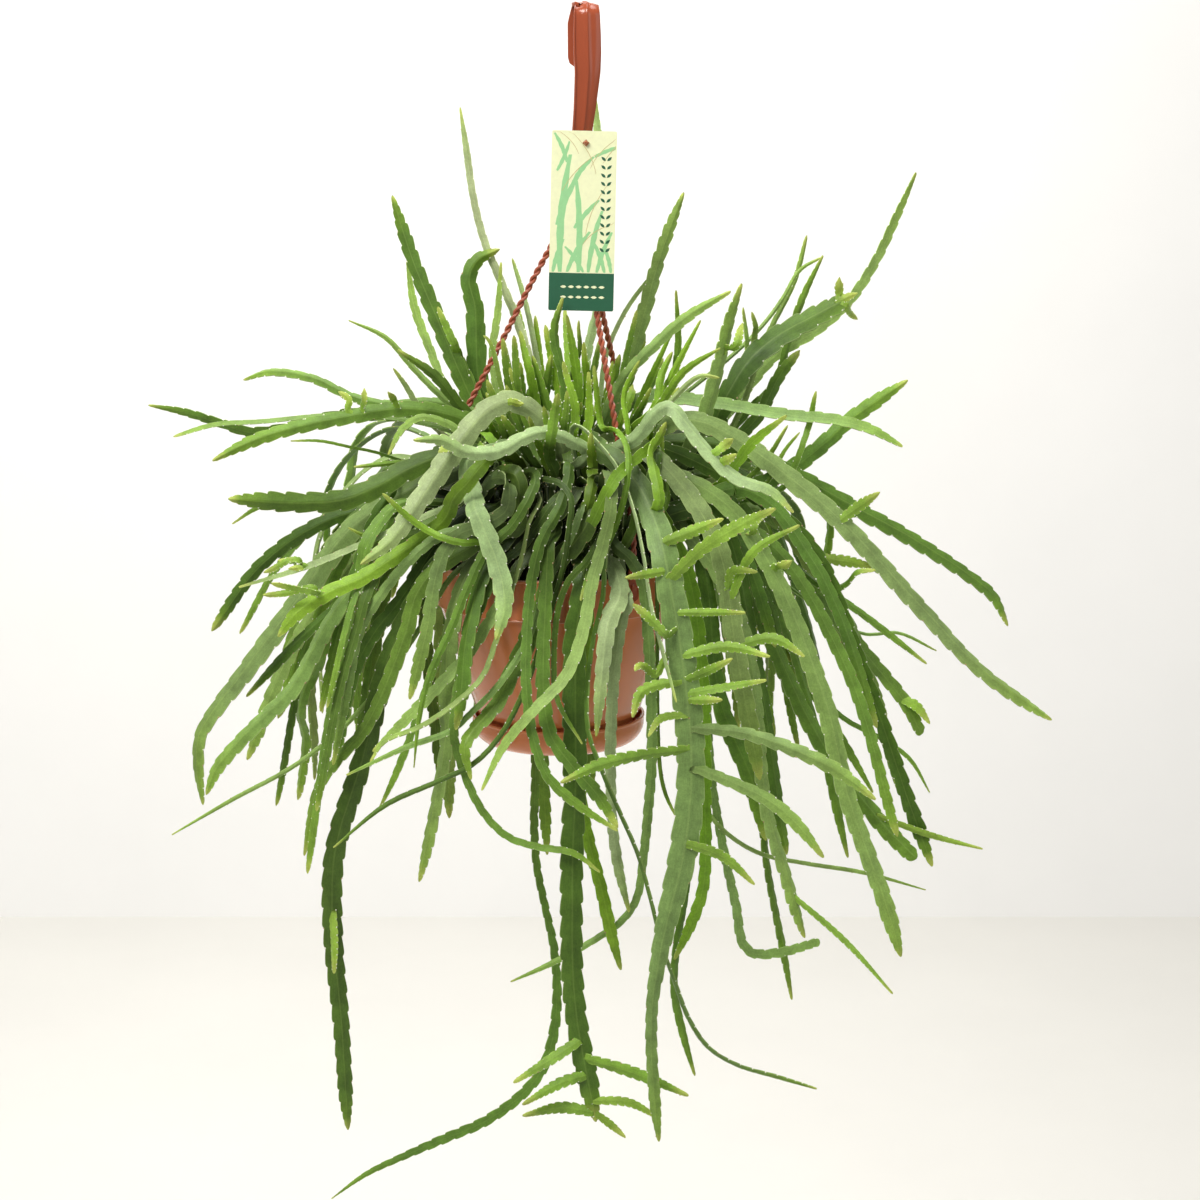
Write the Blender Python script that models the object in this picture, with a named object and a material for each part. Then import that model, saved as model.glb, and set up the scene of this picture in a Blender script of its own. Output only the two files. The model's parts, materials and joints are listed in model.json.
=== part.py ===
"""Lepismium bolivianum in a hanging pot.

The frame is in metres, +Z up, +X to the right in the photograph and +Y away from the camera.
The origin is the underside of the hook's crown, where the pot hangs. Stem routes are traced in
the photograph, in pixels of its 1200 x 1200 frame, and each is set at its own depth. A route that
would cross another clump's stems is bent clear of them.
"""

import math

import bmesh
import bpy
import numpy as np
from mathutils import Matrix, Vector

# Driving dimensions of the pot, saucer and soil
RIM_RADIUS = 0.090
POT_HEIGHT = 0.124
COLLAR_HEIGHT = 0.030
COLLAR_STEP = 0.0030
WALL = 0.0018
FOOT_RADIUS = 0.0560
SHOULDER_RADIUS = 0.0600
SHOULDER_HEIGHT = 0.0112
FLANGE = 0.0015
SAUCER_RADIUS = 0.0630
SAUCER_HEIGHT = 0.0205
SAUCER_DROP = 0.1155
SOIL_DROP = 0.012
GAP = 0.0003
TURNED_SIDES = 24
FIRST_FOOT_BEARING = math.radians(-83)
DRAIN_RADIUS = 0.0040
DRAIN_RING = 0.034
DRAINS = 6

# Driving dimensions of the hanger and its label
POT_X = -0.020
RIM_Z = -0.3930
BAND_WIDTH = 0.016
BAND_THICKNESS = 0.003
HOOK_RADIUS = 0.008
HOOK_FACETS = 7
HOOK_RETURN = 0.043
RETURN_SHIFT = 0.004
HUB_X = -0.003
HUB_Z = -0.1275
LEG_RADIUS = 0.0022
LEG_SIDES = 6
LEG_STEP = 0.028
FOOT_WIDTH = 0.009
FOOT_THICKNESS = 0.0016
FOOT_RISE = 0.007
FOOT_LENGTH = 0.018
BUTTON_RADIUS = 0.0026
BUTTON_HOLE_RADIUS = 0.0030
BUTTON_HEAD_RADIUS = 0.0034
BUTTON_DROP = 0.0075
LABEL_WIDTH = 0.046
LABEL_HEIGHT = 0.1262
LABEL_THICKNESS = 0.0006
LABEL_LEAN = math.radians(8.0)
LABEL_DEPTH = -0.010
LABEL_SWING = math.radians(1.3)
LABEL_TOP_MARGIN = 0.0085
PEG_RADIUS = 0.0013
PEG_HOLE_RADIUS = 0.0017
PEG_HEAD_RADIUS = 0.0026

# Driving dimensions of the stems
STALK_WIDTH = 0.0050
STALK_LENGTH = 0.045
STEM_THICKNESS = 0.0021
NOTCH_DEPTH = 0.14
TIP_LENGTH = 0.022
ROOT_RADIUS = 0.0056
ROOT_DEPTH = 0.009
ROOT_SIDES = 4
ROUTE_STEP = 0.005
SHOOT_SEAT = 0.6
CLEARANCE = 0.0050
FINE_CLEARANCE = 0.0040
CHORD_SAG = 0.0012
BACK_FACING = 0.75
LOOK_SMOOTHING = 6
SHORTEST_STEP = 0.009
STRAP_STEPS = ((0.0045, 0.027), (0.0026, 0.034), (0.0, 0.05))

# How the stems are bent clear of each other
BEND_ROUNDS = (300, 400)
SMOOTHING = ((24, 10), (1, 0))
LONGEST_MOVE = 0.0025
MEMORY_KEPT = 0.9
FACE_SHARE = 1.25
POT_SHARE = 0.6
SMOOTHED_GAIN = 3.0
PLAIN_GAIN = 1.2
STIFFNESS = 0.03
TOUCH_ALLOWANCE = 0.0007
HELD_LENGTH = 0.006
FREEING_LENGTH = 0.040
ROOTED_LENGTH = 0.030
BALL_SPACING = 0.0034
LEAST_WEIGHT = 0.6
BALL_ROWS = (
    (-1.0, (0.0,)),
    (0.0020, (-1.0, 1.0)),
    (0.0038, (-0.5, 0.5)),
    (0.0078, (-0.75, -0.25, 0.25, 0.75)),
)

# Edges sharper than this stay sharp where a surface is shaded smooth
SHARP_ANGLE = math.radians(35)

# The photograph's camera
PIXEL = 0.0007317
EYE_DISTANCE = 2.0
EYE_TILT = math.radians(11.5)
AIM = np.array((0.0108, 0.0, -0.4244))
PHOTO_MIDDLE = 600

SOIL_Z = RIM_Z - SOIL_DROP
COLOURS = {
    "plastic": ((0.42, 0.13, 0.075), 0.32),
    "soil": ((0.045, 0.028, 0.018), 0.95),
    "card": ((0.80, 0.82, 0.55), 0.55),
    "stem": ((0.10, 0.24, 0.045), 0.48),
}

# Each stem, base to tip: widths in pixels and depths in millimetres, spread evenly along the
# traced stretch, then the points in pixels. Depth grows away from the camera and is 0 at the
# pot's axis.
STEMS = {
    # Upper left
    "a01": ((9, 6), (20, 85), "540,400 520,330 498,275 478,220 468,160 460,107"),
    "a02": ((17, 16, 10), (5, 40), "490,430 470,395 440,325 413,260 392,195"),
    "a03": ((19, 19, 12), (25, 50), "510,425 482,388 475,310 470,275 483,256 500,249"),
    "a04": ((8, 8), (35, 75), "480,425 450,395 425,335 413,300 407,260"),
    "a05": ((8, 4), (-5, -30), "490,430 460,412 420,375 385,338 348,320"),
    "a06": ((12, 9), (-10, -45), "500,440 470,418 440,382 397,350"),
    "a07": ((11, 10, 8), (0, 30), "520,430 440,405 370,402 310,378 260,373 243,380"),
    "a08": ((13, 13, 6), (15, -5), "500,445 430,418 350,415 275,430 240,430 205,417 148,405"),
    "a08b": ((16, 15, 10), (-15, -60), "520,445 480,425 420,409 340,418 260,438 212,461"),
    "a10": ((20, 22, 16), (-30, -80), "550,470 470,455 430,460 390,480 340,500 280,502 228,499"),
    "a11": ((6, 5), (20, 45), "480,480 400,480 330,498 258,508 232,524"),
    "a12": ((18, 22, 20, 10), (-55, -105), "545,425 515,402 490,410 458,445 420,500 385,546 360,565"),
    "a13": ((12, 14, 9), (-74, -128), "574,441 540,432 500,450 460,450 440,440 413,440"),
    "a14": ((10, 7), (-20, -55), "490,450 450,425 420,418 395,438 388,455"),
    "a15": ((8, 7), (10, 30), "505,430 495,380 493,350 500,290 501,262"),
    "a19": ((12, 12), (-15, -20), "530,440 522,400 520,362"),
    "a20": ((8, 8), (-5, 15), "575,430 560,390 545,386 530,393 520,412"),
    # Upper right
    "b01": ((9, 9), (35, 50), "585,430 585,360 600,300 600,180 595,97"),
    "b03": ((14, 14, 9), (25, 60), "605,440 628,370 645,310 662,250 684,192"),
    "b05": ((7, 7), (15, 0), "650,430 672,380 678,350 676,290"),
    "b06": ((11, 10), (-10, -45), "600,430 620,385 650,350 690,315 731,291"),
    "b07": ((16, 16, 11), (-20, -30), "670,480 700,430 718,370 733,310 742,283"),
    "b11": ((20, 21, 24, 20), (5, 25), "680,470 710,430 725,400 760,350 790,330 845,300"),
    "b12": ((11, 10, 8), (35, 75), "700,440 750,390 790,350 840,310 875,260 903,200 916,172"),
    "b13": ((8, 7), (50, 40), "720,440 770,380 795,320 812,275 823,255"),
    "b17": ((17, 16, 12), (5, 30), "700,500 770,480 810,455 850,420 908,380"),
    "b18": ((14, 14, 10), (0, -15), "590,440 640,400 700,402 780,415 855,425 903,447"),
    "b19": ((10, 10), (-40, -60), "690,500 725,480 740,455 787,415"),
    "b20": ((8, 7), (-45, -70), "625,450 660,405 685,372 721,348"),
    "b22": ((14, 16, 16, 10), (-65, -120), "635,440 668,408 700,442 735,475 775,493 794,513"),
    "b26": ((9, 9), (-42, -32), "580,510 572,480 567,400 555,330 563,297"),
    "b27": ((9, 9), (-25, -22), "590,500 582,420 574,355 567,315"),
    "b29": ((9, 9), (-55, -62), "597,520 592,480 589,420 588,372"),
    "b36": ((7, 7), (0, -15), "620,450 640,400 665,350 675,325"),
    "b37": ((7, 7), (15, 5), "640,450 660,400 680,360 700,320"),
    # Lower left
    "c01": (
        (20, 24, 22, 12),
        (-25, -20, -30, -40),
        "480,460 400,495 345,535 305,590 238,680 203,730 198,755 203,805",
    ),
    "c02": (
        (18, 20, 18, 12),
        (-55, -50, -60, -60),
        "490,480 440,520 345,600 290,690 245,735 210,780 206,795",
    ),
    "c03": ((14, 14), (-5, 20), "500,480 430,500 330,590 280,675 255,740 247,760"),
    "c04": ((15, 15), (-75, -90), "510,490 440,530 370,575 320,598 285,625 278,637"),
    "c05": ((10, 10), (-30, -20), "500,490 450,510 345,600 300,640 246,697"),
    "c06": ((6, 6), (-60, -75), "500,500 420,520 350,552 290,573 240,588"),
    "c09": ((16, 16, 12), (-45, -35), "510,490 450,530 405,595 365,650 345,710 336,770"),
    "c10": ((16, 15, 9), (-85, -80, -60), "530,500 480,540 425,580 400,650 366,726 321,783 304,856"),
    "c11": (
        (16, 20, 20, 13),
        (-60, -72, -40, -25),
        "508,508 450,545 395,640 362,760 335,853 333,930 341,1019 348,1130",
    ),
    "c12": ((10, 9), (-85, -75), "500,510 430,540 365,620 347,690 333,765"),
    "c13": ((14, 12), (-85, -100), "520,500 450,545 425,640 410,700"),
    "c14": ((10, 8, 3), (-95, -112), "540,510 490,545 455,620 425,690 414,768"),
    "c15": ((18, 18, 14), (-75, -115), "530,500 490,545 470,620 460,700 455,730"),
    "c16": ((15, 19, 19, 14), (-65, -130), "500,470 475,465 487,510 503,580 505,605 497,640"),
    "c17": ((9, 8), (-85, -135), "560,505 535,535 505,610 480,680 430,720 380,745 370,762"),
    "c18": ((20, 20, 9), (-85, -122), "580,510 560,570 525,640 490,700 465,735 471,780"),
    "c19": ((12, 10), (-75, -105), "560,500 530,550 470,650 410,715 375,755"),
    "c20": ((7, 6), (-90, -112), "580,505 560,550 520,660 470,720 390,752 345,775"),
    "c21": ((6, 4), (-60, -70), "530,500 470,560 370,700 310,755 220,807 172,835"),
    "c22": ((6, 5), (-98, -118), "575,515 555,600 510,720 471,764 392,802 333,848"),
    "c23": ((18, 20, 12), (-70, -90, -80), "540,500 495,535 465,580 446,670 446,738 433,818 419,882"),
    "c24": ((9, 7), (-60, -85, -60), "540,495 480,560 450,620 404,754 379,810"),
    "c25": ((9, 9, 6), (-80, -108, -118), "550,510 495,570 455,700 471,789 510,837 577,855 600,872"),
    "c28": ((7, 5), (-92, -128), "580,520 565,580 555,690 582,745"),
    # Lower middle
    "d02": ((16, 18, 8), (-65, -120, -132), "597,490 608,520 606,560 604,640 591,738"),
    "d03": ((10, 8), (-75, -112), "588,495 580,540 572,600"),
    "d04": ((12, 12, 8), (-86, -127, -140), "598,510 592,560 567,670 510,738 481,791"),
    "d06": ((8, 6), (-78, -150), "590,440 615,470 640,530 650,600 676,703"),
    "d07": (
        (20, 27, 28, 28, 12, 11),
        (-52, -125, -135, -135, -128, -122),
        "590,450 625,470 660,550 680,650 691,757 685,843 662,944 652,1010 653,1079 659,1142",
    ),
    "d08": ((18, 20, 16), (-50, -110, -100), "620,450 655,460 715,540 738,660 760,780"),
    "d09": ((18, 20, 15), (-55, -85, -85), "660,470 720,500 770,567 826,705 847,793 885,902 901,957"),
    "d12": ((11, 9), (-80, -128, -150), "560,500 530,600 529,716 551,780 618,831"),
    "d12b": ((15, 13), (-80, -120, -142), "570,495 550,590 551,732 593,789 618,828"),
    "d13": (
        (18, 24, 22, 20),
        (-80, -114, -114, -105),
        "588,500 575,640 575,780 572,891 575,1003 596,1122",
    ),
    "d13b": ((12, 12), (-76, -99, -86, -78), "600,500 590,600 581,796 599,879 621,970"),
    "d14": (
        (12, 10, 5),
        (-70, -100, -85, -70),
        "620,490 640,560 652,729 646,829 629,912 561,958 510,982",
    ),
    "d14b": ((12, 10), (-75, -98, -88), "610,500 612,590 608,720 614,843 629,912"),
    "d16": ((18, 18), (-30, -70, -60), "640,480 695,540 720,700 755,790 765,840"),
    "l07": (
        (9, 8, 11, 10, 3),
        (99, 95, 70, 50),
        "535,764 535,853 556,981 542,1067 497,1113 417,1150 360,1178 331,1199",
    ),
    "l10": (
        (9, 8),
        (-78, -128, -120, -60),
        "605,500 590,600 592,737 640,864 666,958 712,1050 817,1089",
    ),
    "l11": ((14, 14, 10), (-60, -112, -105), "640,475 690,580 705,812 701,895 674,960"),
    "l12": ((8, 8), (-55, -105, -90), "650,490 700,700 690,860 675,987 695,1076"),
    "l13": ((8, 8, 10), (-50, -90, -60), "645,500 700,650 712,780 735,901 749,950 790,950 820,941"),
    "l14": ((14, 14), (-45, -95, -90), "660,490 740,620 767,809 784,866 805,938"),
    "l15": ((9, 8), (-30, -60, -55), "650,500 730,580 769,872 784,952 792,1000"),
    # Right
    "l17": ((14, 14), (-30, -50), "670,450 730,480 809,544 861,664 911,808 932,867"),
    "l18": ((18, 20, 18, 12), (-25, -60), "640,440 690,420 817,500 917,603 982,670 1052,720"),
    "l19": ((15, 17, 12), (5, 10), "650,440 740,450 858,509 935,553 993,597 1008,626"),
    "r01": ((14, 14), (-25, -20), "670,480 770,550 864,653 911,714 921,735"),
    "r02": ((8, 7), (5, 5), "660,480 750,540 858,611 927,664"),
    "r04": ((16, 17), (-45, -50), "660,480 730,560 820,740 882,823 917,858"),
    "r06": ((9, 8), (-15, -10), "660,500 750,600 826,714 873,793"),
    "r07": ((8, 4), (0, 10), "670,500 760,590 829,705 905,755 930,793"),
    "r08": ((10, 9), (-25, -30), "660,500 750,560 820,740 848,858"),
    "r09": ((5, 4), (-50, -95, -45), "620,510 670,620 703,803 761,853 847,869 926,890"),
}
BLUNT_STEMS = {"b11", "r01", "r04", "l13"}
EDGE_ON_STEMS = {"d06", "l10", "c17"}

# Young side shoots: the stem that each grows from, its width and depth change, then its points
SHOOTS = (
    ("b11", 6, 0, "835,302 858,293"),
    ("b22", 7, -10, "716,468 737,454"),
    ("l18", 8, -10, "850,512 880,492"),
    ("c11", 8, -8, "334,910 334,974"),
    ("d07", 9, -14, "665,540 720,518"),
    ("d07", 10, -18, "668,580 700,550 740,525 775,508"),
    ("d08", 7, -14, "728,590 733,572 758,572"),
    ("d08", 7, -18, "735,600 755,553 800,525"),
    ("d07", 6, -12, "678,612 745,613"),
    ("d07", 8, -16, "685,655 720,648 745,650 770,657"),
    ("d08", 8, -16, "738,645 775,640 805,657"),
    ("d07", 7, -10, "690,680 733,658"),
    ("d07", 7, -16, "690,693 767,680"),
    ("d07", 7, -12, "686,700 723,700"),
    ("d07", 13, -25, "690,727 761,737 807,757 847,777 876,800"),
    ("d07", 13, -10, "690,766 746,789 784,812 824,858"),
    ("d07", 8, -12, "686,843 721,856 755,885"),
    ("d07", 7, -14, "668,570 623,578"),
    ("d07", 8, -12, "680,680 640,695 632,718"),
    ("d07", 6, -10, "688,715 660,720 648,737"),
    ("d07", 9, -22, "688,749 632,757 589,769 560,783"),
    ("d13", 9, -8, "580,1040 569,1048 513,1083"),
    ("d13", 9, -6, "585,1075 572,1078 522,1105"),
    ("d13", 9, 2, "596,1112 567,1108 522,1116"),
    ("d13", 9, -4, "586,1057 626,1070 689,1096"),
    ("d13", 7, 4, "594,1100 629,1103 660,1119"),
    ("d13", 6, -2, "596,1112 626,1138"),
    ("l17", 8, 0, "820,556 876,567"),
    ("r01", 8, -4, "900,700 914,705 930,724"),
    ("r04", 5, 0, "875,815 923,832 983,849"),
    ("l14", 5, 0, "795,895 838,934 893,994"),
)

# Stems of the half that faces away, drawn by a rule with a fixed seed
BACK_SEED = 7
BACK_STEMS = 26
BACK_BEARINGS = (math.radians(25), math.radians(155))

# Rings of root clumps in the soil: radius and number of clumps, from the wall inwards
RINGS = ((0.068, 22), (0.047, 16), (0.026, 9), (0.0079, 3))
CLUMP_SPACING = 0.0135


def removed_scene():
    """Clears the startup objects."""
    for item in list(bpy.data.objects):
        bpy.data.objects.remove(item)


def material_of(kind):
    """The plain material of one kind of surface."""
    found = bpy.data.materials.get(kind)
    if found:
        return found
    colour, roughness = COLOURS[kind]
    made = bpy.data.materials.new(kind)
    made.use_nodes = True
    shader = made.node_tree.nodes["Principled BSDF"]
    shader.inputs["Base Color"].default_value = (*colour, 1)
    shader.inputs["Roughness"].default_value = roughness
    return made


def object_from(name, mesh_builder, kind, collection=None):
    """An object of the bmesh, closed and facing out."""
    bmesh.ops.recalc_face_normals(mesh_builder, faces=mesh_builder.faces)
    if mesh_builder.calc_volume(signed=True) < 0:
        bmesh.ops.reverse_faces(mesh_builder, faces=mesh_builder.faces)
    mesh = bpy.data.meshes.new(name)
    mesh_builder.to_mesh(mesh)
    mesh_builder.free()
    mesh.shade_smooth()
    mesh.set_sharp_from_angle(angle=SHARP_ANGLE)
    made = bpy.data.objects.new(name, mesh)
    (collection or bpy.context.scene.collection).objects.link(made)
    made.data.materials.append(material_of(kind))
    return made


def applied(target):
    """Turns the object's modifiers into its mesh."""
    bpy.context.view_layer.update()
    graph = bpy.context.evaluated_depsgraph_get()
    mesh = bpy.data.meshes.new_from_object(target.evaluated_get(graph))
    target.modifiers.clear()
    target.data = mesh


def fused(target, pieces, solver="EXACT"):
    """Joins the pieces to the target with one Boolean union on their collection."""
    helpers = bpy.data.collections.new(target.name + "_pieces")
    bpy.context.scene.collection.children.link(helpers)
    for piece in pieces:
        for holder in list(piece.users_collection):
            holder.objects.unlink(piece)
        helpers.objects.link(piece)
    union = target.modifiers.new("join", "BOOLEAN")
    union.operation = "UNION"
    union.operand_type = "COLLECTION"
    union.collection = helpers
    union.solver = solver
    applied(target)
    for piece in list(helpers.objects):
        bpy.data.objects.remove(piece)
    bpy.data.collections.remove(helpers)


def cut(target, cutter):
    """Takes the cutter's shape out of the target."""
    hole = target.modifiers.new("cut", "BOOLEAN")
    hole.operation = "DIFFERENCE"
    hole.object = cutter
    hole.solver = "EXACT"
    applied(target)
    bpy.data.objects.remove(cutter)


def turned(name, profile, kind):
    """A body of revolution about the pot's axis. The profile is (radius, z), and may end on the axis."""
    builder = bmesh.new()
    first = FIRST_FOOT_BEARING + math.pi / TURNED_SIDES
    rings = []
    for radius, z in profile:
        if radius == 0:
            rings.append([builder.verts.new((POT_X, 0, z))])
            continue
        ring = []
        for side in range(TURNED_SIDES):
            bearing = first + 2 * math.pi * side / TURNED_SIDES
            ring.append(builder.verts.new((*on_circle(radius, bearing), z)))
        rings.append(ring)
    closed = profile[0][0] > 0
    for above, below in zip(rings, rings[1:] + (rings[:1] if closed else [])):
        for side in range(TURNED_SIDES):
            other = (side + 1) % TURNED_SIDES
            corners = [above[side % len(above)], above[other % len(above)]]
            corners += [below[other % len(below)], below[side % len(below)]]
            corners = list(dict.fromkeys(corners))
            if len(corners) > 2:
                builder.faces.new(corners)
    return object_from(name, builder, kind)


def on_circle(radius, bearing):
    """The point at this bearing, from the front (-Y) towards the right (+X), round the pot's axis."""
    return POT_X + radius * math.sin(bearing), -radius * math.cos(bearing)


def prism(name, outline, start, end, kind, place=None):
    """An outline in the local XY plane extruded from z = start to z = end."""
    builder = bmesh.new()
    bottom = [builder.verts.new((x, y, start)) for x, y in outline]
    face = builder.faces.new(bottom)
    raised = bmesh.ops.extrude_face_region(builder, geom=[face])
    lifted = [item for item in raised["geom"] if isinstance(item, bmesh.types.BMVert)]
    bmesh.ops.translate(builder, verts=lifted, vec=(0, 0, end - start))
    if place:
        bmesh.ops.transform(builder, matrix=place, verts=builder.verts)
    return object_from(name, builder, kind)


def circle(radius, sides, middle=(0, 0)):
    turns = [2 * math.pi * (side + 0.5) / sides for side in range(sides)]
    return [(middle[0] + radius * math.cos(a), middle[1] + radius * math.sin(a)) for a in turns]


def tube(name, route, radius, sides, kind):
    """A closed tube along the route."""
    builder = bmesh.new()
    rings = []
    for index, point in enumerate(route):
        along = route[min(index + 1, len(route) - 1)] - route[max(index - 1, 0)]
        turn = Vector(along).to_track_quat("Z", "X").to_matrix()
        ring = [turn @ Vector((x, y, 0)) + Vector(point) for x, y in circle(radius, sides)]
        rings.append([builder.verts.new(corner) for corner in ring])
    for lower, upper in zip(rings, rings[1:]):
        for side in range(sides):
            other = (side + 1) % sides
            builder.faces.new((lower[side], lower[other], upper[other], upper[side]))
    builder.faces.new(rings[0][::-1])
    builder.faces.new(rings[-1])
    return object_from(name, builder, kind)


def from_photo(column, row, depth):
    """The point that the photograph's pixel shows at this depth, which may be an array."""
    right = (column - PHOTO_MIDDLE) * PIXEL
    up = (PHOTO_MIDDLE - row) * PIXEL
    sine, cosine = math.sin(EYE_TILT), math.cos(EYE_TILT)
    eye = AIM + EYE_DISTANCE * np.array((0.0, -cosine, sine))
    ray = np.stack(
        [right, EYE_DISTANCE * cosine + up * sine, up * cosine - EYE_DISTANCE * sine], axis=-1
    )
    reach = (depth - eye[1]) / ray[..., 1]
    return eye + ray * reach[..., None]


def smooth_route(points, step):
    """Points at about this spacing on a centripetal curve through the given ones."""
    points = np.asarray(points, float)
    padded = np.vstack([2 * points[0] - points[1], points, 2 * points[-1] - points[-2]])
    dense = []
    for p0, p1, p2, p3 in zip(padded, padded[1:], padded[2:], padded[3:]):
        t1 = np.linalg.norm(p1 - p0) ** 0.5
        t2 = t1 + np.linalg.norm(p2 - p1) ** 0.5
        t3 = t2 + np.linalg.norm(p3 - p2) ** 0.5
        t = np.linspace(t1, t2, 24, endpoint=False)[:, None]
        a1 = p0 + (p1 - p0) * t / t1
        a2 = p1 + (p2 - p1) * (t - t1) / (t2 - t1)
        a3 = p2 + (p3 - p2) * (t - t2) / (t3 - t2)
        b1 = a1 + (a2 - a1) * t / t2
        b2 = a2 + (a3 - a2) * (t - t1) / (t3 - t1)
        dense.append(b1 + (b2 - b1) * (t - t1) / (t2 - t1))
    dense = np.vstack([*dense, points[-1:]])
    return spaced(dense, step)


def spaced(route, step):
    """The route read again at an even spacing close to the step."""
    along = lengths_along(route)
    count = max(3, round(along[-1] / step) + 1)
    wanted = np.linspace(0, along[-1], count)
    return np.stack([np.interp(wanted, along, route[:, axis]) for axis in range(3)], axis=-1)


def lengths_along(route):
    return np.concatenate([[0], np.cumsum(np.linalg.norm(np.diff(route, axis=0), axis=1))])


def read_points(text):
    return np.array([[float(value) for value in pair.split(",")] for pair in text.split()])


def traced_stem(widths, depths, text):
    """The traced stretch in the part's frame, and its widths in metres."""
    pixels = read_points(text)
    flat = np.column_stack([pixels, np.zeros(len(pixels))])
    share = lengths_along(flat) / lengths_along(flat)[-1]
    depth = np.interp(share, np.linspace(0, 1, len(depths)), depths) / 1000
    points = from_photo(pixels[:, 0], pixels[:, 1], depth)
    nearness = 1 + depth.mean() / EYE_DISTANCE
    return points, np.array(widths) * PIXEL * nearness


def back_stems():
    """Arching and hanging stems of the far half."""
    draw = np.random.default_rng(BACK_SEED)
    stems = {}
    for index in range(BACK_STEMS):
        low, high = BACK_BEARINGS
        bearing = low + (high - low) * (index + draw.uniform(0.1, 0.9)) / BACK_STEMS
        outward = np.array((math.cos(bearing), math.sin(bearing), 0))
        hang = (0.15, 0.75, 0.45)[index % 3] + draw.uniform(-0.1, 0.15)
        reach = draw.uniform(0.13, 0.19) + 0.10 * (1 - hang)
        rise = draw.uniform(0.05, 0.10) * (1.3 - hang)
        drop = draw.uniform(0.22, 0.34) * hang
        sway = np.array((-outward[1], outward[0], 0)) * draw.uniform(-0.04, 0.04)
        middle = np.array((POT_X, 0, RIM_Z))
        up = np.array((0, 0, 1))
        points = [
            middle + outward * 0.075 + up * (0.02 + rise * 0.5),
            middle + outward * (0.45 * reach + 0.05) + up * rise + sway * 0.3,
            middle + outward * (0.90 * reach + 0.02) + up * (rise * 0.6 - drop * 0.25) + sway * 0.7,
            middle + outward * reach + up * (rise * 0.3 - drop) + sway,
        ]
        width = draw.uniform(0.009, 0.015)
        stems[f"k{index + 1:02d}"] = (np.array(points), np.array((width, width, 0.7 * width)))
    return stems


def ring_bearings(wanted, spacing):
    """The bearings nearest the wanted ones, in order, that keep this spacing round the ring."""
    bearings = np.sort(np.array(wanted, float))
    for _ in range(400):
        ahead = np.roll(bearings, -1)
        ahead[-1] += 2 * math.pi
        short = np.maximum(0, spacing - (ahead - bearings)) / 2
        bearings = bearings - short + np.roll(short, 1)
    return bearings


def rooted(stems):
    """Groups the stems into clumps of near neighbours. Low stems root by the wall, tall ones inside."""
    soil_middle = np.array((POT_X, 0, SOIL_Z))

    def steepness(name):
        first = stems[name][0][0] - soil_middle
        return math.atan2(first[2], math.hypot(first[0], first[1]))

    def bearing_of(name):
        way = (stems[name][0] - soil_middle)[:, :2]
        way = way[: max(2, len(way) * 2 // 3)].mean(axis=0)
        return math.atan2(way[1], way[0]) % (2 * math.pi)

    ordered = sorted(stems, key=steepness)
    clump_total = sum(number for _, number in RINGS)
    clumps = []
    taken = 0
    for radius, number in RINGS:
        quota = round(len(ordered) * number / clump_total)
        members = sorted(ordered[taken : taken + quota], key=bearing_of)
        if radius == RINGS[-1][0]:
            members = sorted(ordered[taken:], key=bearing_of)
        taken += quota
        groups = [list(group) for group in np.array_split(members, number)]
        wanted = []
        for group in groups:
            turns = np.array([bearing_of(name) for name in group])
            wanted.append(math.atan2(np.sin(turns).mean(), np.cos(turns).mean()) % (2 * math.pi))
        order = np.argsort(wanted)
        places = ring_bearings(wanted, min(CLUMP_SPACING / radius, 2 * math.pi / number))
        for place, index in zip(places, order):
            root = soil_middle + radius * np.array((math.cos(place), math.sin(place), 0))
            clumps.append((root, groups[index]))
    return clumps


def unit(vectors):
    return vectors / np.maximum(np.linalg.norm(vectors, axis=-1, keepdims=True), 1e-12)


def out_of_the_pot(root, points):
    """The whole route: up from the root, over the rim where the stem hangs low, then as traced."""
    first = points[0]
    if first[2] < RIM_Z + 0.012:
        outward = first - np.array((POT_X, 0, first[2]))
        crest = np.array((POT_X, 0, RIM_Z + 0.022)) + unit(outward) * (RIM_RADIUS + 0.008)
        points = np.vstack([crest, points])
        first = crest
    way = unit(points[1] - points[0])
    reach = np.linalg.norm(first - root)
    up = np.array((0, 0, 0.35 * reach + 0.030))
    back = way * 0.35 * reach
    start = root + np.array((0, 0, 0.001))
    t = np.linspace(0, 1, 20)[:, None]
    rise = (1 - t) ** 3 * start + 3 * (1 - t) ** 2 * t * (start + up)
    rise = rise + 3 * (1 - t) * t**2 * (first - back) + t**3 * first
    return spaced(np.vstack([rise[:-1], smooth_route(points, ROUTE_STEP)]), ROUTE_STEP)


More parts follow.
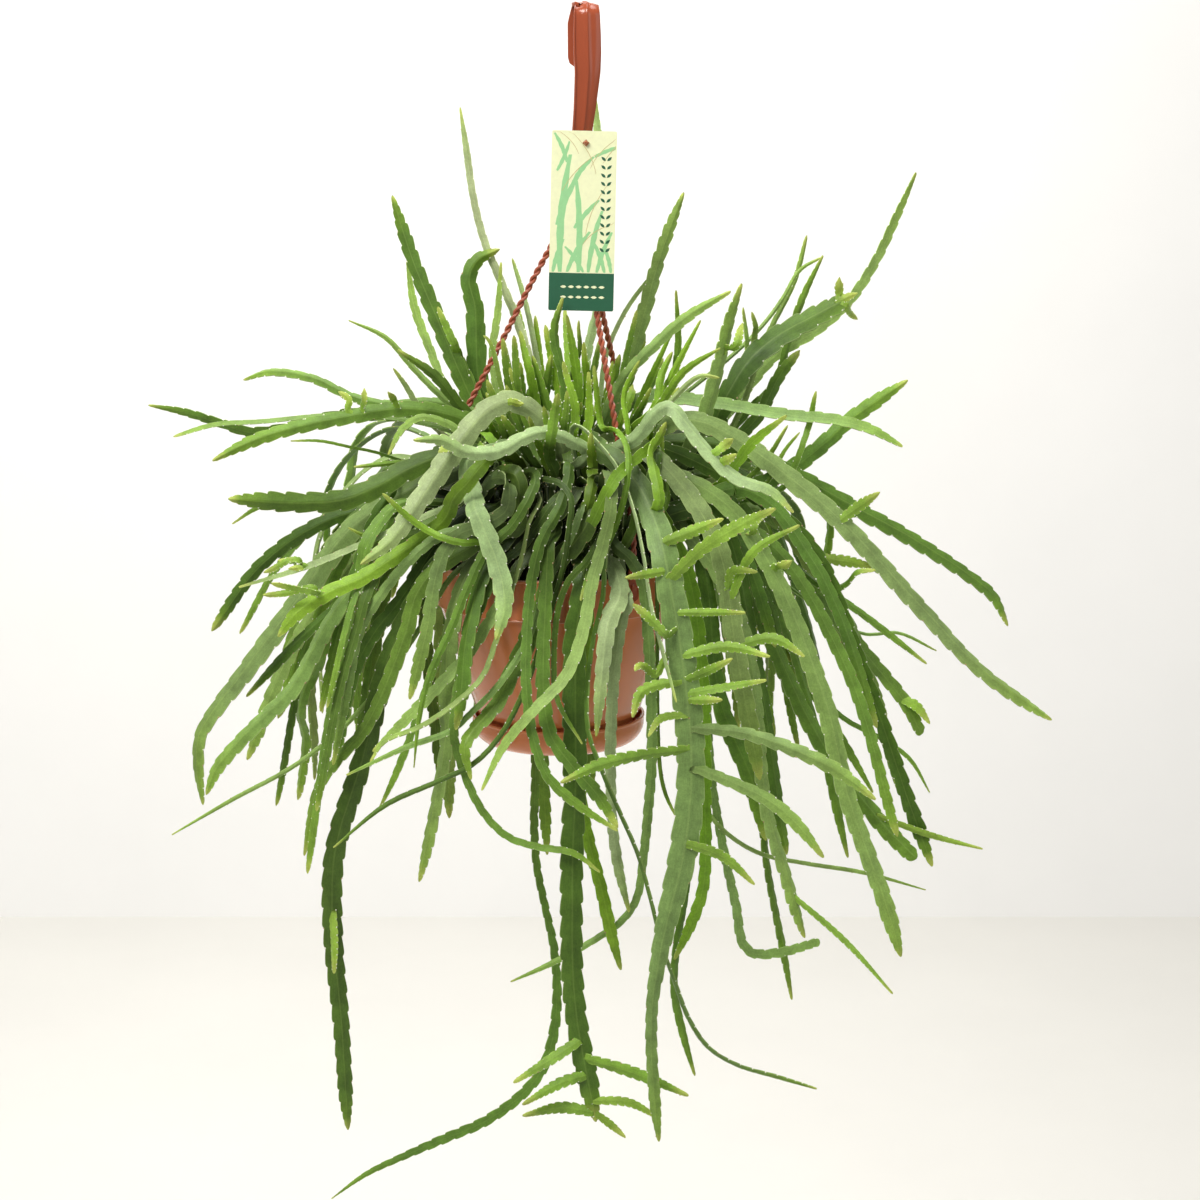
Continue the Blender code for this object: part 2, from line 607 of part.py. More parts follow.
def broad_side(route, name, index):
    """The direction that a strap's broad face looks, at each point of its route."""
    along = unit(np.gradient(route, axis=0))
    middle = np.array((POT_X, 0, RIM_Z))
    outward = unit((route - middle) * (1, 1, 0))
    up = np.array((0, 0, 1.0))
    if name.startswith("k"):
        facing = BACK_FACING * outward + up
    else:
        towards_eye = np.array((0, -math.cos(EYE_TILT), math.sin(EYE_TILT)))
        facing = towards_eye + 0.3 * outward + 0.15 * up
    looks = facing - (facing * along).sum(axis=1, keepdims=True) * along
    for place in range(1, len(looks)):
        if looks[place] @ looks[place - 1] < 0:
            looks[place] = -looks[place]
    for _ in range(LOOK_SMOOTHING):
        looks[1:-1] = (looks[:-2] + looks[1:-1] * 2 + looks[2:]) / 4
    looks = unit(looks - (looks * along).sum(axis=1, keepdims=True) * along)
    base_turn = math.radians(65) if name in EDGE_ON_STEMS else 0.3 * math.sin(2.4 * index)
    turn = base_turn + 0.25 * np.sin(np.linspace(0, 4, len(route)) + index)
    across = np.cross(along, looks)
    return looks * np.cos(turn)[:, None] + across * np.sin(turn)[:, None]


def half_widths(route, traced_length, widths, blunt, stalk=True):
    """Half the strap's width at each point: a narrow stalk, the traced widths, then the tip."""
    along = lengths_along(route)
    total = along[-1]
    start = max(0.0, total - traced_length)
    places = np.linspace(start, total, len(widths))
    half = np.interp(along, places, widths) / 2
    if stalk:
        wide = np.clip((along - 0.4 * STALK_LENGTH) / STALK_LENGTH, 0, 1)
        narrow = np.minimum(STALK_WIDTH / 2, half)
        half = narrow + (half - narrow) * wide * wide * (3 - 2 * wide)
    tip = np.clip((total - along) / min(TIP_LENGTH, total / 3), 0, 1)
    least = 0.85 if blunt else 0.32
    return half * (least + (1 - least) * np.sqrt(tip))


def near_pairs(points, reach):
    """Index pairs of the points within reach of each other along each axis, by a sorted grid."""
    cell = np.floor((points - points.min(axis=0)) / reach).astype(np.int64) + 1
    rows = int(cell.max()) + 3
    key = (cell[:, 0] * rows + cell[:, 1]) * rows + cell[:, 2]
    order = np.argsort(key, kind="stable")
    key = key[order]
    place = np.arange(len(key))
    firsts, seconds = [], []
    for shift in (0, rows, rows * rows - rows, rows * rows, rows * rows + rows):
        low = place + 1 if shift == 0 else np.searchsorted(key, key + shift - 1, "left")
        high = np.searchsorted(key, key + shift + 1, "right")
        count = np.maximum(high - low, 0)
        before = np.repeat(np.cumsum(count) - count, count)
        firsts.append(np.repeat(place, count))
        seconds.append(np.arange(count.sum()) - before + np.repeat(low, count))
    return order[np.concatenate(firsts)], order[np.concatenate(seconds)]


def keep_off_pot(points, outside):
    """How far each point must move to stay off the pot and saucer."""
    flat = points[:, :2] - (POT_X, 0)
    radius = np.linalg.norm(flat, axis=1)
    outward = np.column_stack([flat / np.maximum(radius, 1e-9)[:, None], np.zeros(len(flat))])
    drop = RIM_Z - points[:, 2]
    wall = np.interp(
        drop,
        (-0.004, 0, COLLAR_HEIGHT + 0.004, POT_HEIGHT - SHOULDER_HEIGHT, SAUCER_DROP - 0.004, SAUCER_DROP,
         SAUCER_DROP + SAUCER_HEIGHT, SAUCER_DROP + SAUCER_HEIGHT + 0.003),
        (RIM_RADIUS, RIM_RADIUS, RIM_RADIUS, SHOULDER_RADIUS + 0.002, SAUCER_RADIUS, SAUCER_RADIUS,
         SAUCER_RADIUS - 0.004, SAUCER_RADIUS - 0.012),
    )
    beside = (drop > -0.004) & (drop < SAUCER_DROP + SAUCER_HEIGHT + 0.003)
    push = np.zeros_like(points)
    short = wall + 0.0035 - radius
    over_mouth = outside & beside & (short > 0.008) & (drop < 0.02)
    push[over_mouth, 2] = drop[over_mouth] + 0.0045
    aside = outside & beside & (short > 0) & ~over_mouth
    push[aside] = outward[aside] * short[aside, None]
    far_in = ~outside & (drop > -0.004) & (radius > RIM_RADIUS - 0.0065)
    push[far_in] = -outward[far_in] * (radius[far_in, None] - RIM_RADIUS + 0.0065)
    return push


class Bending:
    """Strands as chains of stations, bent smoothly and a little until no two clumps touch.

    Balls along and across each strand stand for it, and the obstacles are fixed balls. Each pair of
    strands keeps a memory of which one passes in front.
    """

    def __init__(self, strands, obstacles, clearance):
        self.strands = strands
        self.obstacles = obstacles
        self.clearance = clearance
        counts = [len(strand["route"]) for strand in strands]
        self.starts = np.concatenate([[0], np.cumsum(counts)])
        self.points = np.vstack([strand["route"] for strand in strands])
        self.rest = self.points
        self.looks = np.vstack([strand["looks"] for strand in strands])
        self.half = np.concatenate([strand["half"] for strand in strands])
        self.owner = np.repeat(np.arange(len(strands)), counts)
        places = np.arange(len(self.points))
        self.ahead = np.minimum(places + 1, self.starts[self.owner + 1] - 1)
        self.behind = np.maximum(places - 1, self.starts[self.owner])
        self.along = np.concatenate([lengths_along(strand["route"]) for strand in strands])
        self.free = np.clip((self.along - HELD_LENGTH) / FREEING_LENGTH, 0, 1)[:, None]
        parents = [-1 if strand["parent"] is None else strand["parent"] for strand in strands]
        self.kin = np.array([*parents, -1])
        self.memory = np.zeros((len(strands) + 1) ** 2)
        self.lay_balls()
        self.ties = [self.tie(number) for number, parent in enumerate(parents) if parent >= 0]

    def lay_balls(self):
        """The balls: the stations each lies between, its share of the way, and its place across."""
        runs = np.linalg.norm(self.points[self.ahead] - self.points, axis=1)
        count = np.maximum(1, np.round(runs / BALL_SPACING)).astype(int)
        low = np.repeat(np.arange(len(self.points)), count)
        first = np.repeat(np.cumsum(count) - count, count)
        way = (np.arange(count.sum()) - first) / np.repeat(count, count)
        half = self.between(self.half, low, way)
        rows = [
            (low[half > least], way[half > least], share)
            for least, shares in BALL_ROWS
            for share in shares
        ]
        self.low = np.concatenate([row[0] for row in rows])
        self.way = np.concatenate([row[1] for row in rows])
        self.across = np.concatenate([np.full(len(row[0]), row[2]) for row in rows])
        self.central = len(low)
        owner = self.owner[self.low]
        along = self.between(self.along, self.low, self.way)
        fixed = len(self.obstacles)
        clump = np.array([strand["clump"] for strand in self.strands])
        crest = np.array([strand["crest"] for strand in self.strands])
        self.outside = (along > crest[owner])[: self.central]
        self.ball_owner = np.concatenate([owner, np.full(fixed, len(self.strands))])
        self.ball_clump = np.concatenate([clump[owner], np.full(fixed, -1)])
        self.rooted = np.concatenate([along < ROOTED_LENGTH, np.full(fixed, False)])

    def between(self, values, low, way):
        """Station values read at this share of the way to the next station."""
        way = way.reshape(-1, *[1] * (values.ndim - 1))
        return values[low] * (1 - way) + values[self.ahead[low]] * way

    def tie(self, number):
        """Where a side shoot begins and ends, the place on its stem and the step from there."""
        begin, end = self.starts[number : number + 2]
        own = np.nonzero(self.ball_owner[: self.central] == self.kin[number])[0]
        middles = self.between(self.points, self.low[own], self.way[own])
        nearest = np.linalg.norm(middles - self.points[begin], axis=1).argmin()
        return begin, end, own[nearest : nearest + 1], self.points[begin] - middles[nearest]

    def faces(self):
        """The direction that each station's broad face looks now, and its direction across."""
        tangent = unit(self.points[self.ahead] - self.points[self.behind])
        face = unit(self.looks - (self.looks * tangent).sum(axis=1, keepdims=True) * tangent)
        return face, np.cross(tangent, face)

    def near_balls(self, balls):
        """Pairs of balls that may touch, the lower strand first, without those that grew together."""
        first, second = near_pairs(balls, self.clearance + 0.003)
        one, two = self.ball_owner[first], self.ball_owner[second]
        related = (one == two) | (self.kin[one] == two) | (self.kin[two] == one)
        same_clump = self.ball_clump[first] == self.ball_clump[second]
        related |= same_clump & (self.rooted[first] | self.rooted[second])
        first, second = first[~related], second[~related]
        swap = self.ball_owner[first] > self.ball_owner[second]
        return np.where(swap, second, first), np.where(swap, first, second)

    def way_apart(self, a, b, apart, face):
        """The direction in which each first ball leaves its second: mostly across the faces."""
        faces = unit(self.between(face, self.low, self.way))
        faces = np.vstack([faces, np.zeros((len(self.obstacles), 3))])
        one, two = faces[a], faces[b]
        alike = np.sign((one * two).sum(axis=1, keepdims=True))
        middle = unit(one + alike * two)
        level = (apart * middle).sum(axis=1)
        pair = self.ball_owner[a] * (len(self.strands) + 1) + self.ball_owner[b]
        size = len(self.memory)
        met = np.maximum(np.bincount(pair, minlength=size), 1)
        self.memory = MEMORY_KEPT * self.memory + np.bincount(pair, level, size) / met
        order = np.where(self.memory[pair] < 0, -1.0, 1.0)
        return unit(middle * order[:, None] * FACE_SHARE + unit(apart))

    def shared(self, ball, move):
        """The balls' moves shared between the stations on both sides, as a mean for each station."""
        low, way = self.low[ball], self.way[ball]
        ends = np.concatenate([low, self.ahead[low]])
        weight = np.concatenate([1 - way, way])
        size = len(self.points)
        moves = np.vstack([move, move]) * weight[:, None]
        total = np.stack([np.bincount(ends, column, size) for column in moves.T], axis=-1)
        return total / np.maximum(np.bincount(ends, weight, size), LEAST_WEIGHT)[:, None]

    def pushed_apart(self, balls, pairs, face):
        """The mean move of each station away from what it touches, and the count of touches left."""
        first, second = pairs
        apart = balls[first] - balls[second]
        distance = np.linalg.norm(apart, axis=1)
        close = distance < self.clearance
        if not close.any():
            return np.zeros_like(self.points), 0
        a, b, apart, distance = first[close], second[close], apart[close], distance[close]
        move = self.way_apart(a, b, apart, face) * (self.clearance - distance)[:, None]
        fixed = self.ball_clump[b] < 0
        move *= np.where(fixed, 1.0, 0.5)[:, None]
        push = self.shared(np.concatenate([a, b[~fixed]]), np.vstack([move, -move[~fixed]]))
        return push, int((distance < self.clearance - TOUCH_ALLOWANCE).sum())

    def off_the_pot(self, balls):
        """The mean move of each station off the pot and saucer."""
        move = keep_off_pot(balls[: self.central], self.outside)
        moved = np.nonzero(np.abs(move).sum(axis=1))[0]
        return self.shared(moved, move[moved])

    def move(self, push, passes):
        """Smooths the moves along the strands and makes them, with the side shoots tied on."""
        for _ in range(passes):
            push = 0.5 * push + 0.25 * (push[self.ahead] + push[self.behind])
        push = push * (SMOOTHED_GAIN if passes else PLAIN_GAIN) * self.free
        size = np.linalg.norm(push, axis=1, keepdims=True)
        shift = self.points + push * np.minimum(1, LONGEST_MOVE / np.maximum(size, 1e-9)) - self.rest
        even = (shift[self.ahead] + shift[self.behind]) / 2
        stiffness = 0 if passes > 1 else STIFFNESS
        self.points = self.rest + shift + stiffness * self.free * (even - shift)
        for begin, end, ball, step in self.ties:
            seat = self.between(self.points, self.low[ball], self.way[ball])[0]
            self.points[begin:end] += seat + step - self.points[begin]

    def run(self, rounds, smoothing):
        """Rounds of pushing apart until nothing touches, or for the most rounds allowed."""
        for turn in range(rounds):
            face, side = self.faces()
            balls = self.between(self.points, self.low, self.way)
            balls += self.between(side * self.half[:, None], self.low, self.way) * self.across[:, None]
            balls = np.vstack([balls, self.obstacles])
            if turn % 5 == 0:
                pairs = self.near_balls(balls)
            push, touches = self.pushed_apart(balls, pairs, face)
            self.move(push + POT_SHARE * self.off_the_pot(balls), smoothing[turn % 2])
            if turn % 10 == 9 and not touches:
                break
        face, _ = self.faces()
        for number, strand in enumerate(self.strands):
            begin, end = self.starts[number : number + 2]
            strand["route"], strand["looks"] = self.points[begin:end], face[begin:end]


def straightened(strand):
    """Keeps of the strand only the stations that its strap is built on, closer where it bends."""
    route, along = strand["route"], lengths_along(strand["route"])
    step = next(step for least, step in STRAP_STEPS if strand["half"].max() > least)
    tangent = unit(np.gradient(route, axis=0))
    bend = np.linalg.norm(np.gradient(tangent, axis=0), axis=1) / np.gradient(along)
    density = np.clip(np.sqrt(bend / (8 * CHORD_SAG)), 1 / step, 1 / SHORTEST_STEP)
    total = np.concatenate([[0], np.cumsum((density[1:] + density[:-1]) / 2 * np.diff(along))])
    count = max(3, round(total[-1]) + 1)
    places = np.interp(np.linspace(0, total[-1], count), total, along)
    middle = at_places(route, places, along)
    middle[1:-1] -= (middle[:-2] - 2 * middle[1:-1] + middle[2:]) / 16
    strand["route"] = middle
    strand["looks"] = at_places(strand["looks"], places, along)
    strand["half"] = np.interp(places, along, strand["half"])


def at_places(values, places, along):
    """The rows of values read at these places along the strand."""
    return np.stack([np.interp(places, along, column) for column in values.T], axis=-1)


def strap(name, strand):
    """A three-edged strap along the strand, with its margins notched out and in by turns."""
    middle, face, wide = strand["route"], strand["looks"], strand["half"]
    side = np.cross(unit(middle[[*range(1, len(middle)), -1]] - middle[[0, *range(len(middle) - 1)]]), face)
    notch = NOTCH_DEPTH * (wide > 0.0024) * np.where(np.arange(len(wide)) % 2, 1, -1)
    notch[-1] = 0
    thick = STEM_THICKNESS * np.clip(wide / 0.004, 0.6, 1)[:, None]
    left = middle + side * (wide * (1 + notch))[:, None] + face * thick / 2
    right = middle - side * (wide * (1 - notch))[:, None] + face * thick / 2
    keel = middle - face * thick / 2
    builder = bmesh.new()
    rows = [[builder.verts.new(corner) for corner in row] for row in zip(left, right, keel)]
    for row, later in zip(rows, rows[1:]):
        for corner in range(3):
            other = (corner + 1) % 3
            builder.faces.new((row[corner], row[other], later[other]))
            builder.faces.new((row[corner], later[other], later[corner]))
    builder.faces.new(rows[0][::-1])
    builder.faces.new(rows[-1])
    return object_from(name, builder, "stem")


def seat_on_stem(shoot, stem):
    """Moves a side shoot's first stations so that it starts inside its stem's blade."""
    middle = stem["route"]
    begin, step = middle[:-1], np.diff(middle, axis=0)
    share = ((shoot["route"][0] - begin) * step).sum(axis=1) / (step**2).sum(axis=1)
    gaps = begin + step * np.clip(share, 0, 1)[:, None] - shoot["route"][0]
    gap = gaps[np.linalg.norm(gaps, axis=1).argmin()]
    shoot["route"][0] += gap


def strands_of(stems, clumps):
    """Every stem and side shoot as a strand, ready to be bent clear."""
    strands = []
    places = {}
    for number, (root, names) in enumerate(clumps):
        for order, name in enumerate(names):
            points, widths = stems[name]
            lean = 2 * math.pi * order / len(names)
            foot = root + 0.0026 * np.array((math.cos(lean), math.sin(lean), 0))
            route = out_of_the_pot(foot, points)
            traced = lengths_along(smooth_route(points, ROUTE_STEP))[-1]
            along = lengths_along(route)
            high = np.nonzero(route[:, 2] > RIM_Z + 0.006)[0]
            places[name] = len(strands)
            strands.append(
                {
                    "name": name,
                    "clump": number,
                    "parent": None,
                    "route": route,
                    "looks": broad_side(route, name, len(strands)),
                    "half": half_widths(route, traced, widths, name in BLUNT_STEMS),
                    "crest": along[high[0]] if len(high) else 0.03,
                }
            )
    for number, (parent, width, lean, text) in enumerate(SHOOTS):
        strands.append(shoot_strand(number, strands[places[parent]], places[parent], width, lean, text))
    return strands


def shoot_strand(number, stem, parent, width, lean, text):
    """A side shoot that starts in its stem's blade and leans forward or back by this many millimetres."""
    pixels = read_points(text)
    eye = AIM + EYE_DISTANCE * np.array((0, -math.cos(EYE_TILT), math.sin(EYE_TILT)))
    seen = from_photo(pixels[:1, 0], pixels[:1, 1], 0.0)[0]
    ray = unit(seen - eye)
    offsets = stem["route"] - eye
    aside = np.linalg.norm(offsets - (offsets @ ray)[:, None] * ray, axis=1)
    near = stem["route"][aside.argmin()]
    depth = near[1] + np.linspace(0, lean / 1000, len(pixels))
    points = from_photo(pixels[:, 0], pixels[:, 1], depth)
    inset = near - points[0]
    kept = SHOOT_SEAT * stem["half"].max() / max(np.linalg.norm(inset), 1e-9)
    points[0] = points[0] + inset * max(0, 1 - kept)
    route = spaced(smooth_route(points, 0.003), ROUTE_STEP)
    width = width * PIXEL * (1 + depth[0] / EYE_DISTANCE)
    return {
        "name": f"shoot_{number}",
        "clump": stem["clump"],
        "parent": parent,
        "route": route,
        "looks": broad_side(route, "shoot", number + 3),
        "half": half_widths(route, 1.0, np.array((width * 0.8, width, width)), False, stalk=False),
        "crest": -1.0,
    }


def dropped(profile):
    """A profile given as radius and drop below the rim, as radius and z."""
    return [(radius, RIM_Z - drop) for radius, drop in profile]


def beside_pot(bearing, x_axis, y_axis):
    """The frame at the rim's middle for this bearing, with its X and Y along out, up or aside."""
    out = Vector((math.sin(bearing), -math.cos(bearing), 0))
    axes = {"out": out, "up": Vector((0, 0, 1)), "aside": Vector((-out.y, out.x, 0))}
    x, y = axes[x_axis], axes[y_axis]
    turn = Matrix((x, y, x.cross(y))).transposed().to_4x4()
    return Matrix.Translation((POT_X, 0, RIM_Z)) @ turn


def foot_bearings():
    return [FIRST_FOOT_BEARING + 2 * math.pi * foot / 3 for foot in range(3)]


def pot():
    shoulder = POT_HEIGHT - SHOULDER_HEIGHT
    inner = RIM_RADIUS - WALL
    wall_top = RIM_RADIUS - COLLAR_STEP
    body = turned(
        "pot",
        dropped(
            (
                (0, POT_HEIGHT - WALL),
                (FOOT_RADIUS - WALL, POT_HEIGHT - WALL),
                (FOOT_RADIUS - WALL, shoulder - WALL),
                (SHOULDER_RADIUS - WALL, shoulder - WALL),
                (wall_top - WALL, COLLAR_HEIGHT),
                (inner, COLLAR_HEIGHT - WALL),
                (inner, 0),
                (RIM_RADIUS, 0),
                (RIM_RADIUS, COLLAR_HEIGHT),
                (wall_top, COLLAR_HEIGHT),
                (SHOULDER_RADIUS, shoulder),
                (FOOT_RADIUS, shoulder),
                (FOOT_RADIUS, POT_HEIGHT - FLANGE),
                (FOOT_RADIUS + FLANGE, POT_HEIGHT - FLANGE),
                (FOOT_RADIUS + FLANGE, POT_HEIGHT),
                (0, POT_HEIGHT),
            )
        ),
        "plastic",
    )
    for bearing in foot_bearings():
        place = beside_pot(bearing, "aside", "up")
        outline = circle(BUTTON_HOLE_RADIUS, 8, (0, -BUTTON_DROP))
        cut(body, prism("button_hole", outline, inner - 0.004, RIM_RADIUS + 0.004, "plastic", place))
    for drain in range(DRAINS):
        middle = on_circle(DRAIN_RING, 2 * math.pi * drain / DRAINS)
        outline = circle(DRAIN_RADIUS, 8, middle)
        floor = RIM_Z - POT_HEIGHT
        cut(body, prism("drain", outline, floor - 0.004, floor + 0.004, "plastic"))


def saucer():
    bottom = SAUCER_DROP + SAUCER_HEIGHT
    body = turned(
        "saucer",
        dropped(
            (
                (0, bottom - 0.0017),
                (0.0455, bottom - 0.0017),
                (0.0512, bottom - 0.0022),
                (0.0566, bottom - 0.0048),
                (0.0600, bottom - 0.0092),
                (0.0613, bottom - 0.0147),
                (0.0612, SAUCER_DROP),
                (SAUCER_RADIUS, SAUCER_DROP),
                (SAUCER_RADIUS + 0.0002, bottom - 0.0145),
                (0.0618, bottom - 0.0085),
                (0.0580, bottom - 0.0035),
                (0.0520, bottom - 0.0005),
                (0.0460, bottom),
                (0, bottom),
            )
        ),
        "plastic",
    )
    flange_top = POT_HEIGHT - FLANGE
    flat = math.cos(math.pi / TURNED_SIDES)
    foot_face_out = FOOT_RADIUS * flat + GAP
    flange_edge = (FOOT_RADIUS + FLANGE) * flat + GAP
    clip = (
        (0.0520, -(bottom - 0.0014)),
        (0.0572, -(bottom - 0.0038)),
        (0.0598, -(bottom - 0.0075)),
        (0.0598, -(flange_top - 0.0025)),
        (foot_face_out, -(flange_top - 0.0025)),
        (foot_face_out, -(flange_top - GAP)),
        (flange_edge, -(flange_top - GAP)),
        (flange_edge, -(POT_HEIGHT + GAP)),
        (0.0520, -(POT_HEIGHT + GAP)),
    )
    clips = []
    for bearing in foot_bearings():
        place = beside_pot(bearing + math.pi / 3, "out", "up")
        clips.append(prism("clip", clip, -0.004, 0.004, "plastic", place))
    fused(body, clips)


def soil(clumps):
    shoulder = POT_HEIGHT - SHOULDER_HEIGHT
    inner = RIM_RADIUS - WALL - GAP
    body = turned(
        "soil",
        dropped(
            (
                (0, SOIL_DROP),
                (inner, SOIL_DROP),
                (inner, COLLAR_HEIGHT - WALL - 2 * GAP),
                (inner - COLLAR_STEP, COLLAR_HEIGHT - 2 * GAP),
                (SHOULDER_RADIUS - WALL - 2 * GAP, shoulder - WALL - GAP),
                (FOOT_RADIUS - WALL - GAP, shoulder - WALL - GAP),
                (FOOT_RADIUS - WALL - GAP, POT_HEIGHT - WALL - GAP),
                (0, POT_HEIGHT - WALL - GAP),
            )
        ),
        "soil",
    )
    builder = bmesh.new()
    for root, _ in clumps:
        outline = circle(ROOT_RADIUS + 0.0004, ROOT_SIDES, root[:2])
        lower = [builder.verts.new((x, y, SOIL_Z - ROOT_DEPTH - GAP)) for x, y in outline]
        upper = [builder.verts.new((x, y, SOIL_Z + 0.002)) for x, y in outline]
        builder.faces.new(lower)
        builder.faces.new(upper)
        for side in range(ROOT_SIDES):
            other = (side + 1) % ROOT_SIDES
            builder.faces.new((lower[side], lower[other], upper[other], upper[side]))
    cut(body, object_from("root_holes", builder, "soil"))


def band_outline():
    """The bent strap's side view, as (y, z) points: its middle line offset to both faces."""
    middle_z = BAND_THICKNESS / 2 - HOOK_RADIUS * math.cos(math.pi / HOOK_FACETS / 2)
    line = [(HOOK_RADIUS, -HOOK_RETURN)]
    for facet in range(HOOK_FACETS + 1):
        turn = math.pi * facet / HOOK_FACETS
        line.append((HOOK_RADIUS * math.cos(turn), middle_z + HOOK_RADIUS * math.sin(turn)))
    line += [(-HOOK_RADIUS, -0.045), (-0.0065, -0.075), (-0.003, -0.105), (0.0, HUB_Z)]
    line = np.array(line)
    way = unit(np.diff(line, axis=0))
    normals = np.column_stack([-way[:, 1], way[:, 0]])
    before = np.vstack([normals[:1], normals])
    after = np.vstack([normals, normals[-1:]])
    mitre = unit(before + after)
    mitre /= (mitre * after).sum(axis=1, keepdims=True)
    offset = mitre * BAND_THICKNESS / 2
    return [*map(tuple, line + offset), *map(tuple, (line - offset)[::-1])]


def leg_routes():
    """The three legs from the hub to their feet, as traced in the photograph."""
    hub = np.array((HUB_X, 0, HUB_Z - 0.006))
    traced = (
        ((549, 250, -0.002), (500, 345, -0.005), (454, 439, -0.009)),
        ((597, 314, -0.023), (608, 380, -0.036), (620, 454, -0.052)),
        ((602, 313, 0.025), (615, 374, 0.042), (614, 440, 0.060)),
    )
    routes = []
    for bearing, points in zip(foot_bearings(), traced):
        foot = Vector((0, FOOT_RISE - 0.002, foot_face() + FOOT_THICKNESS / 2))
        foot = np.array(beside_pot(bearing, "aside", "up") @ foot)
        seen = [from_photo(np.float64(x), np.float64(y), depth) for x, y, depth in points]
        above = foot + np.array((0, 0, 0.022))
        routes.append(smooth_route([hub, *seen, above, foot], LEG_STEP))
    return routes


def foot_face():
    """The radius of a foot's inner face, clear of the collar's flat facet."""
    return RIM_RADIUS * math.cos(math.pi / TURNED_SIDES) + GAP


def label_place():
    """The label's frame: its hole at the origin, X across it, Y up it and Z out of its face."""
    hole = from_photo(np.float64(586), np.float64(143), LABEL_DEPTH)
    across = Vector((1, 0, 0))
    up = Vector((0, math.sin(LABEL_LEAN), math.cos(LABEL_LEAN)))
    out = across.cross(up)
    turn = Matrix((across, up, out)).transposed().to_4x4()
    return Matrix.Translation(hole) @ turn @ Matrix.Rotation(-LABEL_SWING, 4, "Z")


def hanger():
    """The strap bent to a hook, its hub, legs, feet with their buttons, and the label's peg."""
    side_view = Matrix(((0, 0, 1, 0), (1, 0, 0, 0), (0, 1, 0, 0), (0, 0, 0, 1)))
    band = prism("hanger", band_outline(), -BAND_WIDTH / 2, BAND_WIDTH / 2, "plastic", side_view)
    for vertex in band.data.vertices:
        _, y, z = vertex.co
        if y > HOOK_RADIUS / 2:
            vertex.co.x -= RETURN_SHIFT * min(1, max(0, -z / HOOK_RETURN))
        else:
            vertex.co.x += HUB_X * min(1, max(0, z / HUB_Z))
    box = [(-0.5, -0.5), (0.5, -0.5), (0.5, 0.5), (-0.5, 0.5)]
    hub = [(HUB_X + x * 0.017, y * 0.011) for x, y in box]
    pieces = [prism("hub", hub, HUB_Z - 0.010, HUB_Z + 0.003, "plastic")]
    pieces += [tube("leg", route, LEG_RADIUS, LEG_SIDES, "plastic") for route in leg_routes()]
    face = foot_face()
    outside = face + FOOT_THICKNESS
    inside = (RIM_RADIUS - WALL) * math.cos(math.pi / TURNED_SIDES) - GAP
    for bearing in foot_bearings():
        place = beside_pot(bearing, "aside", "up")
        strip = [(x * FOOT_WIDTH, -FOOT_LENGTH if y < 0 else FOOT_RISE) for x, y in box]
        button = circle(BUTTON_RADIUS, 8, (0, -BUTTON_DROP))
        head = circle(BUTTON_HEAD_RADIUS, 8, (0, -BUTTON_DROP))
        pieces.append(prism("foot", strip, face, outside, "plastic", place))
        pieces.append(prism("button", button, inside - 0.002, outside + 0.0008, "plastic", place))
        pieces.append(prism("button_head", head, inside - 0.0028, inside, "plastic", place))
    place = label_place()
    card_front = LABEL_THICKNESS / 2 + GAP
    pieces.append(prism("peg", circle(PEG_RADIUS, 6), -0.0055, card_front + 0.0006, "plastic", place))
    head = circle(PEG_HEAD_RADIUS, 8)
    pieces.append(prism("peg_head", head, card_front, card_front + 0.0012, "plastic", place))
    fused(band, pieces, "MANIFOLD")


def label():
    top, bottom = LABEL_TOP_MARGIN, LABEL_TOP_MARGIN - LABEL_HEIGHT
    side = LABEL_WIDTH / 2
    shift = -0.0011
    outline = [(shift - side, bottom), (shift + side, bottom), (shift + side, top), (shift - side, top)]
    half = LABEL_THICKNESS / 2
    card = prism("label_card", outline, -half, half, "card", label_place())
    cut(card, prism("peg_hole", circle(PEG_HOLE_RADIUS, 8), -0.003, 0.003, "card", label_place()))


def held_places():
    """Points over the hanger and label that the stems stay clear of."""
    places = []
    for route in leg_routes():
        fine = spaced(route, 0.003)
        way = unit(np.gradient(fine, axis=0))
        aside = unit(np.cross(way, (0, 1.0, 0)))
        places += [fine, fine + aside * 0.0012, fine - aside * 0.0012, fine + np.cross(way, aside) * 0.0012]
    grid = [
        (x, y, 0.0)
        for x in np.linspace(-0.5, 0.5, 12) * LABEL_WIDTH
        for y in np.linspace(LABEL_TOP_MARGIN, LABEL_TOP_MARGIN - LABEL_HEIGHT, 32)
    ]
    frame = np.array(label_place())
    places.append(np.array(grid) @ frame[:3, :3].T + frame[:3, 3])
    for bearing in foot_bearings():
        frame = np.array(beside_pot(bearing, "aside", "up"))
        foot = [
            (x, y, foot_face() + FOOT_THICKNESS)
            for x in (-0.0045, -0.0015, 0.0015, 0.0045)
            for y in np.arange(-FOOT_LENGTH - 0.001, FOOT_RISE + 0.002, 0.003)
        ]
        head = [(x, y - BUTTON_DROP, 0.0850) for x in (-0.003, 0, 0.003) for y in (-0.003, 0, 0.003)]
        places.append(np.array(foot + head) @ frame[:3, :3].T + frame[:3, 3])
    band = [
        (HUB_X / 2 + x, y, z)
        for x in (-0.008, -0.003, 0.003, 0.008)
        for y in (-0.006, 0.0, 0.006)
        for z in np.arange(HUB_Z - 0.012, 0.0, 0.004)
    ]
    return np.vstack([*places, band])


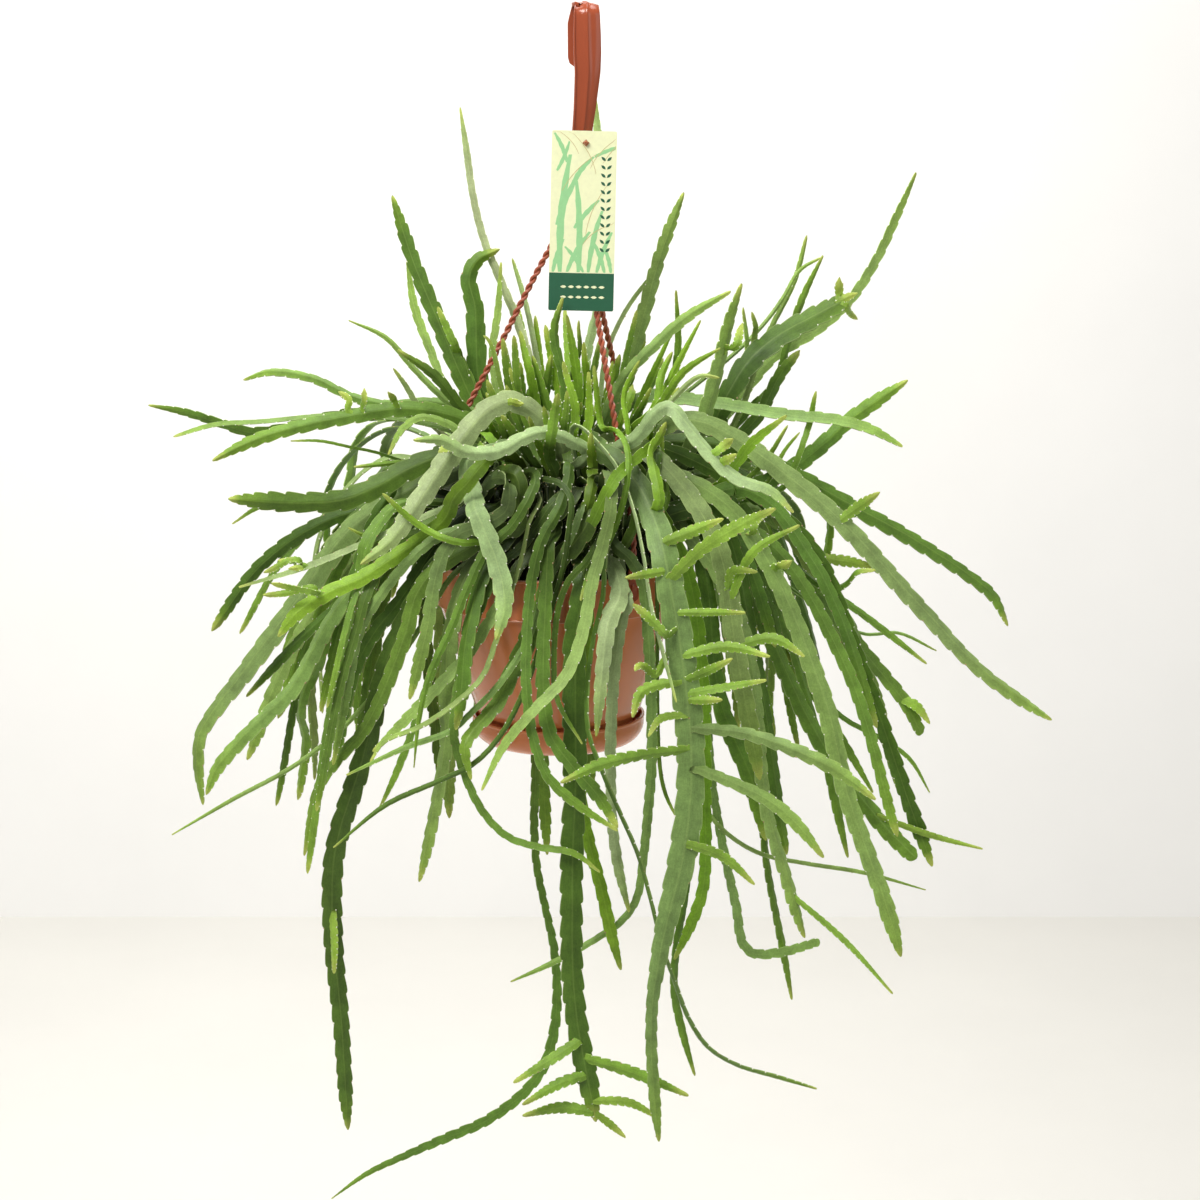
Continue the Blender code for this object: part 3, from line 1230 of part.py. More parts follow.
def clump_of_stems(number, root, strands):
    """One root crown with its stems and their side shoots, as one body."""
    crown = prism(
        f"stem_clump_{number:02d}",
        circle(ROOT_RADIUS, ROOT_SIDES),
        -ROOT_DEPTH,
        0.003,
        "stem",
        Matrix.Translation(root),
    )
    fused(crown, [strap(strand["name"], strand) for strand in strands], "MANIFOLD")


def held_together():
    """Puts every piece under one empty at the hook."""
    frame = bpy.data.objects.new("lepismium_in_hanging_pot", None)
    for piece in list(bpy.data.objects):
        if piece.type == "MESH":
            piece.parent = frame
    bpy.context.scene.collection.objects.link(frame)


def bent_strands(strands):
    """Bends the strands clear as smooth curves, then as the straight runs of their straps."""
    obstacles = held_places()
    Bending(strands, obstacles, CLEARANCE).run(BEND_ROUNDS[0], SMOOTHING[0])
    for strand in strands:
        straightened(strand)
    Bending(strands, obstacles, FINE_CLEARANCE).run(BEND_ROUNDS[1], SMOOTHING[1])
    for strand in strands:
        if strand["parent"] is not None:
            seat_on_stem(strand, strands[strand["parent"]])


def main():
    removed_scene()
    pot()
    saucer()
    hanger()
    label()
    stems = {name: traced_stem(*entry) for name, entry in STEMS.items()} | back_stems()
    clumps = rooted(stems)
    soil(clumps)
    strands = strands_of(stems, clumps)
    bent_strands(strands)
    for number, (root, _) in enumerate(clumps):
        clump_of_stems(number + 1, root, [x for x in strands if x["clump"] == number])
    held_together()


main()
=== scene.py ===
"""Finished look of a Lepismium bolivianum in its hanging pot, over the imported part.

The frame is in metres, +Z up, +X to the right in the photograph and +Y away from the camera.
The stems' routes are traced in the photograph, in pixels of its 1200 x 1200 frame, and bent clear
of each other by the same rule as the part's own stems. Stems that the photograph hides are drawn
by a rule, with fixed seeds.
"""

import itertools
import json
import math

import bmesh
import bpy
import numpy as np
from mathutils import Matrix, Vector

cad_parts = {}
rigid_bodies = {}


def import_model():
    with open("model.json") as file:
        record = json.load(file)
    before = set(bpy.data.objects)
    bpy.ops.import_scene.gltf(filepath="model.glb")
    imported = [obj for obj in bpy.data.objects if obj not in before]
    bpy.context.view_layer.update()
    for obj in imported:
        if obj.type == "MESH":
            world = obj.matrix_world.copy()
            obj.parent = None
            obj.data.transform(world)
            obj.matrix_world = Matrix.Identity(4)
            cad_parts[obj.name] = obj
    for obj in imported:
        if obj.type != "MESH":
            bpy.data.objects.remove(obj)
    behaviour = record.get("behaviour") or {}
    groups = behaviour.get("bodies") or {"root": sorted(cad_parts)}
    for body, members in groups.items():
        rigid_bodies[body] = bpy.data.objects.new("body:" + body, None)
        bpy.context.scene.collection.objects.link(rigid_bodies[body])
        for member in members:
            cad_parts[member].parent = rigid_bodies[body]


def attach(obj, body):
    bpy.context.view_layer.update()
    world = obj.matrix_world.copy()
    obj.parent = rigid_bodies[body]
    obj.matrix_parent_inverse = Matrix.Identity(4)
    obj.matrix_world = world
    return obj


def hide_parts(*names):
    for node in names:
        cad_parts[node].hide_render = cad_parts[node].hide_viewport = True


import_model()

bl_info = {
    "name": "Lepismium in a hanging pot",
    "version": (1, 0, 0),
    "blender": (4, 5, 0),
    "location": "View3D > Sidebar > Lepismium",
    "description": "Builds the stems, pot, saucer, hanger, label, soil and studio of the plant",
    "category": "Object",
}

# The part's own dimensions
RIM_RADIUS = 0.090
POT_HEIGHT = 0.124
COLLAR_HEIGHT = 0.030
COLLAR_STEP = 0.0030
WALL = 0.0018
FOOT_RADIUS = 0.0560
SHOULDER_RADIUS = 0.0600
SHOULDER_HEIGHT = 0.0112
FLANGE = 0.0015
SAUCER_RADIUS = 0.0630
SAUCER_HEIGHT = 0.0205
SAUCER_DROP = 0.1155
SOIL_DROP = 0.012
GAP = 0.0003
TURNED_SIDES = 24
FIRST_FOOT_BEARING = math.radians(-83)
DRAIN_RADIUS = 0.0040
DRAIN_RING = 0.034
DRAINS = 6
POT_X = -0.020
RIM_Z = -0.3930
BAND_WIDTH = 0.016
BAND_THICKNESS = 0.003
HOOK_RADIUS = 0.008
HOOK_FACETS = 7
HOOK_RETURN = 0.043
HUB_X = -0.003
HUB_Z = -0.1275
LEG_STEP = 0.028
FOOT_WIDTH = 0.009
FOOT_THICKNESS = 0.0016
FOOT_RISE = 0.007
FOOT_LENGTH = 0.018
BUTTON_RADIUS = 0.0026
BUTTON_HEAD_RADIUS = 0.0034
BUTTON_DROP = 0.0075
LABEL_WIDTH = 0.046
LABEL_HEIGHT = 0.1262
LABEL_THICKNESS = 0.0006
LABEL_LEAN = math.radians(8.0)
LABEL_DEPTH = -0.010
LABEL_SWING = math.radians(1.3)
LABEL_HOLE_PIXEL = (586, 143)
LABEL_TOP_MARGIN = 0.0085
PEG_RADIUS = 0.0013
PEG_HEAD_RADIUS = 0.0026
STALK_WIDTH = 0.0050
STALK_LENGTH = 0.045
TIP_LENGTH = 0.022
ROOT_DEPTH = 0.009
ROUTE_STEP = 0.005
SHOOT_SEAT = 0.6
CLEARANCE = 0.0050
FINE_CLEARANCE = 0.0040
CHORD_SAG = 0.0012
BACK_FACING = 0.75
LOOK_SMOOTHING = 6
SHORTEST_STEP = 0.009
STRAP_STEPS = ((0.0045, 0.027), (0.0026, 0.034), (0.0, 0.05))

# The strap that bends over to the hook: its front as Y and Z, its lean as Z and X behind and in
# front, its taper and turn by place, and its outline in shares of half its width and thickness.
# The rib's places across are in metres.
BAND_FALL = (
    (-HOOK_RADIUS, -0.020), (-HOOK_RADIUS, -0.045), (-0.0065, -0.075), (-0.003, -0.105), (0, HUB_Z)
)
BAND_LEAN = {
    "back": ((-0.012, 0.0), (-0.0042, -0.001)),
    "front": ((HUB_Z, -0.105, -0.070, -0.045, 0.0), (HUB_X, -0.0036, 0.0002, 0.0022, 0.0016)),
}
BAND_TAPER = (
    (0, 0.043, 0.0555, 0.069, 0.09, 0.12, 0.15), (0.95, 1.0, 1.06, 1.2, 1.22, 1.05, 0.90, 0.86)
)
BAND_TURN = ((0, 0.06, 0.09, 0.14), (0, 0, -0.10, -0.28, -0.10))
BAND_RIGHT = (
    (-1, -0.6), (-0.96, -1), (0.96, -1), (1, -0.6), (1, -0.45), (0.96, -0.2), (0.45, 0.62),
    (0.40, 0.58),
)
BAND_RIB = ((0.0009, 1.05), (0.0004, 1.42), (-0.0004, 1.42), (-0.0009, 1.15))
BAND_LEFT = (
    (-0.3, 0.8), (-0.80, 0.25), (-0.87, 0.3), (-0.90, 0.9), (-0.98, 0.9), (-1, 0.6)
)

# The hub round its middle, the twisted legs with what they pass through (pixels and depth), and
# the feet's levels as share of the outline and of the thickness
HUB_HALF_WIDTH = 0.0085
HUB_HALF_DEPTH = 0.0055
HUB_BELOW = 0.010
HUB_ABOVE = 0.003
LEG_DROP = 0.006
LEG_ABOVE_FOOT = 0.022
LEG_DETAIL = 0.0011
LEG_TRACES = (
    ((549, 250, -0.002), (500, 345, -0.005), (454, 439, -0.009)),
    ((597, 314, -0.023), (608, 380, -0.036), (620, 454, -0.052)),
    ((602, 313, 0.025), (615, 374, 0.042), (614, 440, 0.060)),
)
LEG_TWIST_RADIUS = 0.00115
LEG_STRAND_RADIUS = 0.00125
FOOT_LEVELS = ((1.0, 0), (1.0, 0.8), (0.93, 1), (0.72, 1), (0.66, 0.72))

TURNING_STEPS = 144
SOIL_MOUND = 0.003
SOIL_SEED = 3
CLUMP_SEED = 100

# The saucer's inside (radius and height above its bottom) and what is cut or printed
SAUCER_INSIDE = (
    (0, 0.0017), (0.0455, 0.0017), (0.0512, 0.0022), (0.0566, 0.0048), (0.0600, 0.0092),
    (0.0613, 0.0147),
)
SAUCER_CURVE = 0.0145
LABEL_SHIFT = -0.0011
LEAF_STEPS = 9
LABEL_HOLE = 0.0017
LABEL_CORNER = 0.0012
BAND_SHARE = 0.21
PRINT_EDGE = 0.00002
LAYER = 0.000003
DRILL_LENGTH = 0.01
# Colour of the painted highlights: pale lines where the pot's edges catch the light
PAINTED_HIGHLIGHT_COLOUR = (0.95, 0.62, 0.50)
PEAT_COLOURS = ((0.018, 0.010, 0.006), (0.085, 0.048, 0.026), (0.26, 0.19, 0.12))

# How the stems are bent clear of each other
BEND_ROUNDS = (300, 400)
SMOOTHING = ((24, 10), (1, 0))
LONGEST_MOVE = 0.0025
MEMORY_KEPT = 0.9
FACE_SHARE = 1.25
POT_SHARE = 0.6
SMOOTHED_GAIN = 3.0
PLAIN_GAIN = 1.2
STIFFNESS = 0.03
TOUCH_ALLOWANCE = 0.0007
HELD_LENGTH = 0.006
FREEING_LENGTH = 0.040
ROOTED_LENGTH = 0.030
BALL_SPACING = 0.0034
LEAST_WEIGHT = 0.6
BALL_ROWS = (
    (-1.0, (0.0,)),
    (0.0020, (-1.0, 1.0)),
    (0.0038, (-0.5, 0.5)),
    (0.0078, (-0.75, -0.25, 0.25, 0.75)),
)
EXTRA_CLEARANCE = 0.0030
EXTRA_ROUNDS = 150
EXTRA_SMOOTHING = (12, 4)
PAIR_MARGIN = 0.003
PAIRS_EVERY = 5
TOUCHES_EVERY = 10

# The pot's mouth: how far inside the wall stems keep, and where and how far they are lifted out
MOUTH_MARGIN = 0.0065
MOUTH_OVERLAP = 0.008
MOUTH_DEPTH = 0.02
MOUTH_LIFT = 0.0045

# How a stem rises from its root, and how its stalk and tip narrow
RISE_SHARE = 0.35
LEAST_RISE = 0.030
FIRST_CREST = 0.03
STALK_START = 0.4
BLUNT_TIP = 0.85
POINTED_TIP = 0.32

# How the broad faces look, and turn along a stem and from one stem to the next
OUTWARD_FACING = 0.3
UPWARD_FACING = 0.15
EDGE_ON_TURN = math.radians(65)
TURN_SPREAD = 0.3
NEXT_TURN = 2.4
TURN_WAVE = 0.25
TURN_WAVES = 4

# The points that stand for the hanger: their spacing and distance from a leg's middle
HELD_SPACING = 0.003
HELD_LEG_RADIUS = 0.0012
HELD_BUTTON_RADIUS = 0.0850

# The photograph's camera
PIXEL = 0.0007317
EYE_DISTANCE = 2.0
EYE_TILT = math.radians(11.5)
AIM = np.array((0.0108, 0.0, -0.4244))
TOWARDS_EYE = np.array((0, -math.cos(EYE_TILT), math.sin(EYE_TILT)))
EYE = AIM + EYE_DISTANCE * TOWARDS_EYE
PHOTO_MIDDLE = 600
TABLE_Z = -1.746
WALL_Y = 3.3

# Places and directions that follow from these
SHOULDER_DROP = POT_HEIGHT - SHOULDER_HEIGHT
SAUCER_BOTTOM = SAUCER_DROP + SAUCER_HEIGHT
SOIL_Z = RIM_Z - SOIL_DROP
RIM_MIDDLE = np.array((POT_X, 0, RIM_Z))
SOIL_MIDDLE = np.array((POT_X, 0, SOIL_Z))
UP = np.array((0, 0, 1.0))

# The outline that the stems stay off: drop below the rim and radius
POT_OUTLINE = np.array(
    (
        (-0.004, RIM_RADIUS),
        (0, RIM_RADIUS),
        (COLLAR_HEIGHT + 0.004, RIM_RADIUS),
        (SHOULDER_DROP, SHOULDER_RADIUS + 0.002),
        (SAUCER_DROP - 0.004, SAUCER_RADIUS),
        (SAUCER_DROP, SAUCER_RADIUS),
        (SAUCER_BOTTOM, SAUCER_RADIUS - 0.004),
        (SAUCER_BOTTOM + 0.003, SAUCER_RADIUS - 0.012),
    )
).T
POT_CLEARANCE = 0.0035

# How a stem leaves the soil: where it starts in its clump and how it clears the rim
FOOT_SPREAD = 0.0026
EXTRA_FOOT_SPREAD = 0.0036
LOW_START = RIM_Z + 0.012
CREST_RISE = 0.022
CREST_OUT = 0.008
CLEAR_OF_RIM = RIM_Z + 0.006

# Each stem, base to tip: its tone, widths in pixels and depths in millimetres, spread evenly
# along the traced stretch, then the points in pixels. Depth grows away from the camera.
STEMS = {
    "a01": ("pale", (9, 6), (20, 85), "540,400 520,330 498,275 478,220 468,160 460,107"),
    "a02": ("dark", (17, 16, 10), (5, 40), "490,430 470,395 440,325 413,260 392,195"),
    "a03": ("dark", (19, 19, 12), (25, 50), "510,425 482,388 475,310 470,275 483,256 500,249"),
    "a04": ("light", (8, 8), (35, 75), "480,425 450,395 425,335 413,300 407,260"),
    "a05": ("light", (8, 4), (-5, -30), "490,430 460,412 420,375 385,338 348,320"),
    "a06": ("dark", (12, 9), (-10, -45), "500,440 470,418 440,382 397,350"),
    "a07": ("mid", (11, 10, 8), (0, 30), "520,430 440,405 370,402 310,378 260,373 243,380"),
    "a08": ("dark", (13, 13, 6), (15, -5),
        "500,445 430,418 350,415 275,430 240,430 205,417 148,405"),
    "a08b": ("mid", (16, 15, 10), (-15, -60), "520,445 480,425 420,409 340,418 260,438 212,461"),
    "a10": ("dark", (20, 22, 16), (-30, -80),
        "550,470 470,455 430,460 390,480 340,500 280,502 228,499"),
    "a11": ("mid", (6, 5), (20, 45), "480,480 400,480 330,498 258,508 232,524"),
    "a12": ("pale", (18, 22, 20, 10), (-55, -105),
        "545,425 515,402 490,410 458,445 420,500 385,546 360,565"),
    "a13": ("pale", (12, 14, 9), (-74, -128), "574,441 540,432 500,450 460,450 440,440 413,440"),
    "a14": ("grey", (10, 7), (-20, -55), "490,450 450,425 420,418 395,438 388,455"),
    "a15": ("light", (8, 7), (10, 30), "505,430 495,380 493,350 500,290 501,262"),
    "a19": ("dark", (12, 12), (-15, -20), "530,440 522,400 520,362"),
    "a20": ("dark", (8, 8), (-5, 15), "575,430 560,390 545,386 530,393 520,412"),
    "b01": ("pale", (9, 9), (35, 50), "585,430 585,360 600,300 600,180 595,97"),
    "b03": ("light", (14, 14, 9), (25, 60), "605,440 628,370 645,310 662,250 684,192"),
    "b05": ("mid", (7, 7), (15, 0), "650,430 672,380 678,350 676,290"),
    "b06": ("light", (11, 10), (-10, -45), "600,430 620,385 650,350 690,315 731,291"),
    "b07": ("light", (16, 16, 11), (-20, -30), "670,480 700,430 718,370 733,310 742,283"),
    "b11": ("deep", (20, 21, 24, 20), (5, 25), "680,470 710,430 725,400 760,350 790,330 845,300"),
    "b12": ("light", (11, 10, 8), (35, 75),
        "700,440 750,390 790,350 840,310 875,260 903,200 916,172"),
    "b13": ("mid", (8, 7), (50, 40), "720,440 770,380 795,320 812,275 823,255"),
    "b17": ("mid", (17, 16, 12), (5, 30), "700,500 770,480 810,455 850,420 908,380"),
    "b18": ("light", (14, 14, 10), (0, -15), "590,440 640,400 700,402 780,415 855,425 903,447"),
    "b19": ("bright", (10, 10), (-40, -60), "690,500 725,480 740,455 787,415"),
    "b20": ("bright", (8, 7), (-45, -70), "625,450 660,405 685,372 721,348"),
    "b22": ("pale", (14, 16, 16, 10), (-65, -120),
        "635,440 668,408 700,442 735,475 775,493 794,513"),
    "b26": ("dark", (9, 9), (-42, -32), "580,510 572,480 567,400 555,330 563,297"),
    "b27": ("bright", (9, 9), (-25, -22), "590,500 582,420 574,355 567,315"),
    "b29": ("bright", (9, 9), (-55, -62), "597,520 592,480 589,420 588,372"),
    "b36": ("bright", (7, 7), (0, -15), "620,450 640,400 665,350 675,325"),
    "b37": ("bright", (7, 7), (15, 5), "640,450 660,400 680,360 700,320"),
    "c01": ("grey", (20, 24, 22, 12), (-25, -20, -30, -40),
        "480,460 400,495 345,535 305,590 238,680 203,730 198,755 203,805"),
    "c02": ("light", (18, 20, 18, 12), (-55, -50, -60, -60),
        "490,480 440,520 345,600 290,690 245,735 210,780 206,795"),
    "c03": ("light", (14, 14), (-5, 20), "500,480 430,500 330,590 280,675 255,740 247,760"),
    "c04": ("bright", (15, 15), (-75, -90), "510,490 440,530 370,575 320,598 285,625 278,637"),
    "c05": ("dark", (10, 10), (-30, -20), "500,490 450,510 345,600 300,640 246,697"),
    "c06": ("pale", (6, 6), (-60, -75), "500,500 420,520 350,552 290,573 240,588"),
    "c09": ("dark", (16, 16, 12), (-45, -35), "510,490 450,530 405,595 365,650 345,710 336,770"),
    "c10": ("mid", (16, 15, 9), (-85, -80, -60),
        "530,500 480,540 425,580 400,650 366,726 321,783 304,856"),
    "c11": ("dark", (16, 20, 20, 13), (-60, -72, -40, -25),
        "508,508 450,545 395,640 362,760 335,853 333,930 341,1019 348,1130"),
    "c12": ("light", (10, 9), (-85, -75), "500,510 430,540 365,620 347,690 333,765"),
    "c13": ("grey", (14, 12), (-85, -100), "520,500 450,545 425,640 410,700"),
    "c14": ("mid", (10, 8, 3), (-95, -112), "540,510 490,545 455,620 425,690 414,768"),
    "c15": ("dark", (18, 18, 14), (-75, -115), "530,500 490,545 470,620 460,700 455,730"),
    "c16": ("pale", (15, 19, 19, 14), (-65, -130),
        "500,470 475,465 487,510 503,580 505,605 497,640"),
    "c17": ("light", (9, 8), (-85, -135),
        "560,505 535,535 505,610 480,680 430,720 380,745 370,762"),
    "c18": ("mid", (20, 20, 9), (-85, -122), "580,510 560,570 525,640 490,700 465,735 471,780"),
    "c19": ("light", (12, 10), (-75, -105), "560,500 530,550 470,650 410,715 375,755"),
    "c20": ("light", (7, 6), (-90, -112), "580,505 560,550 520,660 470,720 390,752 345,775"),
    "c21": ("light", (6, 4), (-60, -70), "530,500 470,560 370,700 310,755 220,807 172,835"),
    "c22": ("dark", (6, 5), (-98, -118), "575,515 555,600 510,720 471,764 392,802 333,848"),
    "c23": ("light", (18, 20, 12), (-70, -90, -80),
        "540,500 495,535 465,580 446,670 446,738 433,818 419,882"),
    "c24": ("mid", (9, 7), (-60, -85, -60), "540,495 480,560 450,620 404,754 379,810"),
    "c25": ("mid", (9, 9, 6), (-80, -108, -118),
        "550,510 495,570 455,700 471,789 510,837 577,855 600,872"),
    "c28": ("dark", (7, 5), (-92, -128), "580,520 565,580 555,690 582,745"),
    "d02": ("pale", (16, 18, 8), (-65, -120, -132), "597,490 608,520 606,560 604,640 591,738"),
    "d03": ("mid", (10, 8), (-75, -112), "588,495 580,540 572,600"),
    "d04": ("light", (12, 12, 8), (-86, -127, -140), "598,510 592,560 567,670 510,738 481,791"),
    "d06": ("pale", (8, 6), (-78, -150), "590,440 615,470 640,530 650,600 676,703"),
    "d07": ("grey", (20, 27, 28, 28, 12, 11), (-52, -125, -135, -135, -128, -122),
        "590,450 625,470 660,550 680,650 691,757 685,843 662,944 652,1010 653,1079 659,1142"),
    "d08": ("grey", (18, 20, 16), (-50, -110, -100), "620,450 655,460 715,540 738,660 760,780"),
    "d09": ("light", (18, 20, 15), (-55, -85, -85),
        "660,470 720,500 770,567 826,705 847,793 885,902 901,957"),
    "d12": ("mid", (11, 9), (-80, -128, -150), "560,500 530,600 529,716 551,780 618,831"),
    "d12b": ("dark", (15, 13), (-80, -120, -142), "570,495 550,590 551,732 593,789 618,828"),
    "d13": ("dark", (18, 24, 22, 20), (-80, -114, -114, -105),
        "588,500 575,640 575,780 572,891 575,1003 596,1122"),
    "d13b": ("bright", (12, 12), (-76, -99, -86, -78), "600,500 590,600 581,796 599,879 621,970"),
    "d14": ("light", (12, 10, 5), (-70, -100, -85, -70),
        "620,490 640,560 652,729 646,829 629,912 561,958 510,982"),
    "d14b": ("pale", (12, 10), (-75, -98, -88), "610,500 612,590 608,720 614,843 629,912"),
    "d16": ("mid", (18, 18), (-30, -70, -60), "640,480 695,540 720,700 755,790 765,840"),
    "l07": ("mid", (9, 8, 11, 10, 3), (99, 95, 70, 50),
        "535,764 535,853 556,981 542,1067 497,1113 417,1150 360,1178 331,1199"),
    "l10": ("mid", (9, 8), (-78, -128, -120, -60),
        "605,500 590,600 592,737 640,864 666,958 712,1050 817,1089"),
    "l11": ("bright", (14, 14, 10), (-60, -112, -105), "640,475 690,580 705,812 701,895 674,960"),
    "l12": ("mid", (8, 8), (-55, -105, -90), "650,490 700,700 690,860 675,987 695,1076"),
    "l13": ("light", (8, 8, 10), (-50, -90, -60),
        "645,500 700,650 712,780 735,901 749,950 790,950 820,941"),
    "l14": ("light", (14, 14), (-45, -95, -90), "660,490 740,620 767,809 784,866 805,938"),
    "l15": ("mid", (9, 8), (-30, -60, -55), "650,500 730,580 769,872 784,952 792,1000"),
    "l17": ("dark", (14, 14), (-30, -50), "670,450 730,480 809,544 861,664 911,808 932,867"),
    "l18": ("grey", (18, 20, 18, 12), (-25, -60),
        "640,440 690,420 817,500 917,603 982,670 1052,720"),
    "l19": ("dark", (15, 17, 12), (5, 10), "650,440 740,450 858,509 935,553 993,597 1008,626"),
    "r01": ("mid", (14, 14), (-25, -20), "670,480 770,550 864,653 911,714 921,735"),
    "r02": ("mid", (8, 7), (5, 5), "660,480 750,540 858,611 927,664"),
    "r04": ("mid", (16, 17), (-45, -50), "660,480 730,560 820,740 882,823 917,858"),
    "r06": ("mid", (9, 8), (-15, -10), "660,500 750,600 826,714 873,793"),
    "r07": ("mid", (8, 4), (0, 10), "670,500 760,590 829,705 905,755 930,793"),
    "r08": ("mid", (10, 9), (-25, -30), "660,500 750,560 820,740 848,858"),
    "r09": ("light", (5, 4), (-50, -95, -45), "620,510 670,620 703,803 761,853 847,869 926,890"),
}

# Thin stems that are only part of the finished look
EXTRA_STEMS = {
    "a08c": ("light", (5, 5), (-10, -30), "500,450 430,425 350,415 260,422 215,425 173,437"),
    "a16": ("pale", (6, 5), (45, 65), "555,430 545,400 527,310 512,258"),
    "a18": ("light", (5, 5), (-20, -35), "515,430 503,390 490,342 483,335"),
    "a22": ("mid", (5, 5), (-25, -50), "470,470 420,462 353,467"),
    "b04": ("pale", (5, 4), (40, 50), "600,420 605,360 625,312 657,268"),
    "b09": ("light", (6, 6), (35, 30), "700,450 735,400 747,350 743,307"),
    "b10": ("light", (6, 6), (20, 10), "715,460 745,400 760,345 752,312"),
    "b14": ("light", (6, 5), (60, 65), "705,440 745,395 768,335 795,280 807,235"),
    "b21": ("pale", (6, 5), (-30, -50), "640,440 672,400 700,376 720,378"),
    "b23": ("mid", (6, 6), (-10, -15), "740,500 780,490 797,460 816,391"),
    "b25": ("mid", (5, 5), (-15, -25), "720,500 762,465 788,425"),
    "b30": ("dark", (7, 7), (-62, -72), "573,520 570,480 567,430 567,390"),
    "b32": ("bright", (6, 6), (-30, -40), "602,500 600,430 594,365"),
    "b35": ("bright", (6, 5), (-35, -52), "605,450 622,395 640,360"),
    "b38": ("bright", (6, 6), (-52, -62), "630,510 637,480 650,430 660,405"),
    "c08": ("bright", (7, 6), (-85, -105), "450,545 412,520 382,493"),
    "r03": ("light", (4, 3), (15, 25), "660,490 780,580 861,633 899,633 937,651"),
    "x09": ("mid", (3, 3), (-10, -25), "400,460 375,452 350,447 320,441 290,441"),
    "x17": ("pale", (3, 3), (-10, -15), "515,390 505,342"),
    "x21": ("pale", (6, 5), (-15, -25), "415,402 405,385 393,368"),
    "x15": ("light", (4, 4), (50, 55), "785,295 800,270 822,257"),
    "x16": ("dark", (12, 11), (30, 38), "765,405 780,375 800,350"),
    "x25": ("mid", (4, 4), (-20, -28), "772,475 785,450 800,432"),
    "x28": ("dark", (5, 5), (-20, -22), "575,345 578,320"),
    "x31": ("bright", (6, 6), (-30, -34), "576,480 574,440 575,400"),
    "x38": ("bright", (6, 6), (-52, -58), "657,490 660,460 662,430"),
    "x08": ("mid", (5, 4), (-62, -74), "385,541 365,537 348,528"),
    "x11": ("dark", (8, 7), (-45, -55), "832,573 855,570 876,570"),
    "x40": ("mid", (4, 4), (-70, -82), "660,766 666,795 678,820"),
}
BLUNT_STEMS = {"b11", "r01", "r04", "l13"}
EDGE_ON_STEMS = {"d06", "l10", "c17"}

# Young side shoots: the stem that each grows from, its width and depth change, then its points
SHOOTS = (
    ("b11", 6, 0, "835,302 858,293"),
    ("b22", 7, -10, "716,468 737,454"),
    ("l18", 8, -10, "850,512 880,492"),
    ("c11", 8, -8, "334,910 334,974"),
    ("d07", 9, -14, "665,540 720,518"),
    ("d07", 10, -18, "668,580 700,550 740,525 775,508"),
    ("d08", 7, -14, "728,590 733,572 758,572"),
    ("d08", 7, -18, "735,600 755,553 800,525"),
    ("d07", 6, -12, "678,612 745,613"),
    ("d07", 8, -16, "685,655 720,648 745,650 770,657"),
    ("d08", 8, -16, "738,645 775,640 805,657"),
    ("d07", 7, -10, "690,680 733,658"),
    ("d07", 7, -16, "690,693 767,680"),
    ("d07", 7, -12, "686,700 723,700"),
    ("d07", 13, -25, "690,727 761,737 807,757 847,777 876,800"),
    ("d07", 13, -10, "690,766 746,789 784,812 824,858"),
    ("d07", 8, -12, "686,843 721,856 755,885"),
    ("d07", 7, -14, "668,570 623,578"),
    ("d07", 8, -12, "680,680 640,695 632,718"),
    ("d07", 6, -10, "688,715 660,720 648,737"),
    ("d07", 9, -22, "688,749 632,757 589,769 560,783"),
    ("d13", 9, -8, "580,1040 569,1048 513,1083"),
    ("d13", 9, -6, "585,1075 572,1078 522,1105"),
    ("d13", 9, 2, "596,1112 567,1108 522,1116"),
    ("d13", 9, -4, "586,1057 626,1070 689,1096"),
    ("d13", 7, 4, "594,1100 629,1103 660,1119"),
    ("d13", 6, -2, "596,1112 626,1138"),
    ("l17", 8, 0, "820,556 876,567"),
    ("r01", 8, -4, "900,700 914,705 930,724"),
    ("r04", 5, 0, "875,815 923,832 983,849"),
    ("l14", 5, 0, "795,895 838,934 893,994"),
)

EXTRA_SHOOTS = (
    ("a08b", 5, 0, "340,412 330,397"),
    ("a08b", 5, 0, "373,410 362,387"),
    ("a08b", 5, 0, "400,402 385,392"),
    ("a12", 6, -8, "508,404 523,398"),
    ("b07", 6, -4, "725,345 741,320"),
    ("b11", 6, -6, "838,304 860,312"),
    ("b11", 6, 5, "828,305 842,282"),
    ("b22", 7, -8, "712,455 732,440"),
    ("c06", 5, -6, "315,560 273,563"),
    ("c06", 5, -4, "310,562 278,569"),
    ("c06", 5, -8, "298,572 262,576"),
    ("c04", 5, -8, "310,600 262,595"),
    ("c04", 5, -6, "320,595 270,583"),
    ("d02", 5, -6, "607,530 620,522"),
    ("d07", 7, -12, "650,628 632,603"),
    ("d07", 6, -10, "672,640 640,660 635,670"),
    ("d09", 8, -6, "770,567 795,556"),
    ("d09", 6, -8, "748,535 745,520 768,512"),
    ("a12", 7, -10, "455,450 435,462"),
)

# Stems of the half that faces away, drawn by a rule with fixed seeds: those that are also in the
# part, then thinner ones
BACK_LETTER = "k"
BACK_SEED = 7
BACK_STEMS = 26
EXTRA_BACK_LETTER = "m"
EXTRA_BACK_SEED = 19
EXTRA_BACK_STEMS = 12
BACK_BEARINGS = (math.radians(25), math.radians(155))
BACK_HANGS = (0.15, 0.75, 0.45)
BACK_REACH = (0.13, 0.19)
BACK_RISE = (0.05, 0.10)
BACK_DROP = (0.22, 0.34)
BACK_SWAY = 0.04
BACK_WIDTH = (0.009, 0.015)

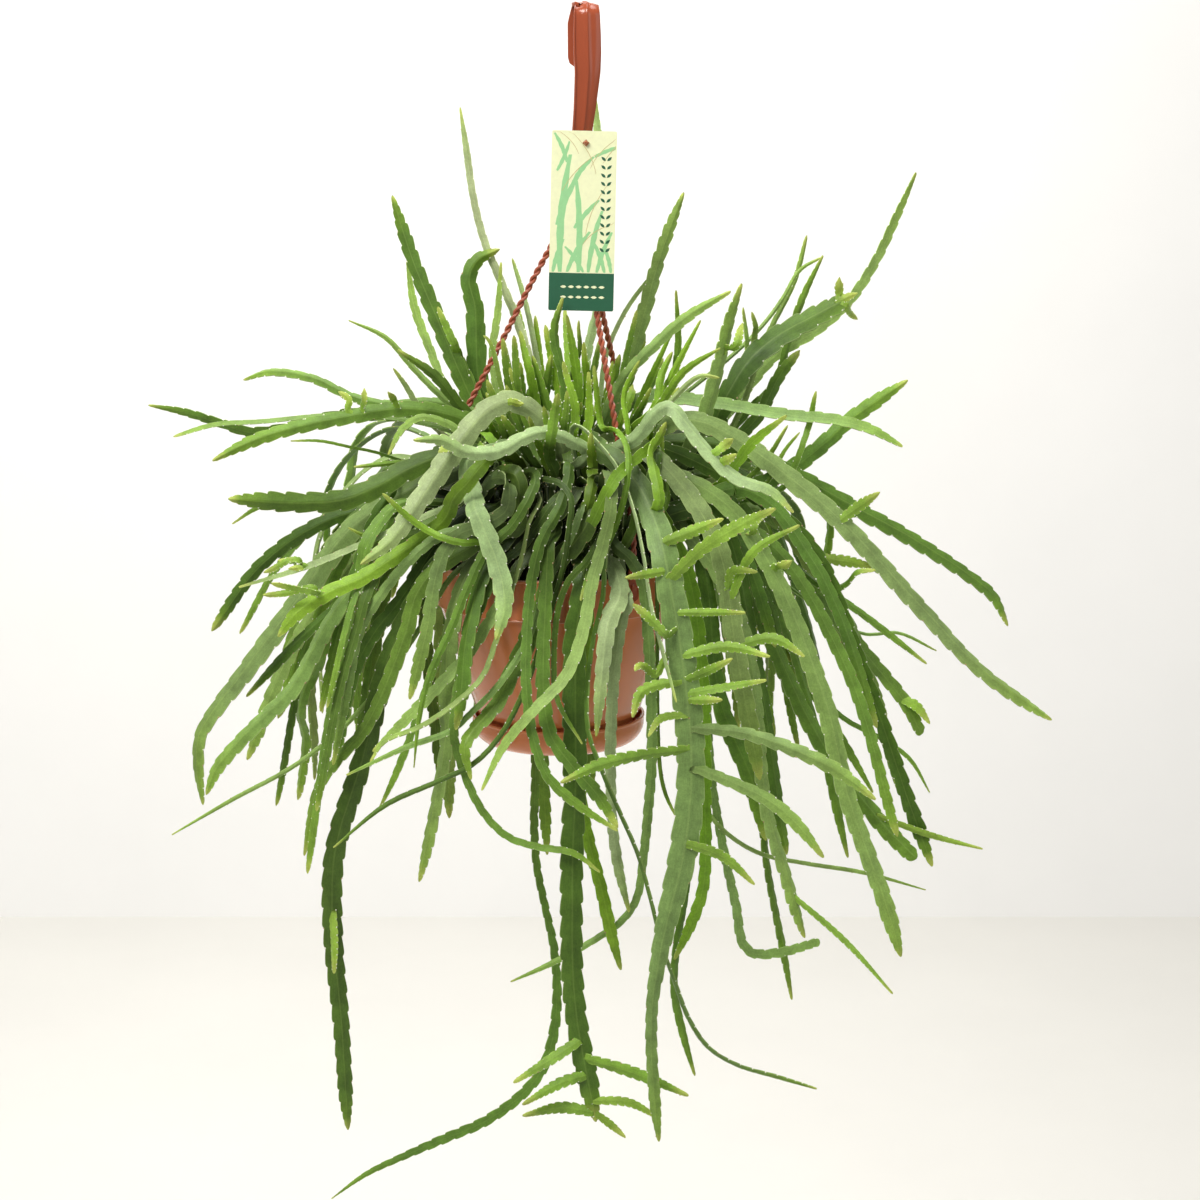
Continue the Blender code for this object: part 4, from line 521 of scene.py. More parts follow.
# Filling stems: their kind, number and tones by turns, then by kind the bearings that they take,
# and either reach and drop, or lean, height and how much lower they are in front
FILLER_SEED = 23
FILLERS = (
    ("arch", 34, "dmmdml"),
    ("side", 24, "dmdml"),
    ("upright", 26, "bmdbm"),
    ("heart", 16, "bmbdm"),
)
FILLER_BEARINGS = {
    "arch": (math.radians(-24), math.radians(204)),
    "side": (math.radians(-36), math.radians(32)),
    "upright": (math.radians(-180), math.radians(180)),
    "heart": (math.radians(-175), math.radians(-5)),
}
FILLER_REACH = {
    "arch": ((0.12, 0.19), (0.03, 0.13)),
    "side": ((0.16, 0.26), (0.05, 0.21)),
}
FILLER_LEANS = {
    "upright": ((0.2, 1.0), (0.07, 0.16), 0.35),
    "heart": ((-0.2, 0.55), (0.075, 0.165), 0.1),
}
FILLER_SWAY = 0.03
FILLER_RISE = (0.022, 0.060)
FILLER_WIDTH = (0.005, 0.0125)
LEANING_WIDTH = (0.0055, 0.0085)
FILLER_TONES = {"d": "dark", "m": "mid", "b": "bright", "l": "light"}

# Rings of root clumps in the soil: radius and number of clumps, from the wall inwards
RINGS = ((0.068, 22), (0.047, 16), (0.026, 9), (0.0079, 3))
CLUMP_SPACING = 0.0135


def unit(vectors):
    """The vectors at length one."""
    return vectors / np.maximum(np.linalg.norm(vectors, axis=-1, keepdims=True), 1e-12)


def heading(turn):
    """The level direction at this turn, anticlockwise from the right as seen from above."""
    return np.array((math.cos(turn), math.sin(turn), 0))


def ways(route):
    """The direction of the route at each of its points."""
    return unit(np.gradient(route, axis=0))


def squared(looks, along):
    """The part of each look that stands square to the way along, in its own length."""
    return looks - (looks * along).sum(axis=1, keepdims=True) * along


def at_places(values, places, along):
    """The rows of values read at these places along the strand."""
    return np.stack([np.interp(places, along, column) for column in values.T], axis=-1)


def from_photo(column, row, depth):
    """The point that the photograph's pixel shows at this depth, which may be an array."""
    right = (column - PHOTO_MIDDLE) * PIXEL
    up = (PHOTO_MIDDLE - row) * PIXEL
    sine, cosine = math.sin(EYE_TILT), math.cos(EYE_TILT)
    ray = np.stack(
        [right, EYE_DISTANCE * cosine + up * sine, up * cosine - EYE_DISTANCE * sine], axis=-1
    )
    reach = (depth - EYE[1]) / ray[..., 1]
    return EYE + ray * reach[..., None]


def smooth_route(points, step):
    """Points at about this spacing on a centripetal curve through the given ones."""
    points = np.asarray(points, float)
    padded = np.vstack([2 * points[0] - points[1], points, 2 * points[-1] - points[-2]])
    dense = []
    for p0, p1, p2, p3 in zip(padded, padded[1:], padded[2:], padded[3:]):
        t1 = np.linalg.norm((p1 - p0)[:3]) ** 0.5
        t2 = t1 + np.linalg.norm((p2 - p1)[:3]) ** 0.5
        t3 = t2 + np.linalg.norm((p3 - p2)[:3]) ** 0.5
        t = np.linspace(t1, t2, 24, endpoint=False)[:, None]
        a1 = p0 + (p1 - p0) * t / t1
        a2 = p1 + (p2 - p1) * (t - t1) / (t2 - t1)
        a3 = p2 + (p3 - p2) * (t - t2) / (t3 - t2)
        b1 = a1 + (a2 - a1) * t / t2
        b2 = a2 + (a3 - a2) * (t - t1) / (t3 - t1)
        dense.append(b1 + (b2 - b1) * (t - t1) / (t2 - t1))
    dense = np.vstack([*dense, points[-1:]])
    return spaced(dense, step)


def spaced(route, step):
    """The route read again at an even spacing close to the step."""
    along = lengths_along(route)
    count = max(3, round(along[-1] / step) + 1)
    return at_places(route, np.linspace(0, along[-1], count), along)


def lengths_along(route):
    """The length from the route's start to each of its points."""
    return np.concatenate([[0], np.cumsum(np.linalg.norm(np.diff(route[:, :3], axis=0), axis=1))])


def read_points(text):
    """The traced pixels as numbers."""
    return np.array([[float(value) for value in pair.split(",")] for pair in text.split()])


def traced_stem(widths, depths, text):
    """The traced stretch in the part's frame, and its widths in metres."""
    pixels = read_points(text)
    along = lengths_along(pixels)
    depth = np.interp(along / along[-1], np.linspace(0, 1, len(depths)), depths) / 1000
    points = from_photo(pixels[:, 0], pixels[:, 1], depth)
    nearness = 1 + depth.mean() / EYE_DISTANCE
    return points, np.array(widths) * PIXEL * nearness


def from_rim(outward, sway, rows):
    """Points this far outward and up from the rim's middle, each with its share of the sway."""
    return np.array(
        [RIM_MIDDLE + outward * out + UP * high + sway * share for out, high, share in rows]
    )


def back_stems(letter, number, seed):
    """Arching and hanging stems of the far half."""
    draw = np.random.default_rng(seed)
    low, high = BACK_BEARINGS
    stems = {}
    for index in range(number):
        outward = heading(low + (high - low) * (index + draw.uniform(0.1, 0.9)) / number)
        hang = BACK_HANGS[index % len(BACK_HANGS)] + draw.uniform(-0.1, 0.15)
        reach = draw.uniform(*BACK_REACH) + 0.10 * (1 - hang)
        rise = draw.uniform(*BACK_RISE) * (1.3 - hang)
        drop = draw.uniform(*BACK_DROP) * hang
        sway = np.cross(UP, outward) * draw.uniform(-BACK_SWAY, BACK_SWAY)
        rows = (
            (0.075, 0.02 + rise * 0.5, 0),
            (0.45 * reach + 0.05, rise, 0.3),
            (0.90 * reach + 0.02, rise * 0.6 - drop * 0.25, 0.7),
            (reach, rise * 0.3 - drop, 1),
        )
        width = draw.uniform(*BACK_WIDTH)
        widths = np.array((width, width, 0.7 * width))
        stems[f"{letter}{index + 1:02d}"] = (from_rim(outward, sway, rows), widths)
    return stems


def filler_stems():
    """The many stems behind and between the traced ones, drawn by a rule with a fixed seed."""
    draw = np.random.default_rng(FILLER_SEED)
    stems = {}
    for kind, number, tones in FILLERS:
        for index in range(number):
            turn = draw.uniform(*FILLER_BEARINGS[kind])
            if kind == "side" and index % 2:
                turn = math.pi - turn
            outward = heading(turn)
            sway = np.cross(UP, outward) * draw.uniform(-FILLER_SWAY, FILLER_SWAY)
            if kind in FILLER_LEANS:
                leans, heights, lower = FILLER_LEANS[kind]
                lean = draw.uniform(*leans)
                height = draw.uniform(*heights) * (1 - lower * max(0.0, -outward[1]))
                rows = (
                    (0.015 + 0.02 * lean, 0.03, 0),
                    (0.02 + 0.045 * lean, 0.03 + 0.5 * height, 0.3),
                    (0.02 + 0.085 * lean, 0.03 + height, 1),
                )
                width = draw.uniform(*LEANING_WIDTH)
            else:
                reaches, drops = FILLER_REACH[kind]
                reach = draw.uniform(*reaches)
                drop = draw.uniform(*drops)
                rise = draw.uniform(*FILLER_RISE)
                rows = (
                    (0.07, 0.012 + 0.6 * rise, 0),
                    (0.35 * reach + 0.060, rise, 0.3),
                    (0.78 * reach + 0.015, 0.6 * rise - 0.42 * drop, 0.7),
                    (reach, -drop, 1),
                )
                width = draw.uniform(*FILLER_WIDTH)
            name = f"f{tones[index % len(tones)]}{kind[0]}{index:02d}"
            widths = np.array((width, width, 0.75 * width))
            stems[name] = (from_rim(outward, sway, rows), widths)
    return stems


def ring_bearings(wanted, spacing):
    """The bearings nearest the wanted ones, in order, that keep this spacing round the ring."""
    bearings = np.sort(np.array(wanted, float))
    for _ in range(400):
        ahead = np.roll(bearings, -1)
        ahead[-1] += 2 * math.pi
        short = np.maximum(0, spacing - (ahead - bearings)) / 2
        bearings = bearings - short + np.roll(short, 1)
    return bearings


def level_way(points):
    """The level way from the pot's axis to where the stem leaves the pot."""
    way = (points - SOIL_MIDDLE)[:, :2]
    return way[: max(2, len(way) * 2 // 3)].mean(axis=0)


def rooted(stems):
    """Groups near neighbours into clumps. Low stems root by the wall, tall ones further in."""

    def steepness(name):
        first = stems[name][0][0] - SOIL_MIDDLE
        return math.atan2(first[2], math.hypot(first[0], first[1]))

    def bearing_of(name):
        way = level_way(stems[name][0])
        return math.atan2(way[1], way[0]) % (2 * math.pi)

    ordered = sorted(stems, key=steepness)
    clump_total = sum(number for _, number in RINGS)
    clumps = []
    taken = 0
    for radius, number in RINGS:
        quota = round(len(ordered) * number / clump_total)
        last = len(ordered) if radius == RINGS[-1][0] else taken + quota
        members = sorted(ordered[taken:last], key=bearing_of)
        taken += quota
        groups = [list(group) for group in np.array_split(members, number)]
        wanted = []
        for group in groups:
            turns = np.array([bearing_of(name) for name in group])
            wanted.append(math.atan2(np.sin(turns).mean(), np.cos(turns).mean()) % (2 * math.pi))
        places = ring_bearings(wanted, min(CLUMP_SPACING / radius, 2 * math.pi / number))
        for place, index in zip(places, np.argsort(wanted)):
            clumps.append((SOIL_MIDDLE + radius * heading(place), groups[index]))
    return clumps


def out_of_the_pot(root, points):
    """The whole route: up from the root, over the rim where the stem hangs low, then as traced."""
    first = points[0]
    if first[2] < LOW_START:
        outward = first - np.array((POT_X, 0, first[2]))
        crest = np.array((POT_X, 0, RIM_Z + CREST_RISE)) + unit(outward) * (RIM_RADIUS + CREST_OUT)
        points = np.vstack([crest, points])
        first = crest
    way = unit(points[1] - points[0])
    reach = np.linalg.norm(first - root)
    up = np.array((0, 0, RISE_SHARE * reach + LEAST_RISE))
    back = way * RISE_SHARE * reach
    start = root + np.array((0, 0, 0.001))
    t = np.linspace(0, 1, 20)[:, None]
    rise = (1 - t) ** 3 * start + 3 * (1 - t) ** 2 * t * (start + up)
    rise = rise + 3 * (1 - t) * t**2 * (first - back) + t**3 * first
    return spaced(np.vstack([rise[:-1], smooth_route(points, ROUTE_STEP)]), ROUTE_STEP)


def broad_side(route, name, index):
    """The direction that a strap's broad face looks, at each point of its route."""
    along = ways(route)
    outward = unit((route - RIM_MIDDLE) * (1, 1, 0))
    if name[0] in (BACK_LETTER, EXTRA_BACK_LETTER):
        facing = BACK_FACING * outward + UP
    else:
        facing = TOWARDS_EYE + OUTWARD_FACING * outward + UPWARD_FACING * UP
    looks = squared(facing, along)
    for place in range(1, len(looks)):
        if looks[place] @ looks[place - 1] < 0:
            looks[place] = -looks[place]
    for _ in range(LOOK_SMOOTHING):
        looks[1:-1] = (looks[:-2] + looks[1:-1] * 2 + looks[2:]) / 4
    looks = unit(squared(looks, along))
    base_turn = TURN_SPREAD * math.sin(NEXT_TURN * index)
    if name in EDGE_ON_STEMS:
        base_turn = EDGE_ON_TURN
    turn = base_turn + TURN_WAVE * np.sin(np.linspace(0, TURN_WAVES, len(route)) + index)
    across = np.cross(along, looks)
    return looks * np.cos(turn)[:, None] + across * np.sin(turn)[:, None]


def half_widths(route, traced_length, widths, blunt, stalk=True):
    """Half the strap's width at each point: a narrow stalk, the traced widths, then the tip."""
    along = lengths_along(route)
    total = along[-1]
    start = max(0.0, total - traced_length)
    places = np.linspace(start, total, len(widths))
    half = np.interp(along, places, widths) / 2
    if stalk:
        wide = np.clip((along - STALK_START * STALK_LENGTH) / STALK_LENGTH, 0, 1)
        narrow = np.minimum(STALK_WIDTH / 2, half)
        half = narrow + (half - narrow) * wide * wide * (3 - 2 * wide)
    tip = np.clip((total - along) / min(TIP_LENGTH, total / 3), 0, 1)
    least = BLUNT_TIP if blunt else POINTED_TIP
    return half * (least + (1 - least) * np.sqrt(tip))


def near_pairs(points, reach):
    """Index pairs of the points within reach of each other along each axis, by a sorted grid."""
    cell = np.floor((points - points.min(axis=0)) / reach).astype(np.int64) + 1
    rows = int(cell.max()) + 3
    key = (cell[:, 0] * rows + cell[:, 1]) * rows + cell[:, 2]
    order = np.argsort(key, kind="stable")
    key = key[order]
    place = np.arange(len(key))
    firsts, seconds = [], []
    for shift in (0, rows, rows * rows - rows, rows * rows, rows * rows + rows):
        low = place + 1 if shift == 0 else np.searchsorted(key, key + shift - 1, "left")
        high = np.searchsorted(key, key + shift + 1, "right")
        count = np.maximum(high - low, 0)
        before = np.repeat(np.cumsum(count) - count, count)
        firsts.append(np.repeat(place, count))
        seconds.append(np.arange(count.sum()) - before + np.repeat(low, count))
    return order[np.concatenate(firsts)], order[np.concatenate(seconds)]


def keep_off_pot(points, outside):
    """How far each point must move to stay off the pot and saucer."""
    flat = points[:, :2] - (POT_X, 0)
    radius = np.linalg.norm(flat, axis=1)
    outward = np.column_stack([flat / np.maximum(radius, 1e-9)[:, None], np.zeros(len(flat))])
    drop = RIM_Z - points[:, 2]
    top, low = POT_OUTLINE[0, 0], POT_OUTLINE[0, -1]
    beside = (drop > top) & (drop < low)
    push = np.zeros_like(points)
    short = np.interp(drop, *POT_OUTLINE) + POT_CLEARANCE - radius
    over_mouth = outside & beside & (short > MOUTH_OVERLAP) & (drop < MOUTH_DEPTH)
    push[over_mouth, 2] = drop[over_mouth] + MOUTH_LIFT
    aside = outside & beside & (short > 0) & ~over_mouth
    push[aside] = outward[aside] * short[aside, None]
    far_in = ~outside & (drop > top) & (radius > RIM_RADIUS - MOUTH_MARGIN)
    push[far_in] = -outward[far_in] * (radius[far_in, None] - RIM_RADIUS + MOUTH_MARGIN)
    return push


class Bending:
    """Strands as chains of stations, bent smoothly and a little until no two clumps touch.

    Balls along and across each strand stand for it, and the obstacles are fixed balls. Each pair of
    strands keeps a memory of which one passes in front.
    """

    def __init__(self, strands, obstacles, clearance):
        self.strands = strands
        self.obstacles = obstacles
        self.clearance = clearance
        counts = [len(strand["route"]) for strand in strands]
        self.starts = np.concatenate([[0], np.cumsum(counts)])
        self.points = np.vstack([strand["route"] for strand in strands])
        self.rest = self.points
        self.looks = np.vstack([strand["looks"] for strand in strands])
        self.half = np.concatenate([strand["half"] for strand in strands])
        self.owner = np.repeat(np.arange(len(strands)), counts)
        places = np.arange(len(self.points))
        self.ahead = np.minimum(places + 1, self.starts[self.owner + 1] - 1)
        self.behind = np.maximum(places - 1, self.starts[self.owner])
        self.along = np.concatenate([lengths_along(strand["route"]) for strand in strands])
        self.free = np.clip((self.along - HELD_LENGTH) / FREEING_LENGTH, 0, 1)[:, None]
        parents = [-1 if strand["parent"] is None else strand["parent"] for strand in strands]
        self.kin = np.array([*parents, -1])
        self.memory = np.zeros((len(strands) + 1) ** 2)
        self.lay_balls()
        self.ties = [self.tie(number) for number, parent in enumerate(parents) if parent >= 0]

    def lay_balls(self):
        """The balls: the stations each lies between, its share of the way, and its place across."""
        runs = np.linalg.norm(self.points[self.ahead] - self.points, axis=1)
        count = np.maximum(1, np.round(runs / BALL_SPACING)).astype(int)
        low = np.repeat(np.arange(len(self.points)), count)
        first = np.repeat(np.cumsum(count) - count, count)
        way = (np.arange(count.sum()) - first) / np.repeat(count, count)
        half = self.between(self.half, low, way)
        rows = [
            (low[half > least], way[half > least], share)
            for least, shares in BALL_ROWS
            for share in shares
        ]
        self.low = np.concatenate([row[0] for row in rows])
        self.way = np.concatenate([row[1] for row in rows])
        self.across = np.concatenate([np.full(len(row[0]), row[2]) for row in rows])
        self.central = len(low)
        owner = self.owner[self.low]
        along = self.between(self.along, self.low, self.way)
        fixed = len(self.obstacles)
        clump = np.array([strand["clump"] for strand in self.strands])
        crest = np.array([strand["crest"] for strand in self.strands])
        self.outside = (along > crest[owner])[: self.central]
        self.ball_owner = np.concatenate([owner, np.full(fixed, len(self.strands))])
        self.ball_clump = np.concatenate([clump[owner], np.full(fixed, -1)])
        self.rooted = np.concatenate([along < ROOTED_LENGTH, np.full(fixed, False)])

    def between(self, values, low, way):
        """Station values read at this share of the way to the next station."""
        way = way.reshape(-1, *[1] * (values.ndim - 1))
        return values[low] * (1 - way) + values[self.ahead[low]] * way

    def tie(self, number):
        """Where a side shoot begins and ends, the place on its stem and the step from there."""
        begin, end = self.starts[number : number + 2]
        own = np.nonzero(self.ball_owner[: self.central] == self.kin[number])[0]
        middles = self.between(self.points, self.low[own], self.way[own])
        nearest = np.linalg.norm(middles - self.points[begin], axis=1).argmin()
        return begin, end, own[nearest : nearest + 1], self.points[begin] - middles[nearest]

    def faces(self):
        """The direction that each station's broad face looks now, and its direction across."""
        tangent = unit(self.points[self.ahead] - self.points[self.behind])
        face = unit(squared(self.looks, tangent))
        return face, np.cross(tangent, face)

    def near_balls(self, balls):
        """Pairs of balls that may touch, the lower strand first, without kin."""
        first, second = near_pairs(balls, self.clearance + PAIR_MARGIN)
        one, two = self.ball_owner[first], self.ball_owner[second]
        related = (one == two) | (self.kin[one] == two) | (self.kin[two] == one)
        same_clump = self.ball_clump[first] == self.ball_clump[second]
        related |= same_clump & (self.rooted[first] | self.rooted[second])
        first, second = first[~related], second[~related]
        swap = self.ball_owner[first] > self.ball_owner[second]
        return np.where(swap, second, first), np.where(swap, first, second)

    def way_apart(self, a, b, apart, face):
        """The direction in which each first ball leaves its second: mostly across the faces."""
        faces = unit(self.between(face, self.low, self.way))
        faces = np.vstack([faces, np.zeros((len(self.obstacles), 3))])
        one, two = faces[a], faces[b]
        alike = np.sign((one * two).sum(axis=1, keepdims=True))
        middle = unit(one + alike * two)
        level = (apart * middle).sum(axis=1)
        pair = self.ball_owner[a] * (len(self.strands) + 1) + self.ball_owner[b]
        size = len(self.memory)
        met = np.maximum(np.bincount(pair, minlength=size), 1)
        self.memory = MEMORY_KEPT * self.memory + np.bincount(pair, level, size) / met
        order = np.where(self.memory[pair] < 0, -1.0, 1.0)
        return unit(middle * order[:, None] * FACE_SHARE + unit(apart))

    def shared(self, ball, move):
        """The balls' moves, shared between the stations on both sides as a mean for each."""
        low, way = self.low[ball], self.way[ball]
        ends = np.concatenate([low, self.ahead[low]])
        weight = np.concatenate([1 - way, way])
        size = len(self.points)
        moves = np.vstack([move, move]) * weight[:, None]
        total = np.stack([np.bincount(ends, column, size) for column in moves.T], axis=-1)
        return total / np.maximum(np.bincount(ends, weight, size), LEAST_WEIGHT)[:, None]

    def pushed_apart(self, balls, pairs, face):
        """The mean move of each station away from what it touches, and the touches left."""
        first, second = pairs
        apart = balls[first] - balls[second]
        distance = np.linalg.norm(apart, axis=1)
        close = distance < self.clearance
        if not close.any():
            return np.zeros_like(self.points), 0
        a, b, apart, distance = first[close], second[close], apart[close], distance[close]
        move = self.way_apart(a, b, apart, face) * (self.clearance - distance)[:, None]
        fixed = self.ball_clump[b] < 0
        move *= np.where(fixed, 1.0, 0.5)[:, None]
        push = self.shared(np.concatenate([a, b[~fixed]]), np.vstack([move, -move[~fixed]]))
        return push, int((distance < self.clearance - TOUCH_ALLOWANCE).sum())

    def off_the_pot(self, balls):
        """The mean move of each station off the pot and saucer."""
        move = keep_off_pot(balls[: self.central], self.outside)
        moved = np.nonzero(np.abs(move).sum(axis=1))[0]
        return self.shared(moved, move[moved])

    def move(self, push, passes):
        """Smooths the moves along the strands and makes them, with the side shoots tied on."""
        for _ in range(passes):
            push = 0.5 * push + 0.25 * (push[self.ahead] + push[self.behind])
        push = push * (SMOOTHED_GAIN if passes else PLAIN_GAIN) * self.free
        size = np.linalg.norm(push, axis=1, keepdims=True)
        push = push * np.minimum(1, LONGEST_MOVE / np.maximum(size, 1e-9))
        shift = self.points + push - self.rest
        even = (shift[self.ahead] + shift[self.behind]) / 2
        stiffness = 0 if passes > 1 else STIFFNESS
        self.points = self.rest + shift + stiffness * self.free * (even - shift)
        for begin, end, ball, step in self.ties:
            seat = self.between(self.points, self.low[ball], self.way[ball])[0]
            self.points[begin:end] += seat + step - self.points[begin]

    def run(self, rounds, smoothing):
        """Rounds of pushing apart until nothing touches, or for the most rounds allowed."""
        for turn in range(rounds):
            face, side = self.faces()
            balls = self.between(self.points, self.low, self.way)
            wide = self.between(side * self.half[:, None], self.low, self.way)
            balls += wide * self.across[:, None]
            balls = np.vstack([balls, self.obstacles])
            if turn % PAIRS_EVERY == 0:
                pairs = self.near_balls(balls)
            push, touches = self.pushed_apart(balls, pairs, face)
            self.move(push + POT_SHARE * self.off_the_pot(balls), smoothing[turn % 2])
            if turn % TOUCHES_EVERY == TOUCHES_EVERY - 1 and not touches:
                break
        face, _ = self.faces()
        for number, strand in enumerate(self.strands):
            begin, end = self.starts[number : number + 2]
            strand["route"], strand["looks"] = self.points[begin:end], face[begin:end]


def straightened(strand):
    """Keeps of the strand only the stations that its strap is built on, closer where it bends."""
    route, along = strand["route"], lengths_along(strand["route"])
    step = next(step for least, step in STRAP_STEPS if strand["half"].max() > least)
    bend = np.linalg.norm(np.gradient(ways(route), axis=0), axis=1) / np.gradient(along)
    density = np.clip(np.sqrt(bend / (8 * CHORD_SAG)), 1 / step, 1 / SHORTEST_STEP)
    total = np.concatenate([[0], np.cumsum((density[1:] + density[:-1]) / 2 * np.diff(along))])
    count = max(3, round(total[-1]) + 1)
    places = np.interp(np.linspace(0, total[-1], count), total, along)
    middle = at_places(route, places, along)
    middle[1:-1] -= (middle[:-2] - 2 * middle[1:-1] + middle[2:]) / 16
    strand["route"] = middle
    strand["looks"] = at_places(strand["looks"], places, along)
    strand["half"] = np.interp(places, along, strand["half"])


def seat_on_stem(shoot, stem):
    """Moves a side shoot's first stations so that it starts inside its stem's blade."""
    middle = stem["route"]
    begin, step = middle[:-1], np.diff(middle, axis=0)
    share = ((shoot["route"][0] - begin) * step).sum(axis=1) / (step**2).sum(axis=1)
    gaps = begin + step * np.clip(share, 0, 1)[:, None] - shoot["route"][0]
    gap = gaps[np.linalg.norm(gaps, axis=1).argmin()]
    shoot["route"][0] += gap


def stem_strand(name, number, foot, points, widths, order):
    """One stem of this clump as a strand: its route, the way it looks and its half widths."""
    route = out_of_the_pot(foot, points)
    traced = lengths_along(smooth_route(points, ROUTE_STEP))[-1]
    high = np.nonzero(route[:, 2] > CLEAR_OF_RIM)[0]
    return {
        "name": name,
        "clump": number,
        "parent": None,
        "route": route,
        "looks": broad_side(route, name, order),
        "half": half_widths(route, traced, widths, name in BLUNT_STEMS),
        "crest": lengths_along(route)[high[0]] if len(high) else FIRST_CREST,
    }


def strands_of(stems, clumps):
    """Every stem and side shoot as a strand, ready to be bent clear."""
    strands = []
    places = {}
    for number, (root, names) in enumerate(clumps):
        for order, name in enumerate(names):
            points, widths = stems[name]
            foot = root + FOOT_SPREAD * heading(2 * math.pi * order / len(names))
            places[name] = len(strands)
            strands.append(stem_strand(name, number, foot, points, widths, len(strands)))
    for number, (parent, *traced) in enumerate(SHOOTS):
        place = places[parent]
        strands.append(shoot_strand(number, strands[place], place, *traced))
    return strands


def shoot_strand(number, stem, parent, width, lean, text):
    """A side shoot that starts in its stem's blade and leans back by this many millimetres."""
    pixels = read_points(text)
    seen = from_photo(pixels[:1, 0], pixels[:1, 1], 0.0)[0]
    ray = unit(seen - EYE)
    offsets = stem["route"] - EYE
    aside = np.linalg.norm(offsets - (offsets @ ray)[:, None] * ray, axis=1)
    near = stem["route"][aside.argmin()]
    depth = near[1] + np.linspace(0, lean / 1000, len(pixels))
    points = from_photo(pixels[:, 0], pixels[:, 1], depth)
    inset = near - points[0]
    kept = SHOOT_SEAT * stem["half"].max() / max(np.linalg.norm(inset), 1e-9)
    points[0] = points[0] + inset * max(0, 1 - kept)
    route = spaced(smooth_route(points, 0.003), ROUTE_STEP)
    width = width * PIXEL * (1 + depth[0] / EYE_DISTANCE)
    widths = np.array((width * 0.8, width, width))
    return {
        "name": f"shoot_{number}",
        "clump": stem["clump"],
        "parent": parent,
        "route": route,
        "looks": broad_side(route, "shoot", number + 3),
        "half": half_widths(route, 1.0, widths, False, stalk=False),
        "crest": -1.0,
    }


def turned_to(x_axis, y_axis):
    """The rotation that has these as its X and Y axes."""
    return Matrix((x_axis, y_axis, x_axis.cross(y_axis))).transposed().to_4x4()


def beside_pot(bearing):
    """The frame at the rim's middle for this bearing, with its X aside, Y up and Z outward."""
    aside = Vector((math.cos(bearing), math.sin(bearing), 0))
    return Matrix.Translation((POT_X, 0, RIM_Z)) @ turned_to(aside, Vector((0, 0, 1)))


def moved(points, place):
    """The points moved into this frame."""
    place = np.array(place)
    return np.array(points) @ place[:3, :3].T + place[:3, 3]


def foot_bearings():
    """The bearings of the hanger's three feet, from the front towards the right."""
    return [FIRST_FOOT_BEARING + 2 * math.pi * foot / 3 for foot in range(3)]


def leg_routes():
    """The three legs from the hub to their feet, as traced in the photograph."""
    hub = np.array((HUB_X, 0, HUB_Z - LEG_DROP))
    routes = []
    for bearing, points in zip(foot_bearings(), LEG_TRACES):
        foot = Vector((0, FOOT_RISE - 0.002, foot_face() + FOOT_THICKNESS / 2))
        foot = np.array(beside_pot(bearing) @ foot)
        seen = [from_photo(np.float64(x), np.float64(y), depth) for x, y, depth in points]
        above = foot + np.array((0, 0, LEG_ABOVE_FOOT))
        routes.append(smooth_route([hub, *seen, above, foot], LEG_STEP))
    return routes


def foot_face():
    """The radius of a foot's inner face, clear of the collar's flat facet."""
    return RIM_RADIUS * math.cos(math.pi / TURNED_SIDES) + GAP


def label_place():
    """The label's frame: its hole at the origin, X across it, Y up it and Z out of its face."""
    hole = from_photo(*np.array(LABEL_HOLE_PIXEL, float), LABEL_DEPTH)
    up = Vector((0, math.sin(LABEL_LEAN), math.cos(LABEL_LEAN)))
    turn = turned_to(Vector((1, 0, 0)), up)
    return Matrix.Translation(hole) @ turn @ Matrix.Rotation(-LABEL_SWING, 4, "Z")


def held_places():
    """Points over the hanger and label that the stems stay clear of."""
    places = []
    for route in leg_routes():
        fine = spaced(route, HELD_SPACING)
        way = ways(fine)
        aside = unit(np.cross(way, (0, 1.0, 0)))
        for step in (0 * aside, aside, -aside, np.cross(way, aside)):
            places.append(fine + step * HELD_LEG_RADIUS)
    card = [
        (x, y, 0.0)
        for x in np.linspace(-0.5, 0.5, 12) * LABEL_WIDTH
        for y in np.linspace(LABEL_TOP_MARGIN, LABEL_TOP_MARGIN - LABEL_HEIGHT, 32)
    ]
    places.append(moved(card, label_place()))
    foot = [
        (x, y, foot_face() + FOOT_THICKNESS)
        for x in (-0.0045, -0.0015, 0.0015, 0.0045)
        for y in np.arange(-FOOT_LENGTH - 0.001, FOOT_RISE + 0.002, HELD_SPACING)
    ]
    near = (-HELD_SPACING, 0, HELD_SPACING)
    head = [(x, y - BUTTON_DROP, HELD_BUTTON_RADIUS) for x in near for y in near]
    places += [moved(foot + head, beside_pot(bearing)) for bearing in foot_bearings()]
    band = [
        (HUB_X / 2 + x, y, z)
        for x in (-0.008, -0.003, 0.003, 0.008)
        for y in (-0.006, 0.0, 0.006)
        for z in np.arange(HUB_Z - 0.012, 0.0, 0.004)
    ]
    return np.vstack([*places, band])


def nearest_clump(points, clumps):
    """The clump that a further stem roots in: the nearest in bearing to where it leaves the pot."""
    way = level_way(points)
    first = points[0] - SOIL_MIDDLE
    rise = math.atan2(first[2], np.linalg.norm(first[:2]))
    wanted = np.interp(rise, (0.2, 1.3), (RINGS[0][0], RINGS[-1][0]))
    costs = []
    for root, _ in clumps:
        off = (root - SOIL_MIDDLE)[:2]
        radius = np.linalg.norm(off)
        turn = math.atan2(way[1], way[0]) - math.atan2(off[1], off[0])
        turn = abs((turn + math.pi) % (2 * math.pi) - math.pi)
        costs.append(turn * radius + 1.5 * abs(radius - wanted))
    return int(np.argmin(costs))


